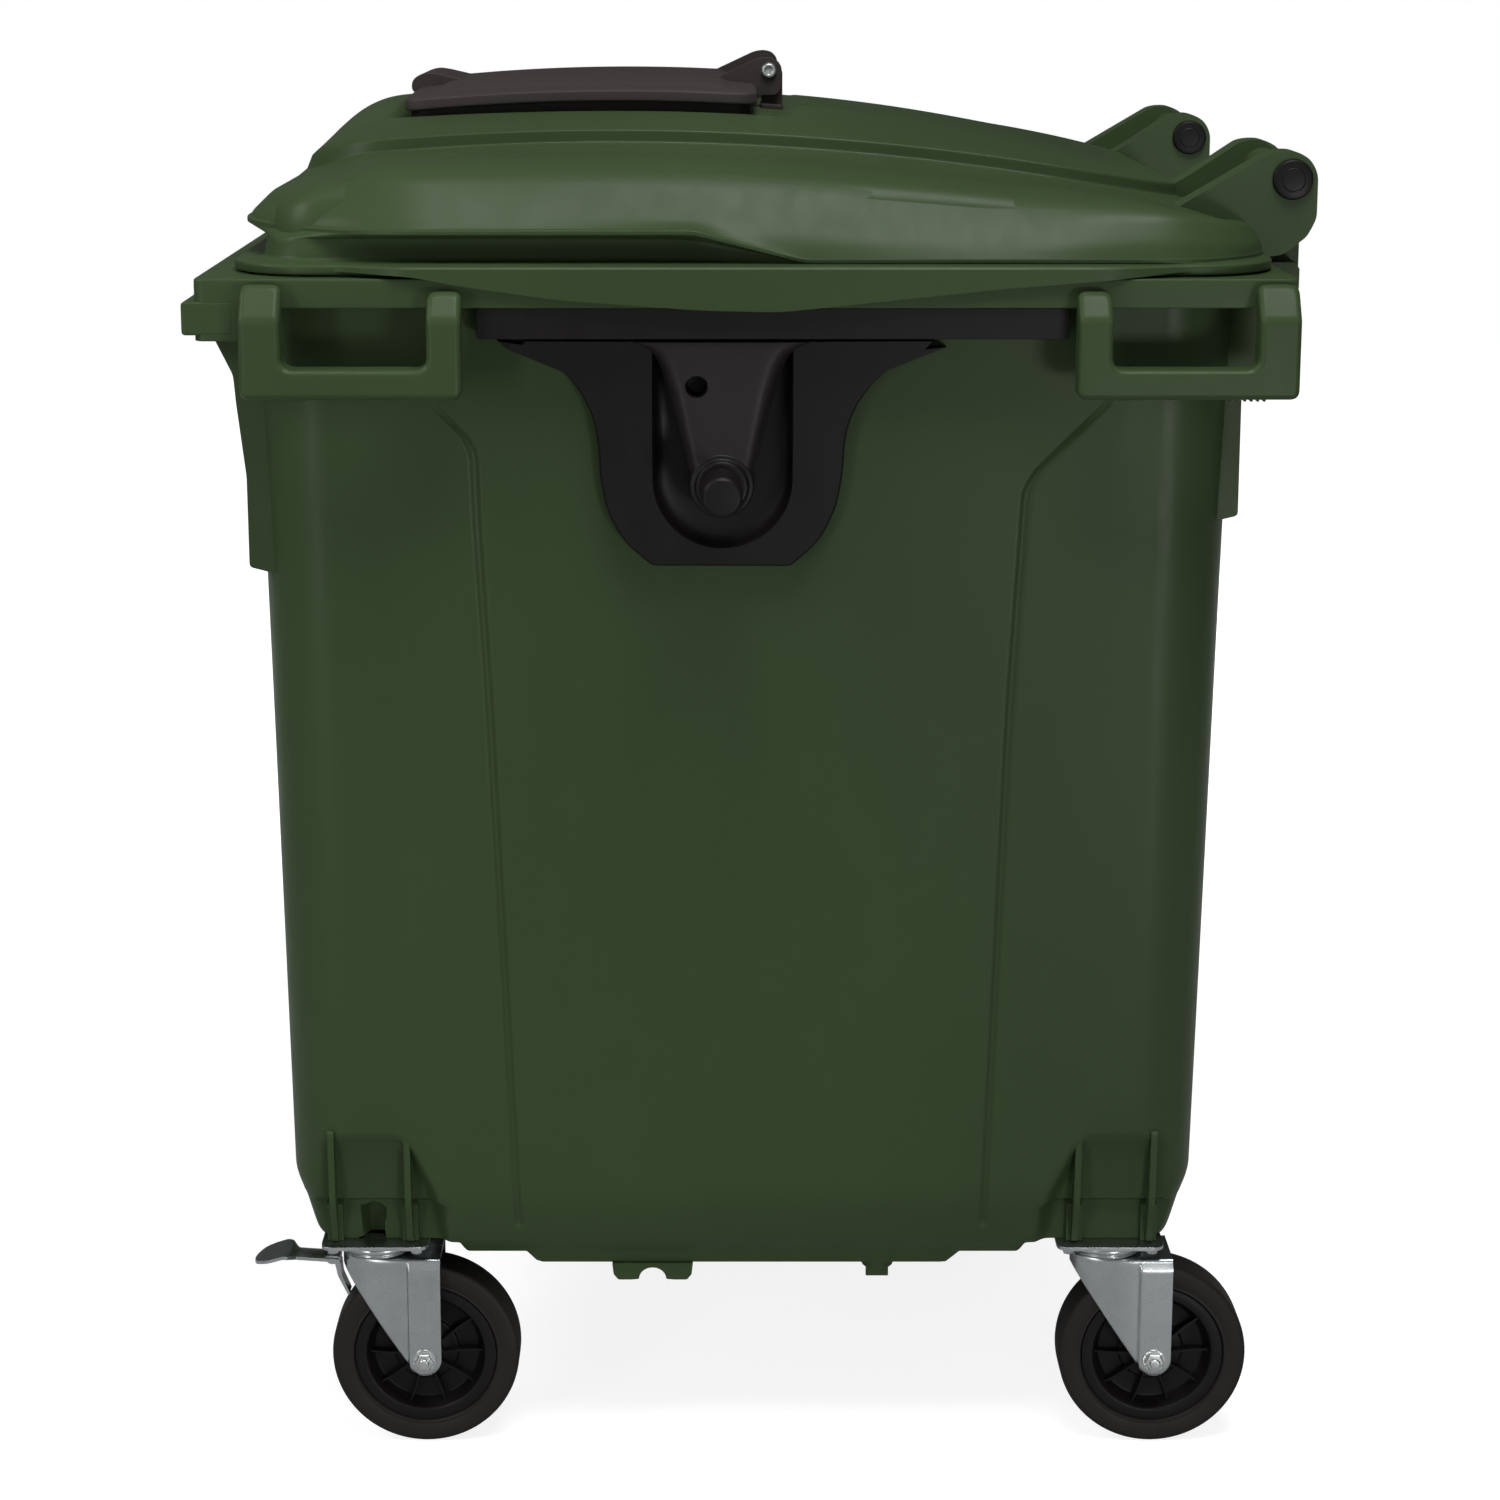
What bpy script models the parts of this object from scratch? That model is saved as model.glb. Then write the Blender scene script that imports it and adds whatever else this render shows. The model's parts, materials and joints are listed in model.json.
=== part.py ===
"""A four-wheeled waste container with a domed lid and a smaller lid in it.

The tub is a tapered moulding with a hanging rim, side handles and a front
grip. A black bracket on each side carries the round lifting trunnion. The lid
turns on two pins behind the rim, the small lid turns on two bolts on the big
one, and each of the four casters swivels and rolls. The front casters carry a
brake pedal. X runs from trunnion to trunnion, the hinges are at +Y, the floor
is at zero and all sizes are in metres.
"""

import math

import bmesh
import bpy
from mathutils import Vector

# Clearances and helpers for cuts
GAP = 0.0003
RUNNING_GAP = 0.0005
OVERRUN = 0.006
CORNER_STEPS = 4
SIDE_STEPS = 8
END_STEPS = 5
ROUND_STEPS = 24

# Tub: the mouth, the rim round it, and the walls that taper down from it
BODY_Y = -0.006
WALL = 0.005
RIM_Z = 1.263
MOUTH_HALF_X = 0.575
MOUTH_HALF_Y = 0.4885
RIM_LAP_X = 0.045
RIM_LAP_Y = 0.0432
RIM_HALF_X = MOUTH_HALF_X + RIM_LAP_X
RIM_HALF_Y = MOUTH_HALF_Y + RIM_LAP_Y
RIM_RADIUS = 0.045
SKIRT_DEPTH = 0.028
SKIRT_WALL = 0.0045
WALL_RADIUS = 0.075
WALL_TAPER_X = 0.045
WALL_TAPER_Y = 0.0117
KNEE_Z = 0.300
KNEE_HALF_X = MOUTH_HALF_X - WALL_TAPER_X
KNEE_HALF_Y = MOUTH_HALF_Y - WALL_TAPER_Y
HEEL_DROP = 0.0205
HEEL_INSET_X = 0.0025
HEEL_INSET_Y = 0.0086
HEEL_Z = KNEE_Z - HEEL_DROP
HEEL_HALF_X = KNEE_HALF_X - HEEL_INSET_X
HEEL_HALF_Y = KNEE_HALF_Y - HEEL_INSET_Y
HEEL_RADIUS = 0.070
TOE_DROP = 0.0395
TOE_INSET = 0.0096
TOE_Z = HEEL_Z - TOE_DROP
TOE_HALF_X = HEEL_HALF_X - TOE_INSET
TOE_HALF_Y = HEEL_HALF_Y - TOE_INSET
TOE_RADIUS = 0.062
BELLY_DROP = 0.0215
BELLY_INSET_X = 0.018
BELLY_INSET_Y = 0.0146
BELLY_Z = TOE_Z - BELLY_DROP
BELLY_HALF_X = TOE_HALF_X - BELLY_INSET_X
BELLY_HALF_Y = TOE_HALF_Y - BELLY_INSET_Y
BELLY_RADIUS = 0.050
KEEL_DROP = 0.0145
KEEL_INSET_Y = 0.230
KEEL_RAMP = 0.020
KEEL_Z = BELLY_Z - KEEL_DROP
KEEL_HALF_Y = BELLY_HALF_Y - KEEL_INSET_Y

# Front grip bar and the corner channels under the handles
GRIP_WIDTH = 0.0309
GRIP_INSET_X = 0.120
GRIP_TOP_DROP = 0.026
GRIP_DEPTH = 0.034
GRIP_CORNER = 0.022
GRIP_REACH = RIM_HALF_Y - BODY_Y + GRIP_WIDTH
GRIP_HALF_X = RIM_HALF_X - GRIP_INSET_X
GRIP_TOP_Z = RIM_Z - GRIP_TOP_DROP
CHANNEL_INSET_X = 0.052
CHANNEL_WIDTH = 0.050
CHANNEL_PROUD = 0.0095
CHANNEL_INSET = 0.016
CHANNEL_TOP_DROP = 0.018
FRONT_CHANNEL_DROP = 0.301
REAR_CHANNEL_DROP = 0.248
CHANNEL_X = KNEE_HALF_X - CHANNEL_INSET_X
CHANNEL_TOP_Z = RIM_Z - CHANNEL_TOP_DROP
FRONT_CHANNEL_Z = RIM_Z - FRONT_CHANNEL_DROP
REAR_CHANNEL_Z = RIM_Z - REAR_CHANNEL_DROP

# Caster housings under the tub's corners
CASTER_INSET_X = 0.055
CASTER_INSET_Y = 0.0883
CASTER_X = KNEE_HALF_X - CASTER_INSET_X
CASTER_Y = KNEE_HALF_Y - CASTER_INSET_Y
SEAT_RISE = 0.0145
SEAT_Z = BELLY_Z + SEAT_RISE
HOUSING_HALF_X = 0.103
HOUSING_REACH = 0.092
HOUSING_ROOF = 0.057
HOUSING_HEIGHT = 0.129
HOUSING_X = CASTER_X - HOUSING_HALF_X
HOUSING_ROOF_Z = SEAT_Z + HOUSING_ROOF
HOUSING_TOP_Z = SEAT_Z + HOUSING_HEIGHT
RECESS_HEIGHT = 0.119
RECESS_FOOT = 0.037
RECESS_STEP = 0.009
RECESS_SLANT_SHARE = 0.42
RECESS_TOP_Z = SEAT_Z + RECESS_HEIGHT
RECESS_FOOT_X = CASTER_X + RECESS_FOOT
RIB_WIDTH = 0.0065
RIB_OFFSET = 0.0400
POCKET_HALF_X = 0.023
POCKET_HALF_Y = 0.040
SLOT_WIDTH = 0.021
SLOT_HEIGHT = 0.0396
SLOT_TOP_Z = SEAT_Z + SLOT_HEIGHT

# Side handles
HANDLE_DEPTH = 0.035
HANDLE_LENGTH = 0.2125
HANDLE_DROP = 0.1125
HANDLE_HEAD_DROP = 0.004
HANDLE_INNER_HEAD_DROP = 0.011
HANDLE_SHOULDER_DROP = 0.037
HANDLE_POST = 0.0400
HANDLE_INNER_POST = 0.0330
HANDLE_BAR = 0.0290
HANDLE_CORNER = 0.008
HANDLE_FRONT_INSET = 0.0467
HANDLE_REAR_INSET = 0.0017
HANDLE_X = RIM_HALF_X + HANDLE_DEPTH
HANDLE_Z = RIM_Z - HANDLE_DROP
HANDLE_HEAD_Z = RIM_Z - HANDLE_HEAD_DROP
HANDLE_INNER_HEAD_Z = RIM_Z - HANDLE_INNER_HEAD_DROP
HANDLE_SHOULDER_Z = RIM_Z - HANDLE_SHOULDER_DROP
FRONT_HANDLE_Y = BODY_Y - RIM_HALF_Y + HANDLE_FRONT_INSET
REAR_HANDLE_Y = BODY_Y + RIM_HALF_Y - HANDLE_REAR_INSET

# Trunnions and their brackets
TRUNNION_OFFSET_Y = -0.023
TRUNNION_DROP = 0.202
TRUNNION_PROUD = 0.065
TRUNNION_RADIUS = 0.020
TRUNNION_CHAMFER = 0.003
TRUNNION_Y = BODY_Y + TRUNNION_OFFSET_Y
TRUNNION_Z = RIM_Z - TRUNNION_DROP
TRUNNION_X = RIM_HALF_X + TRUNNION_PROUD
PLATE_HALF_WIDTH = 0.122
PLATE_RISE = 0.140
PLATE_THICKNESS = 0.018
PIN_BACK = 0.0095
FLANGE_FRONT = 0.2367
FLANGE_REAR = 0.3347
FLANGE_DEPTH = 0.030
FLANGE_SETBACK = 0.0035
FLANGE_X = RIM_HALF_X - FLANGE_SETBACK
BRACKET_RECESS = 0.0125
BRACKET_RECESS_HALF = 0.0678
BRACKET_RECESS_DROP = 0.0700
BRACKET_LIP = 0.0165
BOSS_RADIUS = 0.0310
BOSS_NECK_RADIUS = 0.0255
BOSS_PROUD = 0.005
BOSS_NECK = 0.013
BOSS_X = RIM_HALF_X + BOSS_PROUD
BOSS_STEP_X = BOSS_X - BOSS_NECK
WEDGE_TOP_HALF = 0.0597
WEDGE_FOOT_HALF = 0.0340
WEDGE_PROUD = 0.030
WEDGE_FOOT_DROP = 0.0045
RIGGING_HOLE_RADIUS = 0.0098
RIGGING_HOLE_Y = -0.0245
RIGGING_HOLE_RISE = 0.0965

# Each row is one corner of the bracket's left edge, from the flange down:
# shares of the plate's half width and of the rise from the pin to the flange.
BRACKET_EDGE_SHARES = [
    (-1.97, 1.060), (-1.97, 0.990), (-1.72, 0.955), (-1.405, 0.862), (-1.151, 0.656),
    (-1.022, 0.374), (-1.003, 0.126), (-0.941, -0.159), (-0.769, -0.430),
    (-0.571, -0.613),
]

# Big lid, seated on the rim
LID_SETBACK_X = 0.017
LID_SETBACK_FRONT = 0.0257
LID_SETBACK_REAR = 0.0092
LID_HALF_X = RIM_HALF_X - LID_SETBACK_X
LID_FRONT_Y = BODY_Y - RIM_HALF_Y + LID_SETBACK_FRONT
LID_REAR_Y = BODY_Y + RIM_HALF_Y - LID_SETBACK_REAR
LID_RADIUS = 0.100
LID_WALL = 0.0045
FLANGE_INSET = 0.003
FLANGE_RISE = 0.0115
NECK_INSET = 0.033
NECK_REAR_INSET = 0.006
NECK_RISE = 0.033
NECK_REAR_RISE = 0.0155
NECK_ROOT = 0.0025
VISOR_RISE = 0.0405
VISOR_REAR_RISE = 0.0185
VISOR_THICKNESS = 0.005
RECESS_END = 0.457
RECESS_FADE = 0.109
RECESS_END_Y = LID_FRONT_Y + RECESS_END
STEP_SIDE_SETBACK = 0.213
STEP_FRONT_SETBACK = 0.057
STEP_REAR_SETBACK = 0.0545
STEP_HALF_X = LID_HALF_X - STEP_SIDE_SETBACK
STEP_FRONT_Y = LID_FRONT_Y + STEP_FRONT_SETBACK
STEP_REAR_Y = LID_REAR_Y - STEP_REAR_SETBACK
STEP_RADIUS = 0.090
STEP_FOOT_RISE = 0.116
STEP_RISE = 0.0125
STEP_INSET = 0.011
STEP_CURVE = 0.178
STEP_FOOT_Z = RIM_Z + STEP_FOOT_RISE
CREST_SETBACK = 0.375
CREST_RISE = 0.146
CREST_CURVE = 0.245
CREST_Y = LID_FRONT_Y + CREST_SETBACK
CREST_Z = RIM_Z + CREST_RISE
TOP_SETBACK = 0.140
TOP_FRONT_SETBACK = 0.110
TOP_HALF_X = STEP_HALF_X - TOP_SETBACK
TOP_FRONT_Y = STEP_FRONT_Y + TOP_FRONT_SETBACK
TOP_REAR_Y = STEP_REAR_Y - TOP_SETBACK
TOP_RADIUS = 0.060
CROWN_SETBACK = 0.130
CROWN_HALF_X = TOP_HALF_X - CROWN_SETBACK
CROWN_FRONT_Y = TOP_FRONT_Y + CROWN_SETBACK
CROWN_REAR_Y = TOP_REAR_Y - CROWN_SETBACK

# Each row is one ring of the dome between the visor and the step: its inset
# from the lid's outline and how far it has climbed, as shares.
DOME_INSET = 0.060
DOME_SHARES = [(0.16, 0.30), (0.38, 0.66), (0.80, 0.85)]

# Side aprons of the lid
APRON_PROUD = 0.0065
APRON_LAP = 0.0365
APRON_WALL = 0.0045
APRON_FRONT_SETBACK = 0.177
APRON_REAR_SETBACK = 0.1865
APRON_LOW_SETBACK = 0.539
LEDGE_FRONT_SETBACK = 0.107
LEDGE_REAR_SETBACK = 0.0715
APRON_X = RIM_HALF_X + APRON_PROUD
APRON_ROOT_X = APRON_X - APRON_LAP
APRON_FRONT_Y = LID_FRONT_Y + APRON_FRONT_SETBACK
APRON_REAR_Y = LID_REAR_Y - APRON_REAR_SETBACK
APRON_LOW_Y = LID_FRONT_Y + APRON_LOW_SETBACK
LEDGE_FRONT_Y = LID_FRONT_Y + LEDGE_FRONT_SETBACK
LEDGE_REAR_Y = LID_REAR_Y - LEDGE_REAR_SETBACK
APRON_DROP = 0.0350
APRON_LEDGE = 0.0060
APRON_STEPS = 12

# Hinge ears, posts and pins
HINGE_BEHIND = 0.0173
HINGE_RISE = 0.0842
HINGE_Y = BODY_Y + RIM_HALF_Y + HINGE_BEHIND
HINGE_Z = RIM_Z + HINGE_RISE
EAR_SETBACK = 0.136
EAR_SPAN = 0.227
EAR_OUTER_X = LID_HALF_X - EAR_SETBACK
EAR_INNER_X = EAR_OUTER_X - EAR_SPAN
EAR_WIDTH = 0.040
EAR_RADIUS = 0.0256
POST_GAP = 0.004
POST_FRONT = 0.0215
POST_REAR = 0.0168
POST_FRONT_Y = HINGE_Y - POST_FRONT
POST_REAR_Y = HINGE_Y + POST_REAR
POST_FOOT_DROP = 0.035
POST_FOOT_Z = RIM_Z - POST_FOOT_DROP
KNUCKLE_RADIUS = 0.0205
PIN_RADIUS = 0.0100
CAP_RADIUS = 0.0203
CAP_FACE_SHARE = 0.7
CAP_THICKNESS = 0.007
PIN_STEPS = 16

# The ear's outline about the hinge axis, in shares of the ear's radius
EAR_OUTLINE_SHARES = [
    (-4.55, -1.15), (-0.64, 1.11), (-0.23, 1.145), (0.30, 1.02), (0.72, 0.70),
    (0.94, 0.30), (1.00, -0.12), (1.00, -1.53), (0.78, -1.96), (0.60, -2.27),
    (-0.25, -3.13), (-1.02, -3.11), (-1.48, -2.23), (-4.80, -1.80),
]

# Small lid, its throat, its frame and its hinge
SMALL_SIDE_SETBACK = 0.145
SMALL_FRONT_SETBACK = 0.0874
SMALL_LENGTH = 0.3782
SMALL_HALF_X = STEP_HALF_X - SMALL_SIDE_SETBACK
SMALL_FRONT_Y = STEP_FRONT_Y + SMALL_FRONT_SETBACK
SMALL_REAR_Y = SMALL_FRONT_Y + SMALL_LENGTH
SMALL_RADIUS = 0.024
SMALL_WALL = 0.004
SMALL_EDGE = 0.0135
PANEL_INSET = 0.034
PANEL_RISE = 0.0045
THROAT_INSET_X = 0.040
THROAT_INSET_Y = 0.0440
THROAT_RADIUS = 0.030
THROAT_HALF_X = SMALL_HALF_X - THROAT_INSET_X
THROAT_FRONT_Y = SMALL_FRONT_Y + THROAT_INSET_Y
THROAT_REAR_Y = SMALL_REAR_Y - THROAT_INSET_Y
FRAME_HEIGHT = 0.0115
FRAME_INSET = 0.006
FRAME_WIDTH = 0.030
BOLT_BEHIND = 0.0137
BOLT_RISE = 0.0327
BOLT_Y = SMALL_REAR_Y + BOLT_BEHIND
BOLT_Z = CREST_Z + BOLT_RISE
BOLT_RADIUS = 0.0040
BOLT_HEAD_RADIUS = 0.0088
BOLT_HEAD = 0.0045
SMALL_EAR_X = 0.1240
SMALL_EAR_WIDTH = 0.010
STAND_WIDTH = 0.013
STAND_BASE_PROUD = 0.008
STAND_BASE_WIDTH = 0.046
STAND_BASE_FRONT = 0.0093
STAND_BASE_REAR = 0.0157
STAND_BASE_X = SMALL_EAR_X + STAND_BASE_PROUD
STAND_BASE_FRONT_Y = BOLT_Y - STAND_BASE_FRONT
STAND_BASE_REAR_Y = BOLT_Y + STAND_BASE_REAR
STAND_BASE_HEIGHT = 0.004
SMALL_EAR_RADIUS = 0.0145
LIP_HALF_X = 0.085
LIP_REACH = 0.030
LIP_RISE = 0.0095

# Outlines about the small bolt, in shares of the small ear's radius
SMALL_EAR_SHARES = [
    (-5.30, -1.15), (-1.00, 0.86), (-0.50, 0.98), (0.00, 1.00), (0.55, 0.84),
    (0.90, 0.44), (1.00, 0.00), (0.97, -1.20), (0.60, -1.85), (-0.95, -1.85),
    (-1.30, -1.45), (-5.30, -1.45),
]
STAND_SHARES = [
    (-0.55, -2.60), (-0.55, -0.60), (-0.62, 0.30), (-0.20, 0.72), (0.35, 0.68),
    (0.75, 0.30), (1.05, -0.10), (1.05, -2.60),
]

# Casters
TRAIL = 0.050
WHEEL_RADIUS = 0.100
TYRE_HALF_WIDTH = 0.025
TREAD_HALF_WIDTH = 0.021
SHOULDER_DROP = 0.0040
RUBBER_DEPTH = 0.0245
RUBBER_BEAD = 0.0050
HUB_RIM_DEPTH = 0.0125
HUB_RIM_RADIUS = WHEEL_RADIUS - RUBBER_DEPTH
HUB_DISH_RADIUS = HUB_RIM_RADIUS - HUB_RIM_DEPTH
HUB_RIM_HALF = 0.0222
HUB_WEB_HALF = 0.0045
HUB_BARREL_RADIUS = 0.0170
HUB_HALF_LENGTH = 0.0340
SPOKE_COUNT = 10
SPOKE_WIDTH = 0.0024
SPOKE_HALF_DEPTH = 0.0180
WHEEL_STEPS = 28
HUB_STEPS = 20
PLATE_HALF_X = 0.0500
PLATE_HALF_Y = 0.0565
PLATE_CORNER = 0.010
TOP_PLATE = 0.004
HEAD_TOP_RADIUS = 0.0375
HEAD_RADIUS = 0.0400
HEAD_WIDE_SHARE = 0.4
HEAD_FOOT_RADIUS = 0.0340
HEAD_HEIGHT = 0.0154
FORK_HALF_WIDTH = 0.0380
FORK_WALL = 0.0035
FORK_NOSE = 0.0167
FORK_LEG_HALF = 0.0178
FORK_ARC_STEPS = 12
AXLE_RADIUS = 0.0055
AXLE_HEAD_RADIUS = 0.0105
AXLE_HEAD = 0.0060
AXLE_STEPS = 12
NUT_HEIGHT = 0.0075
AXLE_TAIL = 0.0045

# Brake pedal of the front casters
BRAKE_Y = -0.0470
BRAKE_DROP = 0.0310
BRAKE_Z = SEAT_Z - BRAKE_DROP
BRAKE_PIN_RADIUS = 0.0025
BRAKE_PIN_HALF = 0.0150
BRAKE_EAR_WIDTH = 0.003
BRAKE_EAR_X = 0.0105
BRAKE_EAR_HALF = 0.0060
BRAKE_ARM_HALF = 0.0095
PEDAL_HALF_X = 0.0240
PEDAL_LENGTH = 0.0860

# The brake lever's outline about its pin, in shares of the pedal's length
LEVER_SHARES = [
    (0.075, 0.055), (-0.38, 0.085), (-0.52, 0.140), (-0.60, 0.145), (-0.94, 0.055),
    (-1.00, -0.070), (-0.92, -0.055), (-0.60, 0.085), (-0.46, 0.020), (-0.08, -0.060),
    (0.03, -0.220), (0.10, -0.460), (0.19, -0.440), (0.13, -0.220), (0.085, -0.100),
]
PEDAL_SHARES = [
    (-0.50, 0.126), (-0.60, 0.145), (-0.94, 0.055), (-1.00, -0.070), (-0.92, -0.055),
    (-0.60, 0.085), (-0.50, 0.066),
]

# Lugs and drain under the keel
LUG_INSET_X = 0.020
LUG_HALF_X = 0.020
LUG_OFFSET_Y = -0.0955
LUG_HALF_Y = 0.043
LUG_DEPTH = 0.0185
SADDLE_HALF = 0.0145
LUG_X = BELLY_HALF_X - LUG_INSET_X
LUG_Y = BODY_Y + LUG_OFFSET_Y
DRAIN_INSET_X = 0.038
DRAIN_OFFSET_Y = 0.145
DRAIN_X = BELLY_HALF_X - DRAIN_INSET_X
DRAIN_Y = BODY_Y + DRAIN_OFFSET_Y
DRAIN_RADIUS = 0.0120
DRAIN_FLANGE_RADIUS = 0.0170
DRAIN_FLANGE = 0.0130
DRAIN_WING_HALF = 0.0030
DRAIN_WING_DEPTH = 0.0120
SEAL_RADIUS = 0.0150
SEAL_HEIGHT = 0.0030

# Colours as red, green and blue, then roughness and metal
GREEN_PLASTIC = ("green_plastic", (0.034, 0.054, 0.027), 0.45, 0.0)
BLACK_PLASTIC = ("black_plastic", (0.011, 0.010, 0.010), 0.42, 0.0)
GREY_PLASTIC = ("dark_grey_plastic", (0.042, 0.037, 0.034), 0.50, 0.0)
TYRE_RUBBER = ("tyre_rubber", (0.014, 0.012, 0.011), 0.80, 0.0)
ZINC_STEEL = ("zinc_plated_steel", (0.42, 0.44, 0.45), 0.35, 1.0)
BRIGHT_STEEL = ("bright_steel", (0.70, 0.70, 0.68), 0.25, 1.0)

SIDES = {"right": 1.0, "left": -1.0}
ENDS = {"front": -1.0, "rear": 1.0}


def clear_scene():
    """Remove every object that is already in the file."""
    for item in list(bpy.data.objects):
        bpy.data.objects.remove(item, do_unlink=True)


def material(finish):
    """Return the material of a finish, made the first time it is asked for."""
    name, colour, roughness, metal = finish
    found = bpy.data.materials.get(name)
    if found:
        return found
    made = bpy.data.materials.new(name)
    made.use_nodes = True
    shader = made.node_tree.nodes["Principled BSDF"]
    shader.inputs["Base Color"].default_value = (*colour, 1.0)
    shader.inputs["Roughness"].default_value = roughness
    shader.inputs["Metallic"].default_value = metal
    return made


def axis_empty(name, place, parent=None):
    """Put an empty on a joint's axis, for what turns with it."""
    empty = bpy.data.objects.new(name, None)
    bpy.context.collection.objects.link(empty)
    empty.parent = parent
    empty.location = place
    return empty


def piece(name, bm, finish, parent=None, smooth=True):
    """Close a bmesh into a named object with its own material."""
    bmesh.ops.recalc_face_normals(bm, faces=bm.faces)
    mesh = bpy.data.meshes.new(name)
    bm.to_mesh(mesh)
    bm.free()
    mesh.materials.append(material(finish))
    if smooth:
        mesh.shade_smooth()
        mesh.set_sharp_from_angle(angle=math.radians(35))
    made = bpy.data.objects.new(name, mesh)
    bpy.context.collection.objects.link(made)
    made.parent = parent
    return made


def operand(name, bm, parent=None):
    """Make a hidden wire object for a Boolean to use."""
    made = piece(name, bm, GREY_PLASTIC, parent, smooth=False)
    made.hide_render = True
    made.display_type = "WIRE"
    return made


def boolean(target, other, operation):
    """Join, cut or keep the overlap of two objects with a live modifier."""
    change = target.modifiers.new(other.name, "BOOLEAN")
    change.operation = operation
    change.solver = "EXACT"
    change.object = other
    return change


def skin(bm, rings, closed=False):
    """Join rings of equal length with faces, and cap the two ends.

    A ring of one point is a pole. A closed skin joins its last ring to its
    first and has no caps.
    """
    made = [[bm.verts.new(point) for point in ring] for ring in rings]
    pairs = list(zip(made, made[1:]))
    if closed:
        pairs.append((made[-1], made[0]))
    for low, high in pairs:
        count = max(len(low), len(high))
        for i in range(count):
            j = (i + 1) % count
            if len(low) == 1:
                bm.faces.new((low[0], high[i], high[j]))
            elif len(high) == 1:
                bm.faces.new((low[j], low[i], high[0]))
            else:
                bm.faces.new((low[j], low[i], high[i], high[j]))
    if not closed:
        for end in (made[0], made[-1]):
            if len(end) > 1:
                bm.faces.new(end)
    return made


def placed(axis, flat, along):
    """Turn an outline point and a distance along an axis into a place."""
    if axis == "X":
        return Vector((along, flat[0], flat[1]))
    if axis == "Y":
        return Vector((flat[0], along, flat[1]))
    return Vector((flat[0], flat[1], along))


def prism(bm, outline, axis, low, high):
    """Extrude an outline along an axis between two places."""
    skin(bm, [[placed(axis, point, along) for point in outline] for along in (low, high)])


def box(bm, low, high):
    """Make a box between two corners."""
    outline = [(low[0], low[1]), (high[0], low[1]), (high[0], high[1]), (low[0], high[1])]
    prism(bm, outline, "Z", low[2], high[2])


def circle(radius, steps, turn=0.0, hexagon=False):
    """Points on a circle, or spread along a hexagon of that corner radius."""
    points = []
    for i in range(steps):
        angle = turn + math.tau * i / steps
        reach = radius
        if hexagon:
            slot = math.tau / 6
            reach = radius * math.cos(slot / 2) / math.cos((angle - turn) % slot - slot / 2)
        points.append((reach * math.cos(angle), reach * math.sin(angle)))
    return points


def turned(bm, profile, axis, centre, steps, closed=False, turn=0.0):
    """Turn a profile of radius and distance rows about an axis.

    centre is the axis's place in the plane across it. A third item in a row
    makes that ring a hexagon.
    """
    rings = []
    for row in profile:
        radius, along = row[0], row[1]
        if radius == 0.0:
            rings.append([placed(axis, centre, along)])
            continue
        flat = circle(radius, steps, turn, len(row) > 2)
        rings.append([placed(axis, (a + centre[0], b + centre[1]), along) for a, b in flat])
    skin(bm, rings, closed)


def arc(centre, radius, start, end, steps):
    """Points on an arc, with the angles in degrees."""
    points = []
    for i in range(steps + 1):
        angle = math.radians(start + (end - start) * i / steps)
        points.append((centre[0] + radius * math.cos(angle), centre[1] + radius * math.sin(angle)))
    return points


def plan(half_x, front, rear, radius):
    """Points of a rounded rectangle seen from above, in the same order each time."""
    x = half_x - radius
    y0, y1 = front + radius, rear - radius
    points = [(half_x, y0 + (y1 - y0) * i / SIDE_STEPS) for i in range(1, SIDE_STEPS)]
    points += arc((x, y1), radius, 0, 90, CORNER_STEPS)
    points += [(x - 2 * x * i / END_STEPS, rear) for i in range(1, END_STEPS)]
    points += arc((-x, y1), radius, 90, 180, CORNER_STEPS)
    points += [(-half_x, y1 + (y0 - y1) * i / SIDE_STEPS) for i in range(1, SIDE_STEPS)]
    points += arc((-x, y0), radius, 180, 270, CORNER_STEPS)
    points += [(2 * x * i / END_STEPS - x, front) for i in range(1, END_STEPS)]
    points += arc((x, y0), radius, 270, 360, CORNER_STEPS)
    return points


def body_ring(half_x, half_y, radius, z):
    """A level ring of the tub."""
    flat = plan(half_x, BODY_Y - half_y, BODY_Y + half_y, radius)
    return [Vector((x, y, z)) for x, y in flat]


def between(low, high, share):
    """A value part of the way from low to high."""
    return low + (high - low) * share


def wall_half_x(z):
    """The outer half width of the tub's side wall at a height."""
    return between(KNEE_HALF_X, MOUTH_HALF_X, (z - KNEE_Z) / (RIM_Z - KNEE_Z))


def wall_half_y(z):
    """The outer half depth of the tub's end wall at a height."""
    return between(KNEE_HALF_Y, MOUTH_HALF_Y, (z - KNEE_Z) / (RIM_Z - KNEE_Z))


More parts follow.
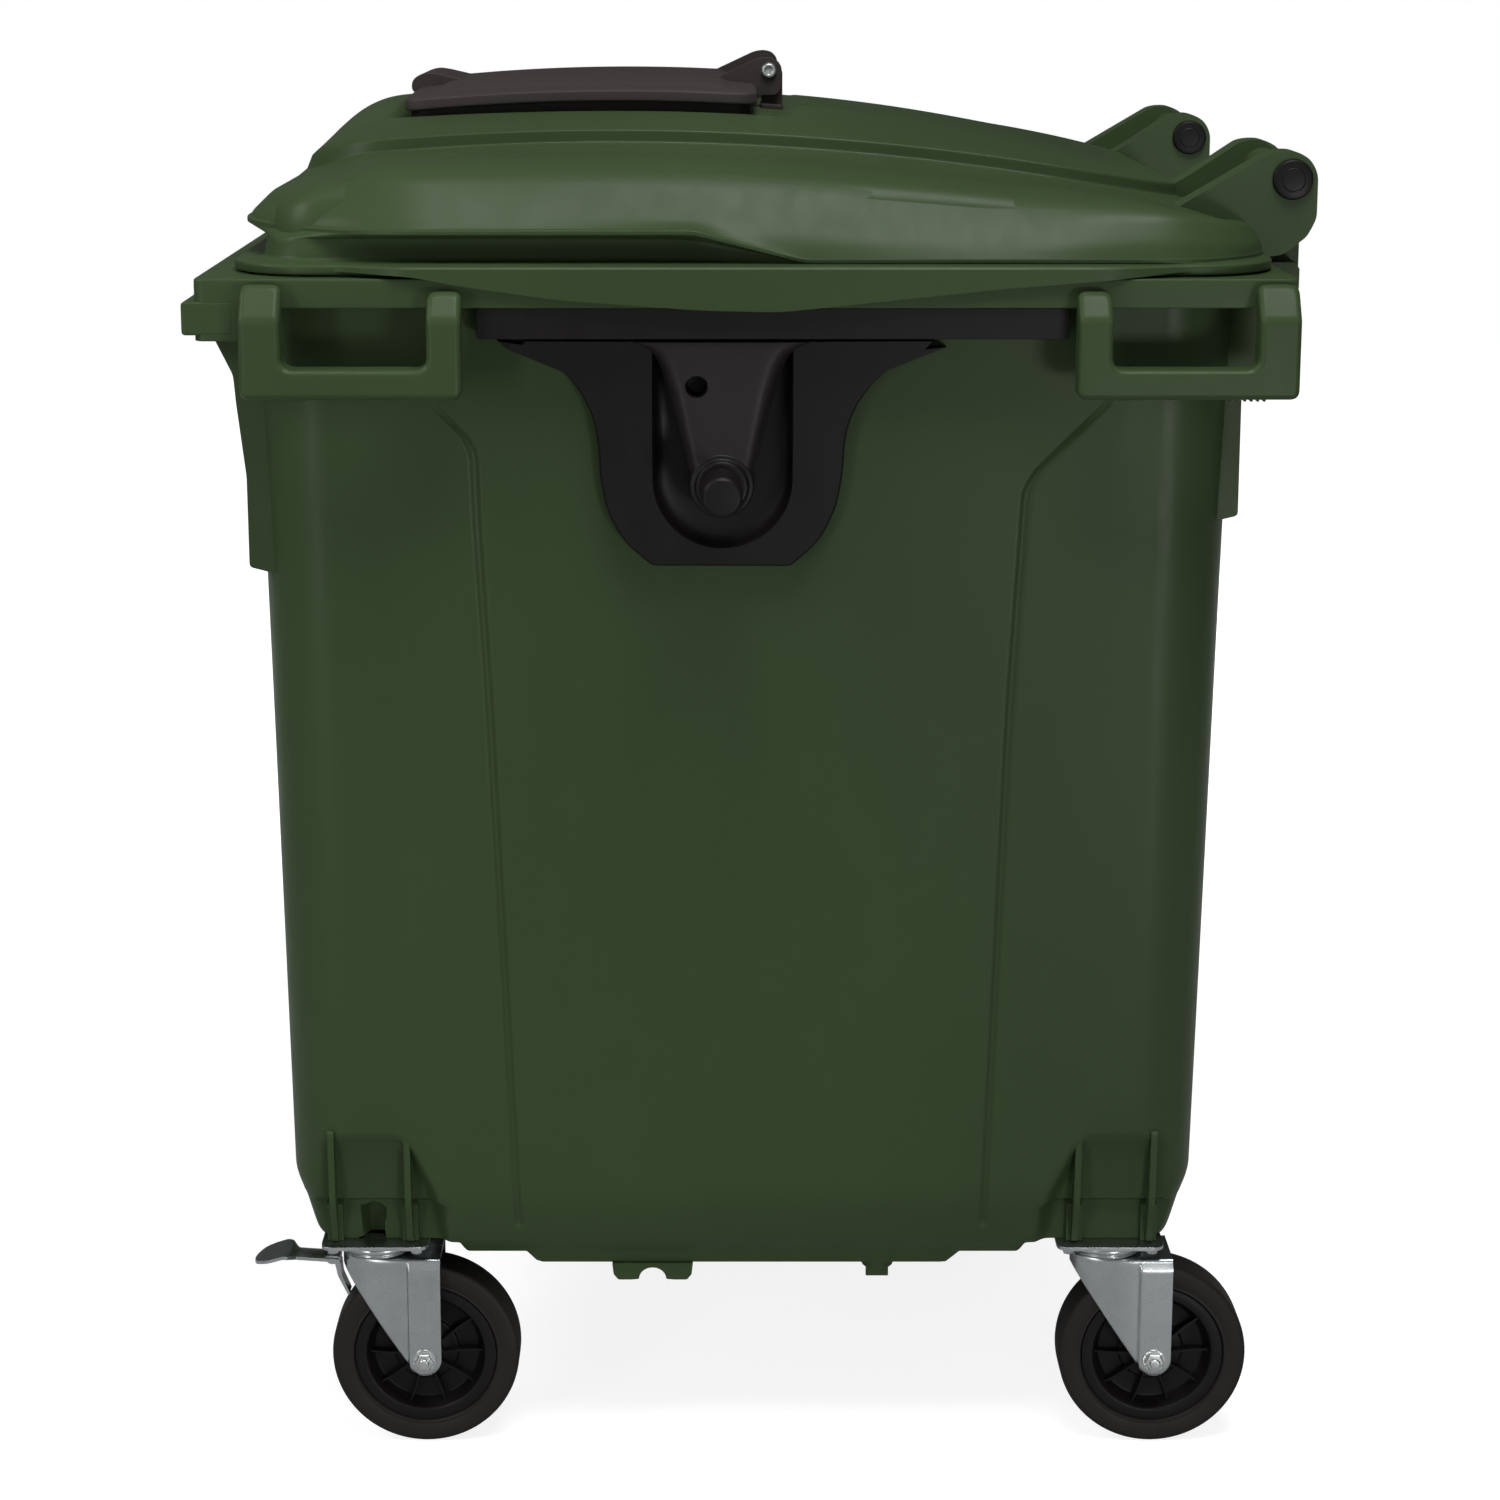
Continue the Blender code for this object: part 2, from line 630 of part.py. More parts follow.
def tub_cavity():
    """The space inside the tub, raised over the casters."""
    bm = bmesh.new()
    skin(bm, [
        body_ring(BELLY_HALF_X - WALL, BELLY_HALF_Y - WALL, BELLY_RADIUS, BELLY_Z + WALL),
        body_ring(TOE_HALF_X - WALL, TOE_HALF_Y - WALL, TOE_RADIUS, TOE_Z + WALL),
        body_ring(HEEL_HALF_X - WALL, HEEL_HALF_Y - WALL, HEEL_RADIUS - WALL, HEEL_Z),
        body_ring(KNEE_HALF_X - WALL, KNEE_HALF_Y - WALL, WALL_RADIUS - WALL, KNEE_Z),
        body_ring(MOUTH_HALF_X - WALL, MOUTH_HALF_Y - WALL, WALL_RADIUS - WALL, RIM_Z + OVERRUN),
    ])
    cavity = operand("tub_cavity", bm)
    bm = bmesh.new()
    outer = MOUTH_HALF_X
    for side in SIDES.values():
        for end in ENDS.values():
            outline = [
                (side * HOUSING_X, BELLY_Z - OVERRUN),
                (side * HOUSING_X, HOUSING_ROOF_Z),
                (side * (RECESS_FOOT_X - 3 * WALL), HOUSING_ROOF_Z),
                (side * (wall_half_x(HOUSING_TOP_Z) - 2 * WALL), HOUSING_TOP_Z),
                (side * outer, HOUSING_TOP_Z),
                (side * outer, BELLY_Z - OVERRUN),
            ]
            ends = sorted((housing_inner_y(end), BODY_Y + end * MOUTH_HALF_Y))
            prism(bm, outline, "Y", *ends)
    boolean(cavity, operand("housing_blocks", bm), "DIFFERENCE")
    return cavity


def housing_inner_y(end):
    """Where a caster housing ends towards the middle of the tub."""
    return BODY_Y + end * (CASTER_Y - HOUSING_REACH)


def keel(inset, top):
    """The flat keel under the belly, or the space in it."""
    half = KEEL_HALF_Y - inset
    low = KEEL_Z + inset
    outline = [
        (BODY_Y - half - KEEL_RAMP, top),
        (BODY_Y - half, low),
        (BODY_Y + half, low),
        (BODY_Y + half + KEEL_RAMP, top),
    ]
    bm = bmesh.new()
    prism(bm, outline, "X", inset - BELLY_HALF_X, BELLY_HALF_X - inset)
    return bm


def front_grip():
    """The grip bar under the front of the rim."""
    bm = bmesh.new()
    root = BODY_Y - RIM_HALF_Y + SKIRT_WALL
    end = GRIP_HALF_X - GRIP_CORNER
    front = GRIP_CORNER - GRIP_REACH
    flat = [(-GRIP_HALF_X, root)]
    flat += arc((-end, front), GRIP_CORNER, 180, 270, CORNER_STEPS)
    flat += arc((end, front), GRIP_CORNER, 270, 360, CORNER_STEPS)
    flat.append((GRIP_HALF_X, root))
    prism(bm, flat, "Z", GRIP_TOP_Z - GRIP_DEPTH, GRIP_TOP_Z)
    wall_y = BODY_Y - MOUTH_HALF_Y + WALL / 2
    web = [
        (wall_y, GRIP_TOP_Z - GRIP_DEPTH + OVERRUN),
        (root - SKIRT_WALL / 2, GRIP_TOP_Z - GRIP_DEPTH + OVERRUN),
        (wall_y, GRIP_TOP_Z - 3 * GRIP_DEPTH),
    ]
    for side in SIDES.values():
        edges = sorted((side * (CHANNEL_X - CHANNEL_WIDTH), side * (CHANNEL_X - CHANNEL_WIDTH - WALL)))
        prism(bm, web, "X", *edges)
    return bm


def corner_channels():
    """The stiffening channels below the handles, at the four corners."""
    bm = bmesh.new()
    for side in SIDES.values():
        edges = sorted((side * CHANNEL_X, side * (CHANNEL_X + CHANNEL_WIDTH)))
        for end, foot in ((ENDS["front"], FRONT_CHANNEL_Z), (ENDS["rear"], REAR_CHANNEL_Z)):
            face = BODY_Y + end * (MOUTH_HALF_Y + CHANNEL_PROUD)
            low = BODY_Y + end * (wall_half_y(foot) + CHANNEL_PROUD)
            root = BODY_Y + end * (KNEE_HALF_Y - CHANNEL_INSET)
            outline = [(low, foot), (face, CHANNEL_TOP_Z), (root, CHANNEL_TOP_Z), (root, foot)]
            prism(bm, outline, "X", *edges)
    return bm


def hinge_posts():
    """The two posts behind the rim that carry the lid's pins."""
    bm = bmesh.new()
    axis = (HINGE_Y, HINGE_Z)
    outline = [(POST_FRONT_Y, POST_FOOT_Z), (POST_REAR_Y, POST_FOOT_Z)]
    outline += arc(axis, KNUCKLE_RADIUS, -40, 180, FORK_ARC_STEPS)
    for side in SIDES.values():
        edges = sorted((side * (EAR_INNER_X + EAR_WIDTH + POST_GAP),
                        side * (EAR_OUTER_X - EAR_WIDTH - POST_GAP)))
        prism(bm, outline, "X", *edges)
    return bm


def underside_lugs():
    """The saddle lugs that hang under the keel at both sides."""
    bm = bmesh.new()
    foot = KEEL_Z - LUG_DEPTH
    outline = [(LUG_Y - LUG_HALF_Y, KEEL_Z + WALL / 2), (LUG_Y - LUG_HALF_Y + WALL / 2, foot)]
    outline += arc((LUG_Y, foot), SADDLE_HALF, 180, 0, 6)
    outline += [(LUG_Y + LUG_HALF_Y - WALL / 2, foot), (LUG_Y + LUG_HALF_Y, KEEL_Z + WALL / 2)]
    for side in SIDES.values():
        prism(bm, outline, "X", *sorted((side * (LUG_X - LUG_HALF_X), side * (LUG_X + LUG_HALF_X))))
    return bm


def housing_recesses():
    """The sloping recesses in the side walls over the casters."""
    bm = bmesh.new()
    outside = MOUTH_HALF_X + WALL
    rows = [
        (outside, HOUSING_TOP_Z), (wall_half_x(RECESS_TOP_Z) + GAP, RECESS_TOP_Z),
        (RECESS_FOOT_X, HEEL_Z), (RECESS_FOOT_X - RECESS_STEP, HEEL_Z - GAP),
        (RECESS_FOOT_X - RECESS_STEP, BELLY_Z - OVERRUN), (outside, BELLY_Z - OVERRUN),
    ]
    for side in SIDES.values():
        for end in ENDS.values():
            inner = BODY_Y + end * (CASTER_Y - RIB_OFFSET - RIB_WIDTH)
            outer = BODY_Y + end * (MOUTH_HALF_Y + WALL)
            near = [(side * x, outer, z) for x, z in rows]
            far = [(side * x, inner - end * RECESS_SLANT_SHARE * (RECESS_TOP_Z - z), z) for x, z in rows]
            skin(bm, [[Vector(point) for point in near], [Vector(point) for point in far]])
    return bm


def housing_ribs():
    """Two upright ribs over each caster, flush with the side wall."""
    bm = bmesh.new()
    root = RECESS_FOOT_X - RECESS_STEP - WALL
    for side in SIDES.values():
        outline = [
            (side * root, SEAT_Z + GAP), (side * (TOE_HALF_X - GAP), SEAT_Z + GAP),
            (side * (KNEE_HALF_X - GAP), KNEE_Z), (side * (KNEE_HALF_X - GAP), RECESS_TOP_Z),
            (side * (root + WALL), RECESS_TOP_Z),
        ]
        for end in ENDS.values():
            middle = BODY_Y + end * CASTER_Y
            for offset in (-RIB_OFFSET, RIB_OFFSET):
                prism(bm, outline, "Y", middle + offset - RIB_WIDTH / 2, middle + offset + RIB_WIDTH / 2)
    return bm


def underside_cuts():
    """The level seats of the four casters and the pockets above them."""
    bm = bmesh.new()
    for side in SIDES.values():
        for end in ENDS.values():
            inner = housing_inner_y(end) + end * WALL
            outer = BODY_Y + end * (MOUTH_HALF_Y + WALL)
            xs = sorted((side * (HOUSING_X + WALL), side * (MOUTH_HALF_X + WALL)))
            ys = sorted((inner, outer))
            box(bm, (xs[0], ys[0], KEEL_Z - OVERRUN), (xs[1], ys[1], SEAT_Z))
    return bm


def housing_pockets():
    """The hollow over each caster plate, with a slot in the front ones."""
    bm = bmesh.new()
    for side in SIDES.values():
        for end in ENDS.values():
            middle = BODY_Y + end * CASTER_Y
            box(bm, (side * CASTER_X - POCKET_HALF_X, middle - POCKET_HALF_Y, SEAT_Z - OVERRUN),
                (side * CASTER_X + POCKET_HALF_X, middle + POCKET_HALF_Y, HOUSING_ROOF_Z - 2 * WALL))
    return bm


def housing_slots():
    """The slot with a round head in the wall of each front housing."""
    bm = bmesh.new()
    middle = BODY_Y - CASTER_Y
    half = SLOT_WIDTH / 2
    outline = [(middle + half, SEAT_Z - OVERRUN)]
    outline += arc((middle, SLOT_TOP_Z - half), half, 0, 180, 6)
    outline.append((middle - half, SEAT_Z - OVERRUN))
    for side in SIDES.values():
        edges = sorted((side * (CASTER_X + POCKET_HALF_X - OVERRUN), side * (TOE_HALF_X + WALL)))
        prism(bm, outline, "X", *edges)
    return bm


def pin_bores(radius):
    """The round holes on the lid's hinge axis."""
    bm = bmesh.new()
    for side in SIDES.values():
        edges = sorted((side * (EAR_INNER_X - OVERRUN), side * (EAR_OUTER_X + OVERRUN)))
        rows = [(0.0, edges[0]), (radius, edges[0]), (radius, edges[1]), (0.0, edges[1])]
        turned(bm, rows, "X", (HINGE_Y, HINGE_Z), PIN_STEPS)
    return bm


def drain_hole():
    """The hole for the drain plug in the keel."""
    bm = bmesh.new()
    rows = [(0.0, KEEL_Z - OVERRUN), (DRAIN_RADIUS + RUNNING_GAP, KEEL_Z - OVERRUN),
            (DRAIN_RADIUS + RUNNING_GAP, BELLY_Z + OVERRUN), (0.0, BELLY_Z + OVERRUN)]
    turned(bm, rows, "Z", (DRAIN_X, DRAIN_Y), PIN_STEPS)
    return bm


def build_tub():
    """The tapered tub with its rim, grip, posts and caster housings."""
    skirt_z = RIM_Z - SKIRT_DEPTH
    under_z = RIM_Z - SKIRT_WALL
    inner_x, inner_y = RIM_HALF_X - SKIRT_WALL, RIM_HALF_Y - SKIRT_WALL
    inner_radius = RIM_RADIUS - SKIRT_WALL
    bm = bmesh.new()
    skin(bm, [
        body_ring(BELLY_HALF_X, BELLY_HALF_Y, BELLY_RADIUS, BELLY_Z),
        body_ring(TOE_HALF_X, TOE_HALF_Y, TOE_RADIUS, TOE_Z),
        body_ring(HEEL_HALF_X, HEEL_HALF_Y, HEEL_RADIUS, HEEL_Z),
        body_ring(KNEE_HALF_X, KNEE_HALF_Y, WALL_RADIUS, KNEE_Z),
        body_ring(wall_half_x(under_z), wall_half_y(under_z), WALL_RADIUS, under_z),
        body_ring(inner_x, inner_y, inner_radius, under_z),
        body_ring(inner_x, inner_y, inner_radius, skirt_z),
        body_ring(RIM_HALF_X, RIM_HALF_Y, RIM_RADIUS, skirt_z),
        body_ring(RIM_HALF_X, RIM_HALF_Y, RIM_RADIUS, RIM_Z),
    ])
    tub = piece("tub", bm, GREEN_PLASTIC)
    boolean(tub, operand("keel", keel(0.0, BELLY_Z + WALL / 2)), "UNION")
    boolean(tub, operand("front_grip", front_grip()), "UNION")
    boolean(tub, operand("corner_channels", corner_channels()), "UNION")
    boolean(tub, operand("hinge_posts", hinge_posts()), "UNION")
    boolean(tub, tub_cavity(), "DIFFERENCE")
    boolean(tub, operand("keel_cavity", keel(WALL, BELLY_Z + WALL + OVERRUN)), "DIFFERENCE")
    boolean(tub, operand("underside_lugs", underside_lugs()), "UNION")
    boolean(tub, operand("housing_recesses", housing_recesses()), "DIFFERENCE")
    boolean(tub, operand("housing_ribs", housing_ribs()), "UNION")
    boolean(tub, operand("underside_cuts", underside_cuts()), "DIFFERENCE")
    boolean(tub, operand("housing_pockets", housing_pockets()), "DIFFERENCE")
    boolean(tub, operand("housing_slots", housing_slots()), "DIFFERENCE")
    boolean(tub, operand("post_bores", pin_bores(PIN_RADIUS + RUNNING_GAP)), "DIFFERENCE")
    boolean(tub, operand("drain_hole", drain_hole()), "DIFFERENCE")


def build_handles():
    """Four loop handles that hang from the rim's sides."""
    for side_name, side in SIDES.items():
        for end_name, end in ENDS.items():
            tip = FRONT_HANDLE_Y if end < 0 else REAR_HANDLE_Y
            root_y = tip - end * HANDLE_LENGTH
            window = (root_y + end * HANDLE_INNER_POST, tip - end * HANDLE_POST)
            c = HANDLE_CORNER
            outline = [
                (tip, HANDLE_HEAD_Z), (tip, HANDLE_Z + c), (tip - end * c, HANDLE_Z),
                (root_y + end * c, HANDLE_Z), (root_y, HANDLE_Z + c), (root_y, HANDLE_INNER_HEAD_Z),
                (window[0], HANDLE_INNER_HEAD_Z), (window[0], HANDLE_Z + HANDLE_BAR + c),
                (window[0] + end * c, HANDLE_Z + HANDLE_BAR),
                (window[1] - end * c, HANDLE_Z + HANDLE_BAR),
                (window[1], HANDLE_Z + HANDLE_BAR + c), (window[1], HANDLE_HEAD_Z),
            ]
            edges = sorted((side * (RIM_HALF_X + GAP), side * (HANDLE_X + OVERRUN)))
            bm = bmesh.new()
            prism(bm, outline, "X", *edges)
            name = f"side_handle_{end_name}_{side_name}"
            handle = piece(name, bm, GREEN_PLASTIC)
            profile = [
                (side * RIM_HALF_X, HANDLE_Z - c), (side * (HANDLE_X - c), HANDLE_Z - c),
                (side * HANDLE_X, HANDLE_Z + c), (side * HANDLE_X, HANDLE_SHOULDER_Z),
                (side * (RIM_HALF_X + 2 * GAP + c), HANDLE_HEAD_Z + GAP),
                (side * RIM_HALF_X, HANDLE_HEAD_Z + GAP),
            ]
            bm = bmesh.new()
            prism(bm, profile, "Y", *sorted((tip + end * c, root_y - end * c)))
            boolean(handle, operand(name + "_profile", bm), "INTERSECT")


def leaning(bm, offset):
    """Lean what stands on the plane of zero X so that it follows the wall."""
    for vert in bm.verts:
        vert.co.x += wall_half_x(vert.co.z) + offset


def flipped(bm, side):
    """Mirror a bmesh to the other side of the container when side is negative."""
    for vert in bm.verts:
        vert.co.x *= side
    return bm


def bracket_outline():
    """The bracket plate's edge, left half and its mirror image."""
    left = [(TRUNNION_Y + a * PLATE_HALF_WIDTH, TRUNNION_Z + b * PLATE_RISE)
            for a, b in BRACKET_EDGE_SHARES]
    return left + [(2 * TRUNNION_Y - y, z) for y, z in reversed(left)]


def bracket_recess():
    """The U-shaped recess round the trunnion."""
    low = TRUNNION_Z - BRACKET_RECESS_DROP
    radius = BRACKET_RECESS_HALF
    points = [(TRUNNION_Y + radius, TRUNNION_Z + PLATE_RISE - BRACKET_LIP)]
    points.append((TRUNNION_Y - radius, TRUNNION_Z + PLATE_RISE - BRACKET_LIP))
    points += arc((TRUNNION_Y, low + radius), radius, 180, 360, FORK_ARC_STEPS)
    return points


def build_trunnions():
    """The two lifting brackets and the round pins that they hold."""
    axis = (TRUNNION_Y, TRUNNION_Z)
    flange_top = RIM_Z - SKIRT_DEPTH - GAP
    for side_name, side in SIDES.items():
        bm = bmesh.new()
        prism(bm, bracket_outline(), "X", GAP, PLATE_THICKNESS)
        leaning(bm, 0.0)
        bracket = piece(f"trunnion_bracket_{side_name}", flipped(bm, side), BLACK_PLASTIC)

        bm = bmesh.new()
        prism(bm, bracket_recess(), "X", PLATE_THICKNESS - BRACKET_RECESS, PLATE_THICKNESS + OVERRUN)
        leaning(bm, 0.0)
        cut = operand(f"bracket_recess_{side_name}", flipped(bm, side))
        boolean(bracket, cut, "DIFFERENCE")

        bm = bmesh.new()
        low = flange_top - FLANGE_DEPTH
        outline = [(wall_half_x(low) + 2 * GAP, low), (FLANGE_X, low), (FLANGE_X, flange_top),
                   (wall_half_x(flange_top) + 2 * GAP, flange_top)]
        prism(bm, outline, "Y", TRUNNION_Y - FLANGE_FRONT, TRUNNION_Y + FLANGE_REAR)
        boolean(bracket, operand(f"bracket_flange_{side_name}", flipped(bm, side)), "UNION")

        bm = bmesh.new()
        wedge_top, wedge_foot = flange_top - FLANGE_DEPTH / 2, TRUNNION_Z - WEDGE_FOOT_DROP
        wedge = [(TRUNNION_Y - WEDGE_TOP_HALF, wedge_top), (TRUNNION_Y - WEDGE_FOOT_HALF, wedge_foot),
                 (TRUNNION_Y + WEDGE_FOOT_HALF, wedge_foot), (TRUNNION_Y + WEDGE_TOP_HALF, wedge_top)]
        prism(bm, wedge, "X", PLATE_THICKNESS / 8, WEDGE_PROUD)
        leaning(bm, 0.0)
        boolean(bracket, operand(f"bracket_wedge_{side_name}", flipped(bm, side)), "UNION")

        bm = bmesh.new()
        back = wall_half_x(TRUNNION_Z) + PLATE_THICKNESS / 4
        rows = [(0.0, back), (BOSS_RADIUS, back), (BOSS_RADIUS, BOSS_STEP_X),
                (BOSS_NECK_RADIUS, BOSS_X), (0.0, BOSS_X)]
        turned(bm, rows, "X", axis, ROUND_STEPS)
        boolean(bracket, operand(f"bracket_boss_{side_name}", flipped(bm, side)), "UNION")

        bm = bmesh.new()
        bore = TRUNNION_RADIUS + RUNNING_GAP
        reach = BOSS_X + OVERRUN
        root = wall_half_x(TRUNNION_Z) + PIN_BACK
        turned(bm, [(0.0, root - GAP), (bore, root - GAP), (bore, reach), (0.0, reach)],
               "X", axis, ROUND_STEPS)
        hole = (TRUNNION_Y + RIGGING_HOLE_Y, TRUNNION_Z + RIGGING_HOLE_RISE)
        start = wall_half_x(TRUNNION_Z) + WALL
        rows = [(0.0, start), (RIGGING_HOLE_RADIUS, start), (RIGGING_HOLE_RADIUS, reach), (0.0, reach)]
        turned(bm, rows, "X", hole, PIN_STEPS)
        boolean(bracket, operand(f"bracket_bores_{side_name}", flipped(bm, side)), "DIFFERENCE")

        bm = bmesh.new()
        rim = TRUNNION_RADIUS - TRUNNION_CHAMFER
        rows = [(0.0, root), (TRUNNION_RADIUS, root),
                (TRUNNION_RADIUS, TRUNNION_X - TRUNNION_CHAMFER), (rim, TRUNNION_X), (0.0, TRUNNION_X)]
        turned(bm, rows, "X", axis, ROUND_STEPS)
        piece(f"trunnion_pin_{side_name}", flipped(bm, side), BLACK_PLASTIC)


def build_drain():
    """The drain plug under the keel and its seal."""
    centre = (DRAIN_X, DRAIN_Y)
    seat = KEEL_Z - GAP
    flange_top = seat - SEAL_HEIGHT - GAP
    low = flange_top - DRAIN_FLANGE
    bm = bmesh.new()
    turned(bm, [(0.0, low), (DRAIN_FLANGE_RADIUS - WALL / 2, low), (DRAIN_FLANGE_RADIUS, low + WALL / 2),
                (DRAIN_FLANGE_RADIUS, flange_top), (DRAIN_RADIUS, flange_top),
                (DRAIN_RADIUS, KEEL_Z + WALL), (0.0, KEEL_Z + WALL)], "Z", centre, PIN_STEPS)
    plug = piece("drain_plug", bm, GREEN_PLASTIC)
    bm = bmesh.new()
    box(bm, (DRAIN_X - DRAIN_WING_HALF, DRAIN_Y - DRAIN_RADIUS, low - DRAIN_WING_DEPTH),
        (DRAIN_X + DRAIN_WING_HALF, DRAIN_Y + DRAIN_RADIUS, low + WALL))
    boolean(plug, operand("drain_wing", bm), "UNION")
    bm = bmesh.new()
    inner = DRAIN_RADIUS + RUNNING_GAP
    low = flange_top + GAP
    turned(bm, [(inner, low), (SEAL_RADIUS, low), (SEAL_RADIUS, seat), (inner, seat)],
           "Z", centre, PIN_STEPS, closed=True)
    piece("drain_seal", bm, TYRE_RUBBER)


def fade(y):
    """Zero along the finger recess and one behind it."""
    return min(1.0, max(0.0, (y - RECESS_END_Y) / RECESS_FADE))


def step_foot_z(y):
    """The height of the foot of the lid's step."""
    return STEP_FOOT_Z - STEP_CURVE * (y - CREST_Y) ** 2


def step_top_z(y):
    """The height of the top of the lid's step."""
    return step_foot_z(y) + STEP_RISE


def crest_z(y):
    """The height of the lid along its middle."""
    return CREST_Z - CREST_CURVE * (y - CREST_Y) ** 2


def lid_top(x, y):
    """The height of the lid's upper surface inside the step."""
    share = min(1.0, abs(x) / (STEP_HALF_X - STEP_INSET))
    return between(crest_z(y), step_top_z(y), share ** 2)


def outline_ring(front_inset, rear_inset, height):
    """A ring that follows the lid's outline, with its inset fading rearward."""
    rows = []
    for inset in (front_inset, rear_inset):
        rows.append(plan(LID_HALF_X - inset, LID_FRONT_Y + inset, LID_REAR_Y - inset, LID_RADIUS - inset))
    ring = []
    for near, far in zip(*rows):
        share = fade(near[1])
        x, y = between(near[0], far[0], share), between(near[1], far[1], share)
        ring.append(Vector((x, y, height(x, y))))
    return ring


def free_ring(half_x, front, rear, radius, height):
    """A ring on a rounded rectangle whose height follows a function."""
    return [Vector((x, y, height(x, y))) for x, y in plan(half_x, front, rear, radius)]


def lid_rings(wall):
    """Rings of the lid's outside, or of its inside when wall is not zero."""
    seat = RIM_Z + GAP

    def rise(front, rear):
        return lambda x, y: seat + between(front, rear, fade(y))

    visor = rise(VISOR_RISE + VISOR_THICKNESS, VISOR_REAR_RISE + VISOR_THICKNESS)

    def climb(share):
        return lambda x, y: between(visor(x, y), step_foot_z(y), share) - wall

    if wall:
        deep, rear = NECK_INSET + 2 * wall, NECK_REAR_INSET + wall
        rings = [
            outline_ring(deep, rear, rise(-OVERRUN, -OVERRUN)),
            outline_ring(deep, rear, rise(NECK_RISE + wall, NECK_REAR_RISE)),
            outline_ring(3 * wall, rear, rise(VISOR_RISE + 2 * wall, VISOR_REAR_RISE + wall)),
        ]
    else:
        rings = [
            outline_ring(FLANGE_INSET, FLANGE_INSET, rise(0.0, 0.0)),
            outline_ring(FLANGE_INSET, FLANGE_INSET, rise(FLANGE_RISE, FLANGE_RISE)),
            outline_ring(NECK_INSET - FLANGE_INSET, NECK_REAR_INSET,
                         rise(FLANGE_RISE + NECK_ROOT, FLANGE_RISE + NECK_ROOT / 2)),
            outline_ring(NECK_INSET, NECK_REAR_INSET, rise(NECK_RISE, NECK_REAR_RISE)),
            outline_ring(0.0, FLANGE_INSET, rise(VISOR_RISE, VISOR_REAR_RISE)),
            outline_ring(0.0, FLANGE_INSET, visor),
        ]
    for inset_share, climb_share in DOME_SHARES:
        inset = inset_share * DOME_INSET + wall
        rings.append(outline_ring(inset, inset, climb(climb_share)))
    step = STEP_INSET + wall / 2
    rings += [
        free_ring(STEP_HALF_X - wall / 2, STEP_FRONT_Y + wall / 2, STEP_REAR_Y - wall / 2,
                  STEP_RADIUS, lambda x, y: step_foot_z(y) - wall),
        free_ring(STEP_HALF_X - step, STEP_FRONT_Y + step, STEP_REAR_Y - step,
                  STEP_RADIUS - STEP_INSET, lambda x, y: step_top_z(y) - wall),
        free_ring(TOP_HALF_X, TOP_FRONT_Y, TOP_REAR_Y, TOP_RADIUS, lambda x, y: lid_top(x, y) - wall),
        free_ring(CROWN_HALF_X, CROWN_FRONT_Y, CROWN_REAR_Y, TOP_RADIUS, lambda x, y: lid_top(x, y) - wall),
        [Vector((0.0, CREST_Y, CREST_Z - wall))],
    ]
    return rings


def lid_aprons():
    """The curved aprons that hang beside the rim on both sides."""
    bm = bmesh.new()
    top = RIM_Z + GAP + FLANGE_RISE
    ledge = top - APRON_LEDGE
    for side in SIDES.values():
        rings = []
        for i in range(APRON_STEPS + 1):
            y = between(LEDGE_FRONT_Y, LEDGE_REAR_Y, i / APRON_STEPS)
            reach = APRON_LOW_Y - APRON_FRONT_Y if y < APRON_LOW_Y else APRON_REAR_Y - APRON_LOW_Y
            low = ledge - GAP - APRON_DROP * max(0.0, 1 - (abs(y - APRON_LOW_Y) / reach) ** 2)
            flat = [(APRON_ROOT_X, top - GAP), (APRON_X, top - GAP), (APRON_X, low),
                    (APRON_X - APRON_WALL, low), (APRON_X - APRON_WALL, ledge), (APRON_ROOT_X, ledge)]
            rings.append([Vector((side * x, y, z)) for x, z in flat])
        skin(bm, rings)
    return bm


def lid_ears():
    """Four ears that reach back to the hinge pins."""
    bm = bmesh.new()
    outline = [(HINGE_Y + a * EAR_RADIUS, HINGE_Z + b * EAR_RADIUS) for a, b in EAR_OUTLINE_SHARES]
    for side in SIDES.values():
        for start in (EAR_INNER_X, EAR_OUTER_X - EAR_WIDTH):
            prism(bm, outline, "X", *sorted((side * start, side * (start + EAR_WIDTH))))
    return bm


def moved(bm, axis):
    """Bring a bmesh from the container's frame to an axis empty's frame."""
    for vert in bm.verts:
        vert.co -= Vector(axis)
    return bm


def build_lid(hinge):
    """The domed lid with its recess, step, aprons, ears and throat."""
    axis = hinge.location
    bm = bmesh.new()
    skin(bm, lid_rings(0.0))
    lid = piece("lid", moved(bm, axis), GREEN_PLASTIC, hinge)
    boolean(lid, operand("lid_aprons", moved(lid_aprons(), axis), hinge), "UNION")
    boolean(lid, operand("lid_ears", moved(lid_ears(), axis), hinge), "UNION")
    bm = bmesh.new()
    skin(bm, lid_rings(LID_WALL))
    boolean(lid, operand("lid_cavity", moved(bm, axis), hinge), "DIFFERENCE")
    bm = bmesh.new()
    flat = plan(THROAT_HALF_X, THROAT_FRONT_Y, THROAT_REAR_Y, THROAT_RADIUS)
    prism(bm, flat, "Z", STEP_FOOT_Z - 2 * STEP_RISE, CREST_Z + OVERRUN)
    boolean(lid, operand("lid_throat", moved(bm, axis), hinge), "DIFFERENCE")
    bores = moved(pin_bores(PIN_RADIUS + GAP), axis)
    boolean(lid, operand("ear_bores", bores, hinge), "DIFFERENCE")


